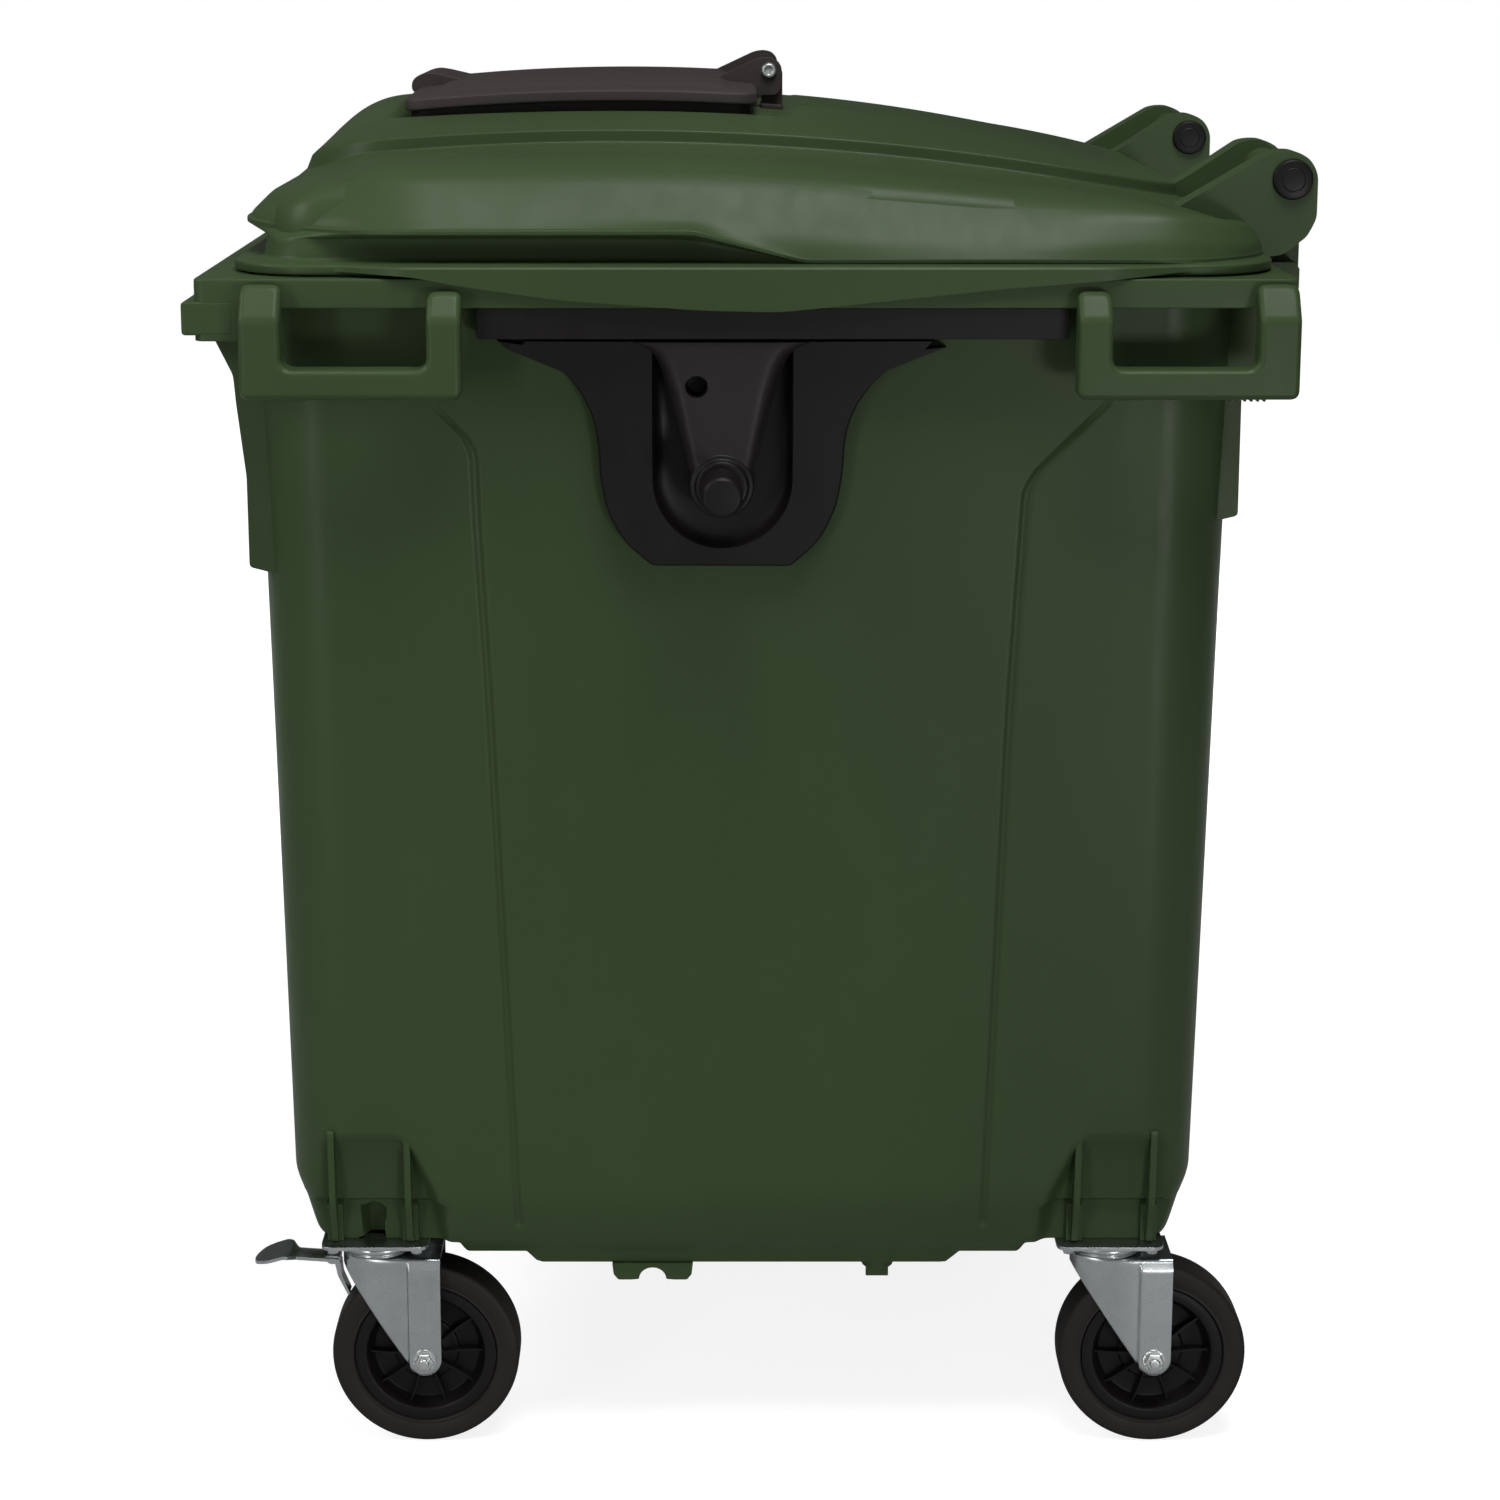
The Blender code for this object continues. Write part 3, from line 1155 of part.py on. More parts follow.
def build_hinge_pins(hinge):
    """The lid's two pins and the four domed caps that close their bores."""
    axis = hinge.location
    centre = (HINGE_Y, HINGE_Z)
    for side_name, side in SIDES.items():
        edges = sorted((side * (EAR_INNER_X + GAP), side * (EAR_OUTER_X - GAP)))
        bm = bmesh.new()
        turned(bm, [(0.0, edges[0]), (PIN_RADIUS, edges[0]), (PIN_RADIUS, edges[1]), (0.0, edges[1])],
               "X", centre, PIN_STEPS)
        piece(f"lid_hinge_pin_{side_name}", moved(bm, axis), ZINC_STEEL, hinge)
        for place_name, face, out in (("outer", EAR_OUTER_X, 1.0), ("inner", EAR_INNER_X, -1.0)):
            root = side * (face + out * GAP)
            tip = root + side * out * CAP_THICKNESS
            edge = root + side * out * CAP_THICKNESS / 2
            bm = bmesh.new()
            rows = [(0.0, root), (CAP_RADIUS, root), (CAP_RADIUS, edge),
                    (CAP_RADIUS * CAP_FACE_SHARE, tip), (0.0, tip)]
            turned(bm, rows, "X", centre, PIN_STEPS)
            piece(f"hinge_cap_{side_name}_{place_name}", moved(bm, axis), BLACK_PLASTIC, hinge)


def small_lid_z(lift):
    """A height function that follows the big lid's top at a distance."""
    return lambda x, y: lid_top(x, y) + lift


def build_small_lid(hinge, small_hinge):
    """The small lid, the frame round its throat, its stands and bolts."""
    outer_top = FRAME_HEIGHT + GAP + SMALL_EDGE
    panel = outer_top + PANEL_RISE
    middle_x = SMALL_HALF_X / 2

    def small_ring(inset, lift):
        return free_ring(SMALL_HALF_X - inset, SMALL_FRONT_Y + inset, SMALL_REAR_Y - inset,
                         SMALL_RADIUS, small_lid_z(lift))

    def centre_ring(lift):
        half_y = (SMALL_REAR_Y - SMALL_FRONT_Y) / 4
        middle_y = (SMALL_REAR_Y + SMALL_FRONT_Y) / 2
        return free_ring(middle_x, middle_y - half_y, middle_y + half_y, SMALL_RADIUS, small_lid_z(lift))

    axis = hinge.location + small_hinge.location
    bm = bmesh.new()
    skin(bm, [
        centre_ring(panel),
        small_ring(PANEL_INSET + PANEL_RISE, panel),
        small_ring(PANEL_INSET, outer_top),
        small_ring(SMALL_WALL / 2, outer_top),
        small_ring(0.0, outer_top - SMALL_WALL / 2),
        small_ring(0.0, FRAME_HEIGHT + 2 * GAP),
        small_ring(SMALL_WALL, FRAME_HEIGHT + 2 * GAP),
        small_ring(SMALL_WALL, outer_top - SMALL_WALL),
        small_ring(PANEL_INSET, outer_top - SMALL_WALL),
        centre_ring(panel - SMALL_WALL),
    ])
    small = piece("small_lid", moved(bm, axis), GREY_PLASTIC, small_hinge)

    bm = bmesh.new()
    outline = [(BOLT_Y + a * SMALL_EAR_RADIUS, BOLT_Z + b * SMALL_EAR_RADIUS) for a, b in SMALL_EAR_SHARES]
    for side in SIDES.values():
        prism(bm, outline, "X", *sorted((side * SMALL_EAR_X, side * (SMALL_EAR_X - SMALL_EAR_WIDTH))))
    boolean(small, operand("small_ears", moved(bm, axis), small_hinge), "UNION")

    bm = bmesh.new()
    lip_front = SMALL_FRONT_Y + SMALL_WALL
    lip_top = lid_top(0.0, lip_front) + panel + LIP_RISE
    lip_foot = lid_top(0.0, lip_front) + outer_top - SMALL_WALL / 2
    outline = [(lip_front, lip_foot), (lip_front + SMALL_WALL, lip_top),
               (lip_front + LIP_REACH / 2, lip_top),
               (lip_front + LIP_REACH + PANEL_INSET, lip_foot + SMALL_WALL)]
    prism(bm, outline, "X", -LIP_HALF_X, LIP_HALF_X)
    boolean(small, operand("small_lid_lip", moved(bm, axis), small_hinge), "UNION")

    bm = bmesh.new()
    reach = SMALL_EAR_X + OVERRUN
    bolt_bore = BOLT_RADIUS + GAP
    turned(bm, [(0.0, -reach), (bolt_bore, -reach), (bolt_bore, reach), (0.0, reach)],
           "X", (BOLT_Y, BOLT_Z), PIN_STEPS)
    boolean(small, operand("small_ear_bores", moved(bm, axis), small_hinge), "DIFFERENCE")

    build_small_frame(hinge)
    build_small_stands(hinge, small_hinge)


def build_small_frame(hinge):
    """The frame round the throat, under the small lid."""
    def frame_ring(inset, lift):
        inset += FRAME_INSET
        return free_ring(SMALL_HALF_X - inset, SMALL_FRONT_Y + inset, SMALL_REAR_Y - inset,
                         SMALL_RADIUS, small_lid_z(lift))

    bm = bmesh.new()
    skin(bm, [frame_ring(0.0, 2 * GAP), frame_ring(0.0, FRAME_HEIGHT), frame_ring(FRAME_WIDTH, FRAME_HEIGHT),
              frame_ring(FRAME_WIDTH, 2 * GAP)], closed=True)
    piece("small_lid_frame", moved(bm, hinge.location), BLACK_PLASTIC, hinge)


def build_small_stands(hinge, small_hinge):
    """The stands behind the small lid, and the bolts through its ears."""
    axis = hinge.location
    inner = SMALL_EAR_X - SMALL_EAR_WIDTH - RUNNING_GAP
    outline = [(BOLT_Y + a * SMALL_EAR_RADIUS, BOLT_Z + b * SMALL_EAR_RADIUS) for a, b in STAND_SHARES]
    for side_name, side in SIDES.items():
        bm = bmesh.new()
        edges = sorted((side * STAND_BASE_X, side * (STAND_BASE_X - STAND_BASE_WIDTH)))
        flat = [(edges[0], STAND_BASE_FRONT_Y), (edges[1], STAND_BASE_FRONT_Y),
                (edges[1], STAND_BASE_REAR_Y), (edges[0], STAND_BASE_REAR_Y)]
        skin(bm, [[Vector((x, y, lid_top(x, y) + lift)) for x, y in flat]
                  for lift in (2 * GAP, STAND_BASE_HEIGHT)])
        stand = piece(f"small_lid_stand_{side_name}", moved(bm, axis), GREY_PLASTIC, hinge)
        bm = bmesh.new()
        prism(bm, outline, "X", *sorted((side * inner, side * (inner - STAND_WIDTH))))
        boolean(stand, operand(f"stand_post_{side_name}", moved(bm, axis), hinge), "UNION")
        bm = bmesh.new()
        bore = BOLT_RADIUS + RUNNING_GAP
        ends = sorted((side * (inner - STAND_WIDTH - OVERRUN), side * (inner + OVERRUN)))
        turned(bm, [(0.0, ends[0]), (bore, ends[0]), (bore, ends[1]), (0.0, ends[1])],
               "X", (BOLT_Y, BOLT_Z), PIN_STEPS)
        boolean(stand, operand(f"stand_bore_{side_name}", moved(bm, axis), hinge), "DIFFERENCE")

        bm = bmesh.new()
        face = side * (SMALL_EAR_X + GAP)
        tail = side * (inner - STAND_WIDTH - GAP)
        rows = [(0.0, face + side * BOLT_HEAD), (BOLT_HEAD_RADIUS, face + side * BOLT_HEAD),
                (BOLT_HEAD_RADIUS, face), (BOLT_RADIUS, face), (BOLT_RADIUS, tail), (0.0, tail)]
        turned(bm, rows, "X", (BOLT_Y, BOLT_Z), PIN_STEPS)
        centred = moved(bm, axis + small_hinge.location)
        piece(f"small_lid_bolt_{side_name}", centred, BRIGHT_STEEL, small_hinge)


def caster_stack():
    """Heights of a caster's seams, from the housing down to the fork."""
    plate_top = SEAT_Z - GAP
    plate_low = plate_top - TOP_PLATE
    head_top = plate_low - GAP
    head_low = head_top - HEAD_HEIGHT
    return plate_top, plate_low, head_top, head_low, head_low - GAP


def fork_plan(half, rear):
    """The fork seen from above: a round nose and straight legs."""
    return arc((0.0, 0.0), half, 180, 360, FORK_ARC_STEPS) + [(half, rear), (-half, rear)]


def build_fork(name, swivel, has_brake):
    """The pressed fork, open to the rear, cut back below its nose."""
    top = caster_stack()[4]
    rear = TRAIL + FORK_LEG_HALF
    bm = bmesh.new()
    prism(bm, fork_plan(FORK_HALF_WIDTH, rear), "Z", 0.0, top)
    fork = piece(name, bm, ZINC_STEEL, swivel)
    bm = bmesh.new()
    prism(bm, fork_plan(FORK_HALF_WIDTH - FORK_WALL, rear + OVERRUN), "Z", -OVERRUN, top - FORK_WALL)
    boolean(fork, operand(name + "_hollow", bm, swivel), "DIFFERENCE")
    nose = -FORK_HALF_WIDTH - OVERRUN
    nose_low = top - FORK_NOSE
    side_view = [(nose, top + OVERRUN), (nose, nose_low), (FORK_WALL - FORK_HALF_WIDTH, nose_low)]
    side_view += arc((TRAIL, WHEEL_RADIUS), FORK_LEG_HALF, 205, 360, FORK_ARC_STEPS)
    side_view.append((rear, top + OVERRUN))
    bm = bmesh.new()
    reach = FORK_HALF_WIDTH + OVERRUN
    prism(bm, side_view, "X", -reach, reach)
    boolean(fork, operand(name + "_side_view", bm, swivel), "INTERSECT")
    bore = AXLE_RADIUS + GAP
    bm = bmesh.new()
    turned(bm, [(0.0, -reach), (bore, -reach), (bore, reach), (0.0, reach)],
           "X", (TRAIL, WHEEL_RADIUS), AXLE_STEPS)
    boolean(fork, operand(name + "_bore", bm, swivel), "DIFFERENCE")
    if not has_brake:
        return
    bm = bmesh.new()
    half = BRAKE_EAR_HALF
    outline = [(BRAKE_Y - half, BRAKE_Z - half), (BRAKE_Y - half, BRAKE_Z + half),
               (FORK_WALL - FORK_HALF_WIDTH, BRAKE_Z + half), (FORK_WALL - FORK_HALF_WIDTH, BRAKE_Z - half)]
    for side in SIDES.values():
        prism(bm, outline, "X", *sorted((side * BRAKE_EAR_X, side * (BRAKE_EAR_X + BRAKE_EAR_WIDTH))))
    boolean(fork, operand(name + "_ears", bm, swivel), "UNION")
    hole = BRAKE_PIN_RADIUS + GAP
    bm = bmesh.new()
    turned(bm, [(0.0, -reach), (hole, -reach), (hole, reach), (0.0, reach)],
           "X", (BRAKE_Y, BRAKE_Z), AXLE_STEPS)
    boolean(fork, operand(name + "_pin_bore", bm, swivel), "DIFFERENCE")


def build_wheel(prefix, wheel):
    """The spoked hub and its tyre, about the wheel's axle."""
    bore = AXLE_RADIUS + RUNNING_GAP
    half = HUB_RIM_HALF
    rows = [(bore, HUB_HALF_LENGTH), (HUB_BARREL_RADIUS, HUB_HALF_LENGTH),
            (HUB_BARREL_RADIUS, HUB_WEB_HALF), (HUB_DISH_RADIUS, HUB_WEB_HALF),
            (HUB_DISH_RADIUS, half), (HUB_RIM_RADIUS, half)]
    rows += [(radius, -along) for radius, along in reversed(rows)]
    turn = math.pi / HUB_STEPS
    bm = bmesh.new()
    turned(bm, rows, "X", (0.0, 0.0), HUB_STEPS, closed=True, turn=turn)
    hub = piece(f"{prefix}_hub", bm, BLACK_PLASTIC, wheel)
    bm = bmesh.new()
    start = HUB_BARREL_RADIUS - SPOKE_WIDTH
    end = HUB_DISH_RADIUS + SPOKE_WIDTH
    for i in range(SPOKE_COUNT):
        angle = math.tau * (i + 0.5) / SPOKE_COUNT
        along = (math.cos(angle), math.sin(angle))
        across = (-math.sin(angle) * SPOKE_WIDTH / 2, math.cos(angle) * SPOKE_WIDTH / 2)
        outline = [(along[0] * start - across[0], along[1] * start - across[1]),
                   (along[0] * end - across[0], along[1] * end - across[1]),
                   (along[0] * end + across[0], along[1] * end + across[1]),
                   (along[0] * start + across[0], along[1] * start + across[1])]
        prism(bm, outline, "X", -SPOKE_HALF_DEPTH, SPOKE_HALF_DEPTH)
    boolean(hub, operand(f"{prefix}_spokes", bm, wheel), "UNION")

    flat = 1 / math.cos(math.pi / WHEEL_STEPS)
    seat = (HUB_RIM_RADIUS + GAP) * flat
    edge = TYRE_HALF_WIDTH
    shoulder = (WHEEL_RADIUS - SHOULDER_DROP) * flat
    rows = [(seat, half), (HUB_RIM_RADIUS + RUBBER_BEAD, edge), (shoulder, edge),
            (WHEEL_RADIUS * flat, TREAD_HALF_WIDTH)]
    rows += [(radius, -along) for radius, along in reversed(rows)]
    bm = bmesh.new()
    turned(bm, rows, "X", (0.0, 0.0), WHEEL_STEPS, closed=True, turn=math.pi / WHEEL_STEPS)
    piece(f"{prefix}_tyre", bm, TYRE_RUBBER, wheel)


def build_brake(prefix, swivel):
    """The brake lever that turns on a pin in front of the fork."""
    lever_axis = axis_empty(f"{prefix}_brake_axis", (0.0, BRAKE_Y, BRAKE_Z), swivel)
    outline = [(a * PEDAL_LENGTH, b * PEDAL_LENGTH) for a, b in LEVER_SHARES]
    bm = bmesh.new()
    prism(bm, outline, "X", -BRAKE_ARM_HALF, BRAKE_ARM_HALF)
    lever = piece(f"{prefix}_brake_pedal", bm, ZINC_STEEL, lever_axis)
    pad = [(a * PEDAL_LENGTH, b * PEDAL_LENGTH) for a, b in PEDAL_SHARES]
    bm = bmesh.new()
    prism(bm, pad, "X", -PEDAL_HALF_X, PEDAL_HALF_X)
    boolean(lever, operand(f"{prefix}_pedal_pad", bm, lever_axis), "UNION")
    reach = BRAKE_ARM_HALF + OVERRUN
    hole = BRAKE_PIN_RADIUS + GAP
    bm = bmesh.new()
    turned(bm, [(0.0, -reach), (hole, -reach), (hole, reach), (0.0, reach)], "X", (0.0, 0.0), AXLE_STEPS)
    boolean(lever, operand(f"{prefix}_lever_bore", bm, lever_axis), "DIFFERENCE")
    bm = bmesh.new()
    turned(bm, [(0.0, -BRAKE_PIN_HALF), (BRAKE_PIN_RADIUS, -BRAKE_PIN_HALF),
                (BRAKE_PIN_RADIUS, BRAKE_PIN_HALF), (0.0, BRAKE_PIN_HALF)],
           "X", (BRAKE_Y, BRAKE_Z), AXLE_STEPS)
    piece(f"{prefix}_brake_pin", bm, ZINC_STEEL, swivel)


def build_caster(prefix, place, side, has_brake):
    """One caster: plate, swivel head, fork, axle, nut, wheel and brake."""
    plate_top, plate_low, head_top, head_low, _ = caster_stack()
    swivel = axis_empty(f"{prefix}_swivel_axis", place)
    x, y = PLATE_HALF_X - PLATE_CORNER, PLATE_HALF_Y - PLATE_CORNER
    flat = []
    for centre, start in (((x, y), 0), ((-x, y), 90), ((-x, -y), 180), ((x, -y), 270)):
        flat += arc(centre, PLATE_CORNER, start, start + 90, CORNER_STEPS)
    bm = bmesh.new()
    prism(bm, flat, "Z", plate_low, plate_top)
    piece(f"{prefix}_plate", bm, ZINC_STEEL, swivel)
    bm = bmesh.new()
    middle = (head_low + head_top) / 2
    turned(bm, [(0.0, head_low), (HEAD_FOOT_RADIUS, head_low),
                (HEAD_RADIUS, between(head_low, middle, HEAD_WIDE_SHARE)),
                (HEAD_RADIUS, middle), (HEAD_TOP_RADIUS, head_top), (0.0, head_top)],
           "Z", (0.0, 0.0), ROUND_STEPS)
    piece(f"{prefix}_swivel_head", bm, ZINC_STEEL, swivel)
    build_fork(f"{prefix}_fork", swivel, has_brake)

    centre = (TRAIL, WHEEL_RADIUS)
    face = FORK_HALF_WIDTH + GAP
    nut_tip = face + NUT_HEIGHT
    rows = [(0.0, -face - AXLE_HEAD), (AXLE_HEAD_RADIUS, -face - AXLE_HEAD, True),
            (AXLE_HEAD_RADIUS, -face, True), (AXLE_RADIUS, -face), (AXLE_RADIUS, nut_tip + AXLE_TAIL),
            (0.0, nut_tip + AXLE_TAIL)]
    bm = bmesh.new()
    turned(bm, rows, "X", centre, AXLE_STEPS)
    piece(f"{prefix}_axle_bolt", flipped(bm, side), BRIGHT_STEEL, swivel)
    bore = AXLE_RADIUS + GAP
    bm = bmesh.new()
    rows = [(bore, face), (AXLE_HEAD_RADIUS, face, True), (AXLE_HEAD_RADIUS, nut_tip, True),
            (bore, nut_tip)]
    turned(bm, rows, "X", centre, AXLE_STEPS, closed=True)
    piece(f"{prefix}_axle_nut", flipped(bm, side), BRIGHT_STEEL, swivel)
    wheel = axis_empty(f"{prefix}_wheel_axis", (0.0, TRAIL, WHEEL_RADIUS), swivel)
    build_wheel(prefix, wheel)
    if has_brake:
        build_brake(prefix, swivel)


def build_casters():
    """Four casters, with brakes on the front pair."""
    for end_name, end in ENDS.items():
        for side_name, side in SIDES.items():
            place = (side * CASTER_X, BODY_Y + end * CASTER_Y, 0.0)
            build_caster(f"caster_{end_name}_{side_name}", place, side, end < 0)


def build_container():
    """Build every piece of the container."""
    clear_scene()
    hinge = axis_empty("lid_axis", (0.0, HINGE_Y, HINGE_Z))
    small_hinge = axis_empty("small_lid_axis", (0.0, BOLT_Y - HINGE_Y, BOLT_Z - HINGE_Z), hinge)
    build_tub()
    build_handles()
    build_trunnions()
    build_drain()
    build_lid(hinge)
    build_hinge_pins(hinge)
    build_small_lid(hinge, small_hinge)
    build_casters()


build_container()
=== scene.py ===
"""The looks of the wheeled waste container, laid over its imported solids."""

import json
import logging
import math
from collections.abc import Sequence
from dataclasses import dataclass, field
from enum import Enum

import bmesh
import bpy
import numpy as np
from numpy.typing import ArrayLike, NDArray
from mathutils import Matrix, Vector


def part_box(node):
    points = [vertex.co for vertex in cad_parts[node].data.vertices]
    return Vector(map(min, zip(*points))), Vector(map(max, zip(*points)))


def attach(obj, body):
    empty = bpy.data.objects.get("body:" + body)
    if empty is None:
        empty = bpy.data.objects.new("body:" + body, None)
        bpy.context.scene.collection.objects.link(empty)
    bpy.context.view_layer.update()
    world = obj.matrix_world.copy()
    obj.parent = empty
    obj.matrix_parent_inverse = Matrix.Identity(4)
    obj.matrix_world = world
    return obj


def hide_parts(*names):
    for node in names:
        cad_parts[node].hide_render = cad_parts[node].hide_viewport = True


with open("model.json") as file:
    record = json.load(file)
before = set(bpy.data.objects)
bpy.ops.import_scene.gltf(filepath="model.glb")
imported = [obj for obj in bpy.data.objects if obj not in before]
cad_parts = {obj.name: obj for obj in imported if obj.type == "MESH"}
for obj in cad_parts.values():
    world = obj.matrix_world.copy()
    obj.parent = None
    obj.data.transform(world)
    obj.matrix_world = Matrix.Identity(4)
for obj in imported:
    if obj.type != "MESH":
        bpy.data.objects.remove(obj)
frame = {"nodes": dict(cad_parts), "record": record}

Points = NDArray[np.float64]
log = logging.getLogger("container")
SIDES: dict[str, int] = {"right": 1, "left": -1}


class Slot(Enum):
    """The record's finishes."""

    GREEN = "green_plastic"
    BLACK = "black_plastic"
    GREY = "dark_grey_plastic"
    RUBBER = "tyre_rubber"
    ZINC = "zinc_plated_steel"
    BRIGHT = "bright_steel"


class Axis(Enum):
    """The axis that an outline is drawn out along."""

    X = 0
    Y = 1
    Z = 2


class Ends(Enum):
    """What closes the two ends of a run of rings."""

    OPEN = 0
    FACE = 1
    LOOP = 2


# ---------------------------------------------------------------- curves


def smooth(low: float, high: float, value: ArrayLike) -> Points:
    """A soft step: 3t^2 - 2t^3 with t the share of the way from low to high.

    Args:
        low: Where the step starts.
        high: Where it has reached one.
        value: What is compared.

    Returns:
        Zero to one, in the shape of value.
    """
    t = np.clip((np.asarray(value, float) - low) / (high - low), 0.0, 1.0)
    return t * t * (3.0 - 2.0 * t)


def soft_min(a: ArrayLike, b: ArrayLike, blend: float) -> Points:
    """The smaller of two values with a rounded change-over.

    Formula: -k log(exp(-a/k) + exp(-b/k)), with k the blend.

    Args:
        a: First values.
        b: Second values.
        blend: The size of the rounding, in metres.

    Returns:
        The blended smaller values.
    """
    return -blend * np.logaddexp(-np.asarray(a) / blend, -np.asarray(b) / blend)


def soft_max(a: ArrayLike, b: ArrayLike, blend: float) -> Points:
    """The larger of two values with a rounded change-over, as soft_min."""
    return blend * np.logaddexp(np.asarray(a) / blend, np.asarray(b) / blend)


def bent(keys: ArrayLike, radius: ArrayLike, steps: int = 4) -> Points:
    """Rounds the inner corners of an open run of key points or key rings.

    Formula: each corner K becomes (1-t)^2 A + 2t(1-t) K + t^2 B, where A and B
    lie on its two legs, a radius away or at most 0.48 of the leg.

    Args:
        keys: (K, D) points or (K, M, D) rings.
        radius: One size, or one for each key. Zero leaves a key sharp.
        steps: Pieces in each rounded corner.

    Returns:
        The rounded run, with the keys' own number of axes.
    """
    path = np.asarray(keys, float)
    flat = path.ndim == 2
    if flat:
        path = path[:, None, :]
    sizes = np.broadcast_to(radius, (len(path),))
    t = np.linspace(0.0, 1.0, steps + 1)[:, None, None]
    rows = [path[:1]]
    for k in range(1, len(path) - 1):
        if sizes[k] <= 0.0:
            rows.append(path[k : k + 1])
            continue
        back, ahead = path[k - 1] - path[k], path[k + 1] - path[k]
        back_length = np.linalg.norm(back, axis=-1, keepdims=True) + 1e-12
        ahead_length = np.linalg.norm(ahead, axis=-1, keepdims=True) + 1e-12
        cut = np.minimum(sizes[k], 0.48 * np.minimum(back_length, ahead_length))
        start = path[k] + back / back_length * cut
        end = path[k] + ahead / ahead_length * cut
        rows.append((1 - t) ** 2 * start + 2 * t * (1 - t) * path[k] + t**2 * end)
    rows.append(path[-1:])
    run = np.concatenate(rows)
    return run[:, 0] if flat else run


def rounded(outline: ArrayLike, radius: ArrayLike, steps: int = 4) -> Points:
    """Rounds every corner of a closed outline with the curve of bent.

    Args:
        outline: (N, 2) corners in order.
        radius: One size, or one for each corner.
        steps: Pieces in each corner.

    Returns:
        (N * (steps + 1), 2) points.
    """
    corners = np.asarray(outline, float)
    back = np.roll(corners, 1, 0) - corners
    ahead = np.roll(corners, -1, 0) - corners
    back_length = np.linalg.norm(back, axis=1, keepdims=True)
    ahead_length = np.linalg.norm(ahead, axis=1, keepdims=True)
    size = np.broadcast_to(radius, (len(corners),))[:, None]
    cut = np.minimum(size, 0.46 * np.minimum(back_length, ahead_length))
    start = (corners + back / back_length * cut)[:, None]
    end = (corners + ahead / ahead_length * cut)[:, None]
    t = np.linspace(0.0, 1.0, steps + 1)[None, :, None]
    curve = (1 - t) ** 2 * start + 2 * t * (1 - t) * corners[:, None] + t**2 * end
    return curve.reshape(-1, 2)


def refined(path: Points, spacing: ArrayLike) -> Points:
    """Adds points on the legs of a path, so that none is longer than its spacing.

    Args:
        path: (K, D) points.
        spacing: One length, or one for each leg.

    Returns:
        The path with its added points.
    """
    legs = np.linalg.norm(np.diff(path, axis=0), axis=1)
    counts = np.maximum(1, np.ceil(legs / np.broadcast_to(spacing, legs.shape))).astype(int)
    places = [np.linspace(k, k + 1, n, endpoint=False) for k, n in enumerate(counts)]
    place = np.concatenate(places + [np.array([float(len(legs))])])
    whole = np.arange(len(path))
    return np.stack([np.interp(place, whole, path[:, d]) for d in range(path.shape[1])], -1)


def drawn(outline: Points, axis: Axis, low: ArrayLike, high: ArrayLike) -> Points:
    """The two rings of an outline drawn out along an axis.

    Args:
        outline: (N, 2) points in the other two axes, in their own order.
        axis: The axis of the draw.
        low: Where the first ring lies, one value or one for each point.
        high: Where the second ring lies.

    Returns:
        (2, N, 3) points.
    """
    flat = np.asarray(outline, float)
    rings = [np.insert(flat, axis.value, np.broadcast_to(v, len(flat)), axis=1) for v in (low, high)]
    return np.array(rings)


def lathe(profile: ArrayLike, axis: Axis, centre: Sequence[float], steps: int) -> Points:
    """Rings of a profile turned about an axis.

    Formula: a profile point (r, h) becomes centre + r (cos a, sin a) in the other
    two axes, at h along the axis.

    Args:
        profile: (P, 2) radii and heights.
        axis: The axis of the turn.
        centre: Its place in the other two axes.
        steps: Points in each ring.

    Returns:
        (P, steps, 3) points.
    """
    rows = np.asarray(profile, float)
    angle = np.linspace(0.0, 2 * np.pi, steps, endpoint=False)
    across = centre[0] + rows[:, :1] * np.cos(angle)
    up = centre[1] + rows[:, :1] * np.sin(angle)
    along = np.broadcast_to(rows[:, 1:2], across.shape)
    order = {Axis.X: (along, across, up), Axis.Y: (across, along, up), Axis.Z: (across, up, along)}
    return np.stack(order[axis], -1)


def turned(points: Points, axis: Axis, centre: Sequence[float], angle: float) -> Points:
    """Points turned about an axis by an angle in radians.

    Args:
        points: (..., 3) points.
        axis: The axis of the turn.
        centre: Its place in the other two axes.
        angle: How far, from the first of the other axes to the second.

    Returns:
        The turned points.
    """
    a, b = [k for k in range(3) if k != axis.value]
    moved = np.array(points, float)
    first, second = moved[..., a] - centre[0], moved[..., b] - centre[1]
    moved[..., a] = centre[0] + first * math.cos(angle) - second * math.sin(angle)
    moved[..., b] = centre[1] + first * math.sin(angle) + second * math.cos(angle)
    return moved


def flipped(points: Points, side: int) -> Points:
    """Points on the right (1) or mirrored to the left (-1)."""
    return points * np.array([side, 1.0, 1.0])


# ---------------------------------------------------------------- meshes


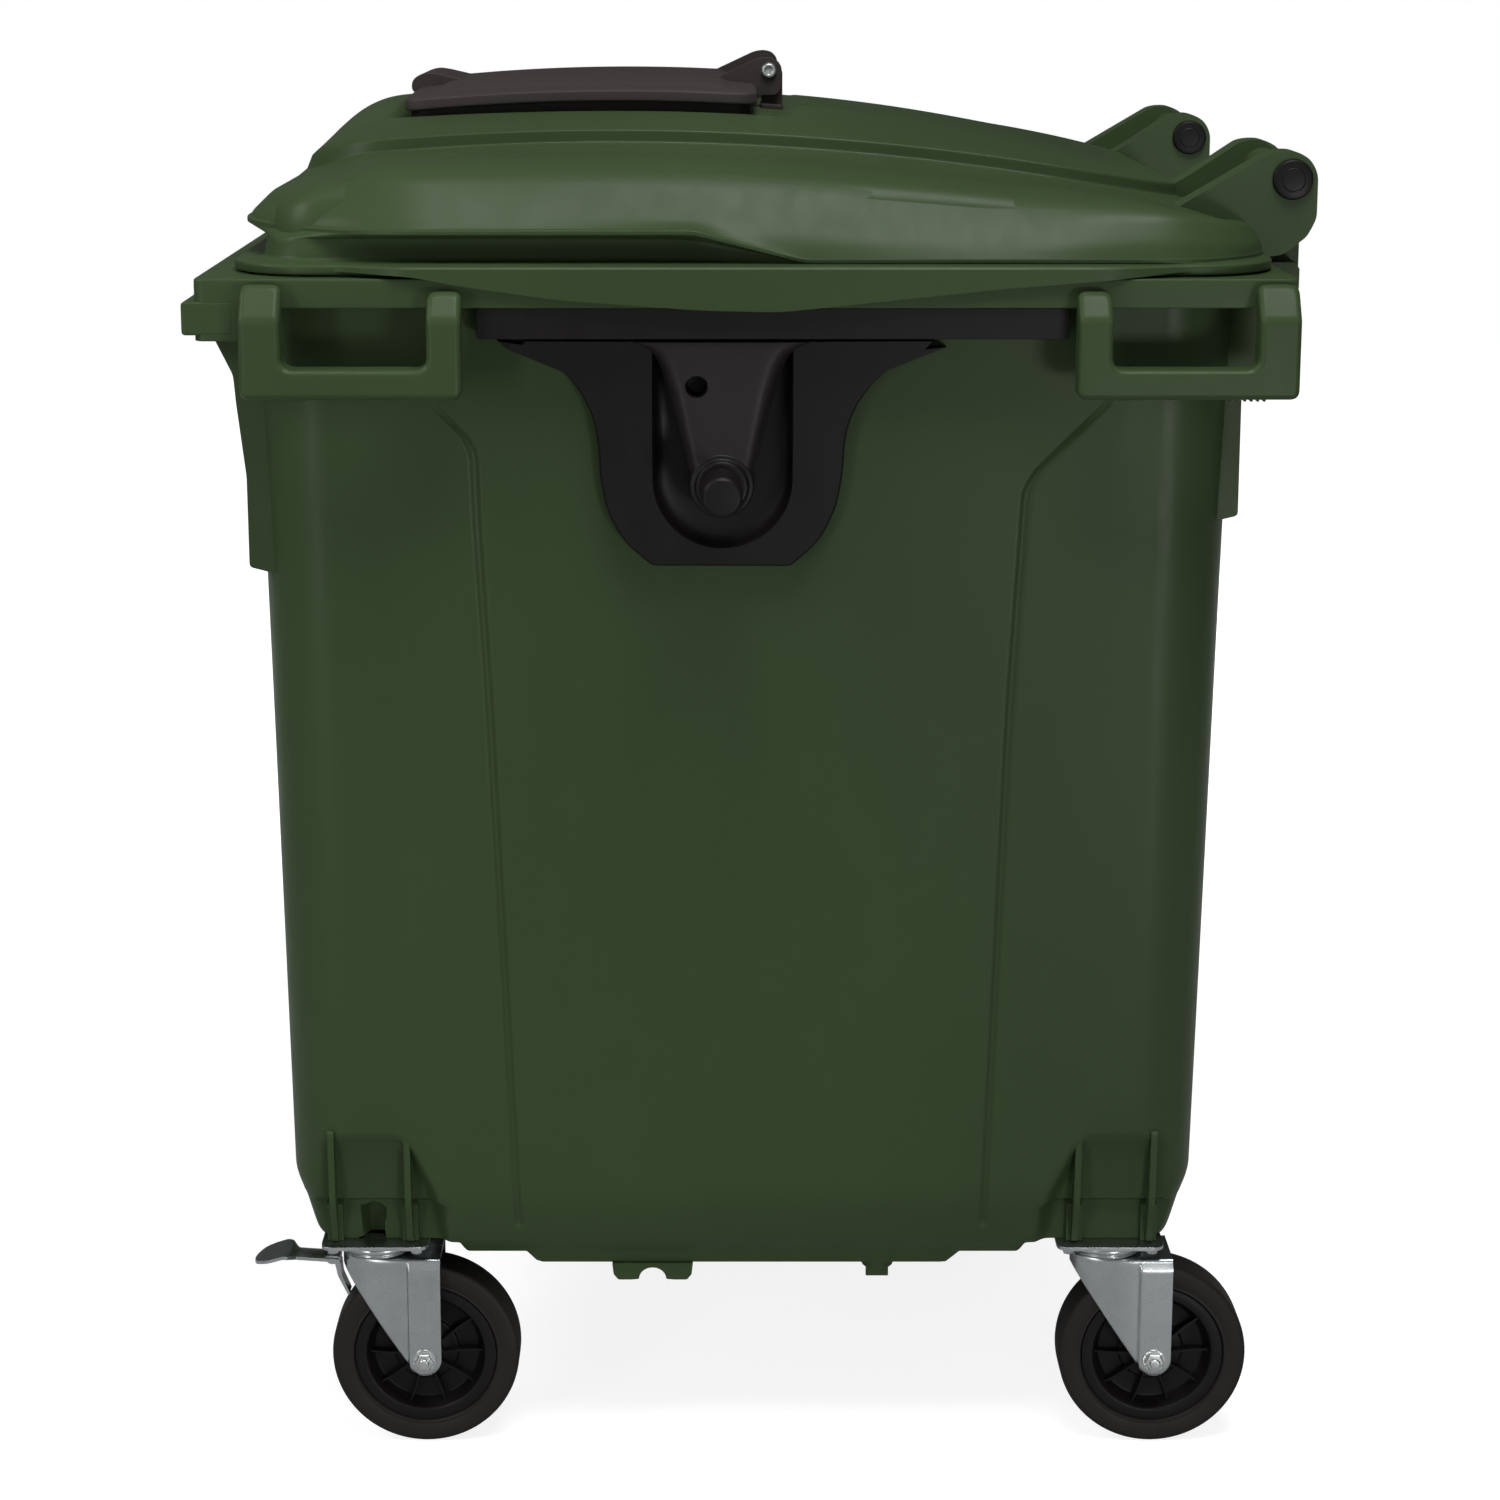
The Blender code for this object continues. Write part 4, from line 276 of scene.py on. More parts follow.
@dataclass
class Skin:
    """A mesh in the making: runs of rings and the faces between them."""

    points: list[Points] = field(default_factory=list)
    faces: list[list[int]] = field(default_factory=list)
    count: int = 0

    def loft(self, rings: ArrayLike, ends: Ends = Ends.FACE, around: bool = True) -> "Skin":
        """Adds a run of rings with a quad between each four neighbours.

        Args:
            rings: (R, M, 3) points.
            ends: What closes the first and last ring.
            around: Whether each ring closes on itself.

        Returns:
            This skin.
        """
        grid = np.asarray(rings, float)
        rows, columns = grid.shape[:2]
        index = self.count + np.arange(rows * columns).reshape(rows, columns)
        first, last = index[0].tolist(), index[-1].tolist()
        if around:
            index = np.hstack([index, index[:, :1]])
        if ends is Ends.LOOP:
            index = np.vstack([index, index[:1]])
        quads = np.stack([index[:-1, :-1], index[:-1, 1:], index[1:, 1:], index[1:, :-1]], -1)
        self.faces += quads.reshape(-1, 4).tolist()
        if ends is Ends.FACE:
            self.faces += [first, last]
        self.points.append(grid.reshape(-1, 3))
        self.count += rows * columns
        return self

    def build(
        self,
        name: str,
        body: str,
        slot: Slot,
        nodes: Sequence[str] = (),
        bevel: float = 0.0,
        segments: int = 3,
        thickness: float = 0.0,
        cuts: Sequence[tuple[Sequence[float], Sequence[float]]] = (),
        crease: float = 38.0,
    ) -> bpy.types.Object:
        """Makes the object: merges doubles, turns normals out, finishes edges.

        Args:
            name: The object's name.
            body: The body that it rides on.
            slot: The finish.
            nodes: The nodes that it stands for.
            bevel: Width of the rounding on sharp edges.
            segments: Faces in that rounding.
            thickness: Sheet thickness, put on inwards.
            cuts: Planes that slice it, each a point and a normal out of what stays.
            crease: Degrees from which an edge without a bevel is shaded sharp.

        Returns:
            The new object.
        """
        mesh = bpy.data.meshes.new(name)
        mesh.from_pydata(np.concatenate(self.points).tolist(), [], self.faces)
        work = bmesh.new()
        work.from_mesh(mesh)
        bmesh.ops.remove_doubles(work, verts=work.verts, dist=2e-6)
        bmesh.ops.dissolve_degenerate(work, dist=1e-6, edges=work.edges)
        for point, normal in cuts:
            geometry = [*work.verts, *work.edges, *work.faces]
            cut = bmesh.ops.bisect_plane(work, geom=geometry, plane_co=point, plane_no=normal, clear_outer=True)
            rim = [item for item in cut["geom_cut"] if isinstance(item, bmesh.types.BMEdge)]
            bmesh.ops.edgenet_fill(work, edges=rim)
        bmesh.ops.recalc_face_normals(work, faces=work.faces)
        work.to_mesh(mesh)
        work.free()
        mesh.shade_smooth()
        piece = bpy.data.objects.new(name, mesh)
        bpy.context.scene.collection.objects.link(piece)
        if thickness:
            wall = piece.modifiers.new("wall", "SOLIDIFY")
            wall.thickness = thickness
            wall.offset = -1.0
            wall.use_even_offset = True
        if bevel:
            edge = piece.modifiers.new("edge", "BEVEL")
            edge.width = bevel
            edge.segments = segments
            edge.limit_method = "ANGLE"
            edge.angle_limit = math.radians(32)
            edge.harden_normals = True
        else:
            mesh.set_sharp_from_angle(angle=math.radians(crease))
        mesh.materials.append(FINISHES[slot].made())
        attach(piece, body)
        if nodes:
            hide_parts(*nodes)
        log.info("%s: %d faces", name, len(mesh.polygons))
        return piece


# ---------------------------------------------------------------- finishes


@dataclass
class Graph:
    """A material's nodes, added and joined by name."""

    tree: bpy.types.NodeTree

    def add(self, kind: str, links: dict | None = None, **values: object) -> bpy.types.Node:
        """Adds a node, sets its values and joins its inputs.

        Args:
            kind: The node's type.
            links: Input name or number to the output socket that feeds it.
            values: Input values by name, or the node's own settings.

        Returns:
            The node.
        """
        node = self.tree.nodes.new(kind)
        for key, value in values.items():
            label = key.replace("_", " ")
            if hasattr(node, key):
                setattr(node, key, value)
            else:
                node.inputs[label].default_value = value
        for key, socket in (links or {}).items():
            self.tree.links.new(socket, node.inputs[key])
        return node

    def span(self, value: bpy.types.NodeSocket, low: float, high: float, start: float, end: float):
        """A value carried from low..high to start..end, kept inside it.

        Args:
            value: The socket that is read.
            low: Its low mark.
            high: Its high mark.
            start: What low becomes.
            end: What high becomes.

        Returns:
            The output socket.
        """
        node = self.add("ShaderNodeMapRange", {0: value})
        for key, number in zip((1, 2, 3, 4), (low, high, start, end)):
            node.inputs[key].default_value = number
        return node.outputs[0]


def shade(colour: Sequence[float], factor: float) -> tuple[float, float, float, float]:
    """A colour made lighter or darker by a factor, with full alpha."""
    return (colour[0] * factor, colour[1] * factor, colour[2] * factor, 1.0)


@dataclass(frozen=True)
class Moulded:
    """Moulded plastic or rubber: fine grain, cloudy colour, scuffs and worn edges."""

    name: str
    colour: tuple[float, float, float]
    rough: float
    specular: float
    grain: float
    bump: float
    cloud: float = 0.10
    wear: float = 0.25
    stretch: tuple[float, float, float] = (1.0, 1.0, 0.35)

    def made(self) -> bpy.types.Material:
        """The material, made once and then shared.

        Returns:
            A material whose colour drifts by cloud, whose roughness follows a
            scuff pattern, and whose bump is a grain of the given scale.
        """
        known = bpy.data.materials.get(self.name)
        if known:
            return known
        material = bpy.data.materials.new(self.name)
        material.use_nodes = True
        graph = Graph(material.node_tree)
        shader = material.node_tree.nodes["Principled BSDF"]
        place = graph.add("ShaderNodeTexCoord").outputs["Object"]
        long = graph.add("ShaderNodeMapping", {"Vector": place}, Scale=self.stretch).outputs[0]
        fine = graph.add("ShaderNodeTexNoise", {"Vector": place}, Scale=self.grain, Detail=3.0)
        soft = graph.add("ShaderNodeTexNoise", {"Vector": long}, Scale=2.6, Detail=4.0)
        scuff = graph.add("ShaderNodeTexNoise", {"Vector": long}, Scale=46.0, Detail=6.0, Roughness=0.7)
        drift = graph.span(soft.outputs[0], 0.3, 0.7, 0.0, 1.0)
        body = graph.add("ShaderNodeMix", {0: drift}, data_type="RGBA")
        body.inputs[6].default_value = shade(self.colour, 1.0 - self.cloud)
        body.inputs[7].default_value = shade(self.colour, 1.0 + self.cloud)
        shape = graph.add("ShaderNodeNewGeometry").outputs["Pointiness"]
        edge = graph.span(shape, 0.53, 0.62, 0.0, self.wear)
        mark = graph.span(scuff.outputs[0], 0.45, 0.75, 0.25, 1.0)
        worn = graph.add("ShaderNodeMath", {0: edge, 1: mark}, operation="MULTIPLY").outputs[0]
        final = graph.add("ShaderNodeMix", {0: worn, 6: body.outputs[2]}, data_type="RGBA")
        final.inputs[7].default_value = shade(self.colour, 2.2)
        rough = graph.span(scuff.outputs[0], 0.3, 0.7, self.rough - 0.05, self.rough + 0.07)
        relief = graph.add("ShaderNodeBump", {"Height": fine.outputs[0]}, Strength=self.bump, Distance=0.0004)
        material.node_tree.links.new(final.outputs[2], shader.inputs["Base Color"])
        material.node_tree.links.new(rough, shader.inputs["Roughness"])
        material.node_tree.links.new(relief.outputs[0], shader.inputs["Normal"])
        shader.inputs["Specular IOR Level"].default_value = self.specular
        return material


@dataclass(frozen=True)
class Plated:
    """Plated steel: faint rolling lines and dull patches."""

    name: str
    colour: tuple[float, float, float]
    rough: float
    patch: float = 0.12

    def made(self) -> bpy.types.Material:
        """The material, made once and then shared.

        Returns:
            A metal whose colour and roughness drift in patches, with fine lines
            along its height.
        """
        known = bpy.data.materials.get(self.name)
        if known:
            return known
        material = bpy.data.materials.new(self.name)
        material.use_nodes = True
        graph = Graph(material.node_tree)
        shader = material.node_tree.nodes["Principled BSDF"]
        place = graph.add("ShaderNodeTexCoord").outputs["Object"]
        long = graph.add("ShaderNodeMapping", {"Vector": place}, Scale=(1.0, 1.0, 0.08)).outputs[0]
        lines = graph.add("ShaderNodeTexNoise", {"Vector": long}, Scale=900.0, Detail=2.0)
        patch = graph.add("ShaderNodeTexNoise", {"Vector": place}, Scale=38.0, Detail=5.0)
        drift = graph.span(patch.outputs[0], 0.3, 0.7, 0.0, 1.0)
        body = graph.add("ShaderNodeMix", {0: drift}, data_type="RGBA")
        body.inputs[6].default_value = shade(self.colour, 1.0 - self.patch)
        body.inputs[7].default_value = shade(self.colour, 1.0 + self.patch)
        rough = graph.span(patch.outputs[0], 0.3, 0.7, self.rough + 0.08, self.rough - 0.06)
        relief = graph.add("ShaderNodeBump", {"Height": lines.outputs[0]}, Strength=0.12, Distance=0.0002)
        material.node_tree.links.new(body.outputs[2], shader.inputs["Base Color"])
        material.node_tree.links.new(rough, shader.inputs["Roughness"])
        material.node_tree.links.new(relief.outputs[0], shader.inputs["Normal"])
        shader.inputs["Metallic"].default_value = 1.0
        return material


FINISHES: dict[Slot, Moulded | Plated] = {
    Slot.GREEN: Moulded("olive_green_plastic", (0.0290, 0.0470, 0.0190), 0.37, 0.09, 950.0, 0.05),
    Slot.BLACK: Moulded("black_moulding", (0.0052, 0.0042, 0.0043), 0.42, 0.13, 700.0, 0.08),
    Slot.GREY: Moulded("charcoal_moulding", (0.0300, 0.0258, 0.0242), 0.48, 0.10, 500.0, 0.12),
    Slot.RUBBER: Moulded("black_rubber", (0.0088, 0.0070, 0.0062), 0.62, 0.20, 420.0, 0.50, 0.16),
    Slot.ZINC: Plated("zinc_plate", (0.37, 0.395, 0.405), 0.28),
    Slot.BRIGHT: Plated("bright_turned_steel", (0.46, 0.485, 0.48), 0.34, 0.08),
}
# A lighter copy of the black moulding for the wedge: painted sheen where the wedge's face catches the light
SHEEN_PAINTED_BLACK = Moulded("black_moulding_painted_sheen", (0.0135, 0.0113, 0.0113), 0.46, 0.13, 700.0, 0.08)


# ---------------------------------------------------------------- tub


@dataclass
class Tub:
    """The tapered tub: one shell, with its rim, housings, grip, channels and posts."""

    middle: float = -0.006
    wall: float = 0.005
    rim_z: float = 1.263
    belly: tuple = (0.500, 0.444, 0.050, 0.2185)
    toe: tuple = (0.518, 0.4585, 0.062, 0.240)
    heel: tuple = (0.5275, 0.4682, 0.070, 0.2795)
    knee: tuple = (0.530, 0.4768, 0.075, 0.300)
    mouth: tuple = (0.5748, 0.48845, 0.075, 1.2585)
    rim: tuple = (0.620, 0.5317, 0.010, 1.263)
    skirt: float = 0.028
    skirt_wall: float = 0.0045
    keel_drop: float = 0.0145
    keel_half_y: float = 0.214
    seat_z: float = 0.233
    seat_half_x: float = 0.377
    seat_half_y: float = 0.300
    groove_half: float = 0.0062
    groove_depth: float = 0.0036
    corner_steps: int = 15
    end_steps: int = 22

    def groove_lines(self, z: Points) -> tuple[Points, Points]:
        """Where the front and rear groove of the side wall run at a height.

        Args:
            z: Heights.

        Returns:
            The Y of the front and of the rear groove.
        """
        front = np.interp(
            z, [0.252, 0.8315, 1.0158, 1.0844, 1.0984, 1.1344], [-0.2411, -0.2623, -0.2717, -0.2737, -0.2789, -0.3125]
        )
        rear = np.interp(
            z, [0.2575, 0.8315, 1.0461, 1.0663, 1.1344], [0.2467, 0.2620, 0.2728, 0.2824, 0.3492]
        )
        return front, rear

    def columns(self, rows: Points) -> Points:
        """The right half of each ring, from the middle of the front to the rear's.

        Formula: a rounded rectangle of half sizes a and b and corner radius r, as
        a front run, a quarter circle, a side run whose points crowd round the
        groove lines, a quarter circle and a rear run.

        Args:
            rows: (R, 4) half X, half Y, corner radius and Z of each ring.

        Returns:
            (R, M, 3) points.
        """
        a, b, r, z = (rows[:, k : k + 1] for k in range(4))
        share = np.linspace(0.0, 1.0, self.end_steps)[None]
        front_x = (a - r) * share
        angle = np.linspace(-0.5 * np.pi, 0.0, self.corner_steps + 2)[None, 1:-1]
        near_x, near_y = a - r + r * np.cos(angle), r - b + r * np.sin(angle)
        front, rear = self.groove_lines(z)
        reach = self.groove_half * 1.25
        knots = np.hstack([r - b, front - reach - self.middle, front + reach - self.middle,
                           rear - reach - self.middle, rear + reach - self.middle, b - r])
        runs = []
        for k, count in enumerate((52, 10, 70, 10, 52)):
            t = np.linspace(0.0, 1.0, count, endpoint=k == 4)[None]
            runs.append(knots[:, k : k + 1] * (1 - t) + knots[:, k + 1 : k + 2] * t)
        side_y = np.hstack(runs)
        x = np.hstack([front_x, near_x, np.broadcast_to(a, side_y.shape), near_x[:, ::-1], front_x[:, ::-1]])
        y = np.hstack([np.broadcast_to(-b, front_x.shape), near_y, side_y, -near_y[:, ::-1],
                       np.broadcast_to(b, front_x.shape)])
        return np.stack([x, y + self.middle, np.broadcast_to(z, x.shape)], -1)

    def pocket_x(self, y: Points, z: Points, proud: float) -> Points:
        """The X that the housing pocket's face may not pass.

        Formula: a sloped face above the step, an upright one below it, and a
        ramp of slope 1.5 past the pocket's slanted end.

        Args:
            y: Y from the tub's middle, as a distance.
            z: Heights.
            proud: Moves the whole face in or out.

        Returns:
            The limit at each point.
        """
        face = np.interp(z, [0.2330, 0.2775, 0.2805, 0.3380, 0.3500, 0.3640, 0.3760], [0.5015, 0.5025, 0.5110, 0.5205, 0.5265, 0.5400, 0.5700])
        end = 0.3520 - (0.340 - z) * 0.40 + 0.010 * smooth(0.30, 0.235, z)
        return face + soft_max(0.0, (end - np.abs(y)) * 1.35, 0.0030) - 0.002 + proud

    def leg_y(self, z: Points) -> Points:
        """How far from the middle the corners' legs reach below the pockets' step."""
        return np.interp(z, [0.2330, 0.2775, 0.2805, 0.3000], [0.4505, 0.4635, 0.4690, 0.5200])

    def carved(self, grid: Points, inner: bool) -> Points:
        """The shell's points with pockets, seats, keel and grooves worked in.

        Args:
            grid: (R, M, 3) points.
            inner: True for the inside, which keeps clear of the pockets and has
                neither keel nor grooves.

        Returns:
            The moved points.
        """
        x, y, z = grid[..., 0].copy(), grid[..., 1] - self.middle, grid[..., 2].copy()
        low = z < 0.40
        limit = self.pocket_x(y, z, -0.006 if inner else 0.0)
        x = np.where(low, soft_min(x, limit, 0.0020), x)
        corner = smooth(self.seat_half_x - 0.003, self.seat_half_x + 0.003, x)
        corner = corner * smooth(self.seat_half_y - 0.010, self.seat_half_y + 0.006, np.abs(y))
        reach = np.where(corner * low > 0.5, soft_min(np.abs(y), self.leg_y(z), 0.0008), np.abs(y))
        y = y if inner else np.sign(y) * reach
        if inner:
            z = z + corner * np.maximum(0.0, 0.290 - z)
            return np.stack([x, y + self.middle, z], -1)
        keel = (1 - smooth(self.keel_half_y, self.keel_half_y + 0.020, np.abs(y))) * (1 - smooth(0.4955, 0.4998, x))
        flat = z < self.belly[3] + 0.001
        z = np.where(flat, z - keel * self.keel_drop, z)
        z = z + corner * np.maximum(0.0, self.seat_z - z)
        front, rear = self.groove_lines(z)
        fade = smooth(0.252, 0.262, z) * (1 - smooth(1.128, 1.1344, z))
        for line in (front, rear):
            off = np.clip((grid[..., 1] - line) / self.groove_half, -1.0, 1.0)
            x = x - self.groove_depth * np.cos(0.5 * np.pi * off) ** 2 * fade * (x > 0.5)
        slot_y = (grid[..., 1] + 0.3965) / 0.0110
        slot_z = (z - 0.2515) / 0.0205
        slot = (1 - smooth(0.86, 1.06, np.abs(slot_y))) * (1 - smooth(0.9, 1.08, slot_z + 0.30 * slot_y**2))
        x = x - 0.022 * slot * (x > 0.49) * (z > self.seat_z - 1e-4) * (z < 0.30)
        return np.stack([x, y + self.middle, z], -1)

    def dropped_skirt(self, grid: Points) -> Points:
        """The skirt's lower rows pulled down at the front and its corners.

        Formula: z falls by 32 mm times a soft step in Y, front corner included.

        Args:
            grid: (R, M, 3) points of the skirt's lower edge.

        Returns:
            The moved points.
        """
        moved = grid.copy()
        drop = 0.032 * (1 - smooth(-0.494, -0.486, grid[..., 1]))
        moved[..., 2] -= drop * (grid[..., 2] < 1.245)
        return moved

    def shell(self) -> bpy.types.Object:
        """The tub's outside, rim and inside in one closed skin.

        Returns:
            The tub's object.
        """
        a, b, r, z = self.knee
        top = self.mouth
        calm, brow = (tuple(p + (q - p) * (height - z) / (top[3] - z) for p, q in zip(self.knee, top))
                      for height in (0.365, 0.960))
        ra, rb, rr, rz = self.rim
        w = self.skirt_wall
        keys = [self.belly, self.toe, self.heel, self.knee, calm, brow, top,
                (ra - w, rb - w, rr - w, rz - w), (ra - w, rb - w, rr - w, rz - self.skirt),
                (ra, rb, rr, rz - self.skirt), self.rim, (0.570, 0.4835, 0.070, rz)]
        sizes = [0, 0.010, 0.012, 0.014, 0, 0, 0.004, 0.003, 0.0015, 0.0015, 0.003, 0]
        path = bent(keys, sizes, 4)
        spacing = np.select([path[:-1, 3] < 0.3649, path[:-1, 3] < 0.9599], [0.0040, 0.040], 0.0110)
        outer = self.columns(refined(path, spacing))
        under = outer[:1]
        centre = np.array([0.0, self.middle, self.belly[3]])
        shares = np.array([0.0, 0.25, 0.5, 0.7, 0.8, 0.86, 0.90, 0.93, 0.955, 0.972, 0.984, 0.992, 0.997])
        bottom = centre + (under - centre) * shares[:, None, None]
        outer = self.carved(np.concatenate([bottom, outer]), False)
        outer = self.dropped_skirt(outer)
        inside = [(0.570, 0.4835, 0.070, rz), (0.5262, 0.4718, 0.070, 0.365), (0.525, 0.4718, 0.070, 0.300),
                  (0.521, 0.462, 0.060, 0.262), (0.490, 0.434, 0.050, 0.2235)]
        inner = self.columns(refined(bent(inside, [0, 0, 0.01, 0.01, 0], 4), 0.09))
        floor = inner[-1:] * 1.0
        low = np.array([0.0, self.middle, 0.2235])
        steps = np.array([0.95, 0.9, 0.85, 0.8, 0.75, 0.6, 0.3, 0.0])
        inner = self.carved(np.concatenate([inner, low + (floor - low) * steps[:, None, None]]), True)
        half = np.concatenate([outer, inner])
        skin = Skin()
        for side in SIDES.values():
            skin.loft(flipped(half, side), Ends.OPEN, around=False)
        return skin.build("tub_shell", "container", Slot.GREEN, ["tub"])

    def ribs(self) -> bpy.types.Object:
        """Two upright ribs in each of the four housing pockets, with a fillet each.

        Returns:
            The ribs' object.
        """
        skin = Skin()
        outline = np.array([(0.488, 0.2331), (0.5105, 0.2331), (0.5200, 0.2600), (0.5268, 0.2790), (0.5290, 0.3050),
                            (0.5318, 0.3520), (0.5322, 0.3640), (0.520, 0.3640), (0.488, 0.290)])
        shape = rounded(outline, [0.001, 0.003, 0.008, 0.01, 0.01, 0.004, 0.003, 0.001, 0.001], 3)
        for side in SIDES.values():
            for y in (-0.4367, -0.3573, 0.3448, 0.4235):
                half = 0.0033
                ring = drawn(shape, Axis.Y, y - half, y + half)
                skin.loft(flipped(ring, side))
                for along in (-1, 1):
                    foot = np.array([(0.496, 0.2331), (0.5065, 0.2331), (0.5065, 0.272), (0.500, 0.2785), (0.496, 0.2785)])
                    pad = drawn(foot, Axis.Y, y + along * 0.0032, y + along * 0.0085)
                    skin.loft(flipped(pad, side))
        return skin.build("housing_ribs", "container", Slot.GREEN, bevel=0.0012, segments=2)

    def channels(self) -> bpy.types.Object:
        """The stiffening channels below the handles at the four corners.

        Returns:
            The channels' object.
        """
        skin = Skin()
        front = np.array([(-0.5375, 1.2045), (-0.5150, 1.1580), (-0.5127, 1.1293), (-0.5044, 1.0555), (-0.5040, 0.9636),
                          (-0.470, 0.9550), (-0.470, 1.205)])
        rear = np.array([(0.5255, 1.2450), (0.5255, 1.1640), (0.4890, 1.1420), (0.4890, 1.1287), (0.4892, 1.0161),
                         (0.455, 1.0080), (0.455, 1.245)])
        for side in SIDES.values():
            for outline in (front, rear):
                ring = drawn(rounded(outline, 0.004, 3), Axis.X, 0.478, 0.528)
                skin.loft(flipped(ring, side))
        return skin.build("corner_channels", "container", Slot.GREEN, bevel=0.0022, segments=3)

    def grip(self) -> bpy.types.Object:
        """The front grip bar, whose ends run up into the rim's corners, and its gussets.

        Formula: front face and height go from (-0.5686, 1.196) to (-0.5497, 1.2087)
        by a soft step in |x|.

        Returns:
            The grip's object.
        """
        skin = Skin()
        half = np.concatenate([np.linspace(0.0, 0.49, 8)[:-1], np.linspace(0.49, 0.6204, 15)])
        rows = []
        for x in np.concatenate([-half[:0:-1], half]):
            share = float(smooth(0.49, 0.6204, abs(x)))
            front, low = -0.5686 + 0.0189 * share, 1.1960 + 0.0127 * share
            edge = rounded([(-0.500, low), (front, low), (front, low + 0.0325), (-0.500, low + 0.0325)], [0, 0.004, 0.004, 0], 4)
            rows.append([(x, y, z) for y, z in edge])
        skin.loft(np.array(rows))
        web = np.array([(-0.4900, 1.1975), (-0.5420, 1.1975), (-0.4900, 1.1300)])
        for x in (-0.425, -0.21, 0.0, 0.21, 0.425):
            skin.loft(drawn(web, Axis.X, x - 0.0025, x + 0.0025))
        return skin.build("front_grip", "container", Slot.GREEN, bevel=0.0030, segments=4)

    def posts(self) -> bpy.types.Object:
        """The two hinge posts behind the rim with their round knuckles.

        Returns:
            The posts' object.
        """
        skin = Skin()
        for side in SIDES.values():
            body = np.array([(0.5215, 1.2285), (0.5480, 1.2285), (0.5598, 1.2400), (0.5598, 1.3472), (0.5240, 1.3472),
                             (0.5215, 1.262)])
            skin.loft(flipped(drawn(rounded(body, 0.003, 3), Axis.X, 0.284, 0.423), side))
            ring = lathe(bent([(0.0102, 0.284), (0.0205, 0.284), (0.0205, 0.423), (0.0102, 0.423)], 0.0015, 3),
                         Axis.X, (0.5430, 1.3472), 40)
            skin.loft(flipped(ring, side), Ends.LOOP)
            foot = np.array([(0.5215, 1.2360), (0.5560, 1.2360), (0.5560, 1.2560), (0.5520, 1.2630), (0.5215, 1.2630)])
            skin.loft(flipped(drawn(foot, Axis.X, 0.255, 0.452), side))
        return skin.build("hinge_posts", "container", Slot.GREEN, bevel=0.0016, segments=2)

    def lugs(self) -> bpy.types.Object:
        """The saddle lugs under the keel, each with a round notch.

        Returns:
            The lugs' object.
        """
        skin = Skin()
        angle = np.linspace(0.0, np.pi, 13)
        arch = np.stack([-0.1015 + 0.0145 * np.cos(angle), 0.1862 + 0.0130 * np.sin(angle)], -1)
        outline = np.concatenate([[(-0.0585, 0.2050), (-0.0600, 0.1915), (-0.0650, 0.1855), (-0.0780, 0.1855)], arch,
                                  [(-0.1250, 0.1855), (-0.1380, 0.1855), (-0.1430, 0.1915), (-0.1445, 0.2050)]])
        for side in SIDES.values():
            skin.loft(flipped(drawn(outline, Axis.X, 0.460, 0.500), side))
        return skin.build("saddle_lugs", "container", Slot.GREEN, bevel=0.0012, segments=2)

    def make(self) -> list[bpy.types.Object]:
        """Every piece of the tub."""
        return [self.shell(), self.ribs(), self.channels(), self.grip(), self.posts(), self.lugs()]


@dataclass
class SideHandles:
    """The four loop handles on the rim's sides, with their teeth below."""

    inner_x: float = 0.6203
    outer_x: float = 0.6550
    slope_z: float = 1.2270
    head_x: float = 0.6335
    bar_top: float = 1.1795
    low: float = 1.1505

    def outline(self, tip: float, inner: float, tip_window: float, inner_window: float) -> Points:
        """The U of a handle in Y and Z, from its tip post to its inner post.

        Args:
            tip: Y of the outer face of the tip post.
            inner: Y of the outer face of the inner post.
            tip_window: Y of the window's side at the tip post.
            inner_window: Y of the window's side at the inner post.

        Returns:
            The closed outline.
        """
        corners = [(tip, 1.2590), (tip, self.low), (inner, self.low), (inner, 1.2520), (inner_window, 1.2520),
                   (inner_window, self.bar_top), (tip_window, self.bar_top), (tip_window, 1.2590)]
        return rounded(corners, [0.0095, 0.0095, 0.0095, 0.0095, 0.010, 0.0120, 0.0120, 0.010], 6)

    def make(self) -> list[bpy.types.Object]:
        """Every handle, each with the slope at its head and a row of teeth.

        Returns:
            The four handles.
        """
        made = []
        spans = {"front": (-0.4910, -0.2785, -0.4510, -0.3115), "rear": (0.5240, 0.3115, 0.4840, 0.3445)}
        for end, span in spans.items():
            shape = self.outline(*span)
            rise, run = 1.258 - self.slope_z, self.outer_x - self.head_x
            for side_name, side in SIDES.items():
                skin = Skin()
                skin.loft(flipped(drawn(shape, Axis.X, self.inner_x, self.outer_x), side))
                teeth = Skin()
                step = 0.0062
                for start in (min(span[0], span[1]) + 0.028, max(span[0], span[1]) - 0.066):
                    for k in range(6):
                        y = start + k * step
                        tooth = np.array([(y, self.low + 0.001), (y + 0.0040, self.low + 0.001),
                                          (y + 0.0028, self.low - 0.0022), (y + 0.0012, self.low - 0.0022)])
                        teeth.loft(flipped(drawn(tooth, Axis.X, self.inner_x + 0.003, self.outer_x - 0.008), side))
                name = f"side_handle_{end}_{side_name}"
                facet = ((side * self.outer_x, 0.0, self.slope_z), (side * rise, 0.0, run))
                made.append(skin.build(f"handle_{end}_{side_name}", "container", Slot.GREEN, [name], 0.0072, 5,
                                       cuts=[facet]))
                made.append(teeth.build(f"teeth_{end}_{side_name}", "container", Slot.GREEN))
        return made


# ---------------------------------------------------------------- trunnions


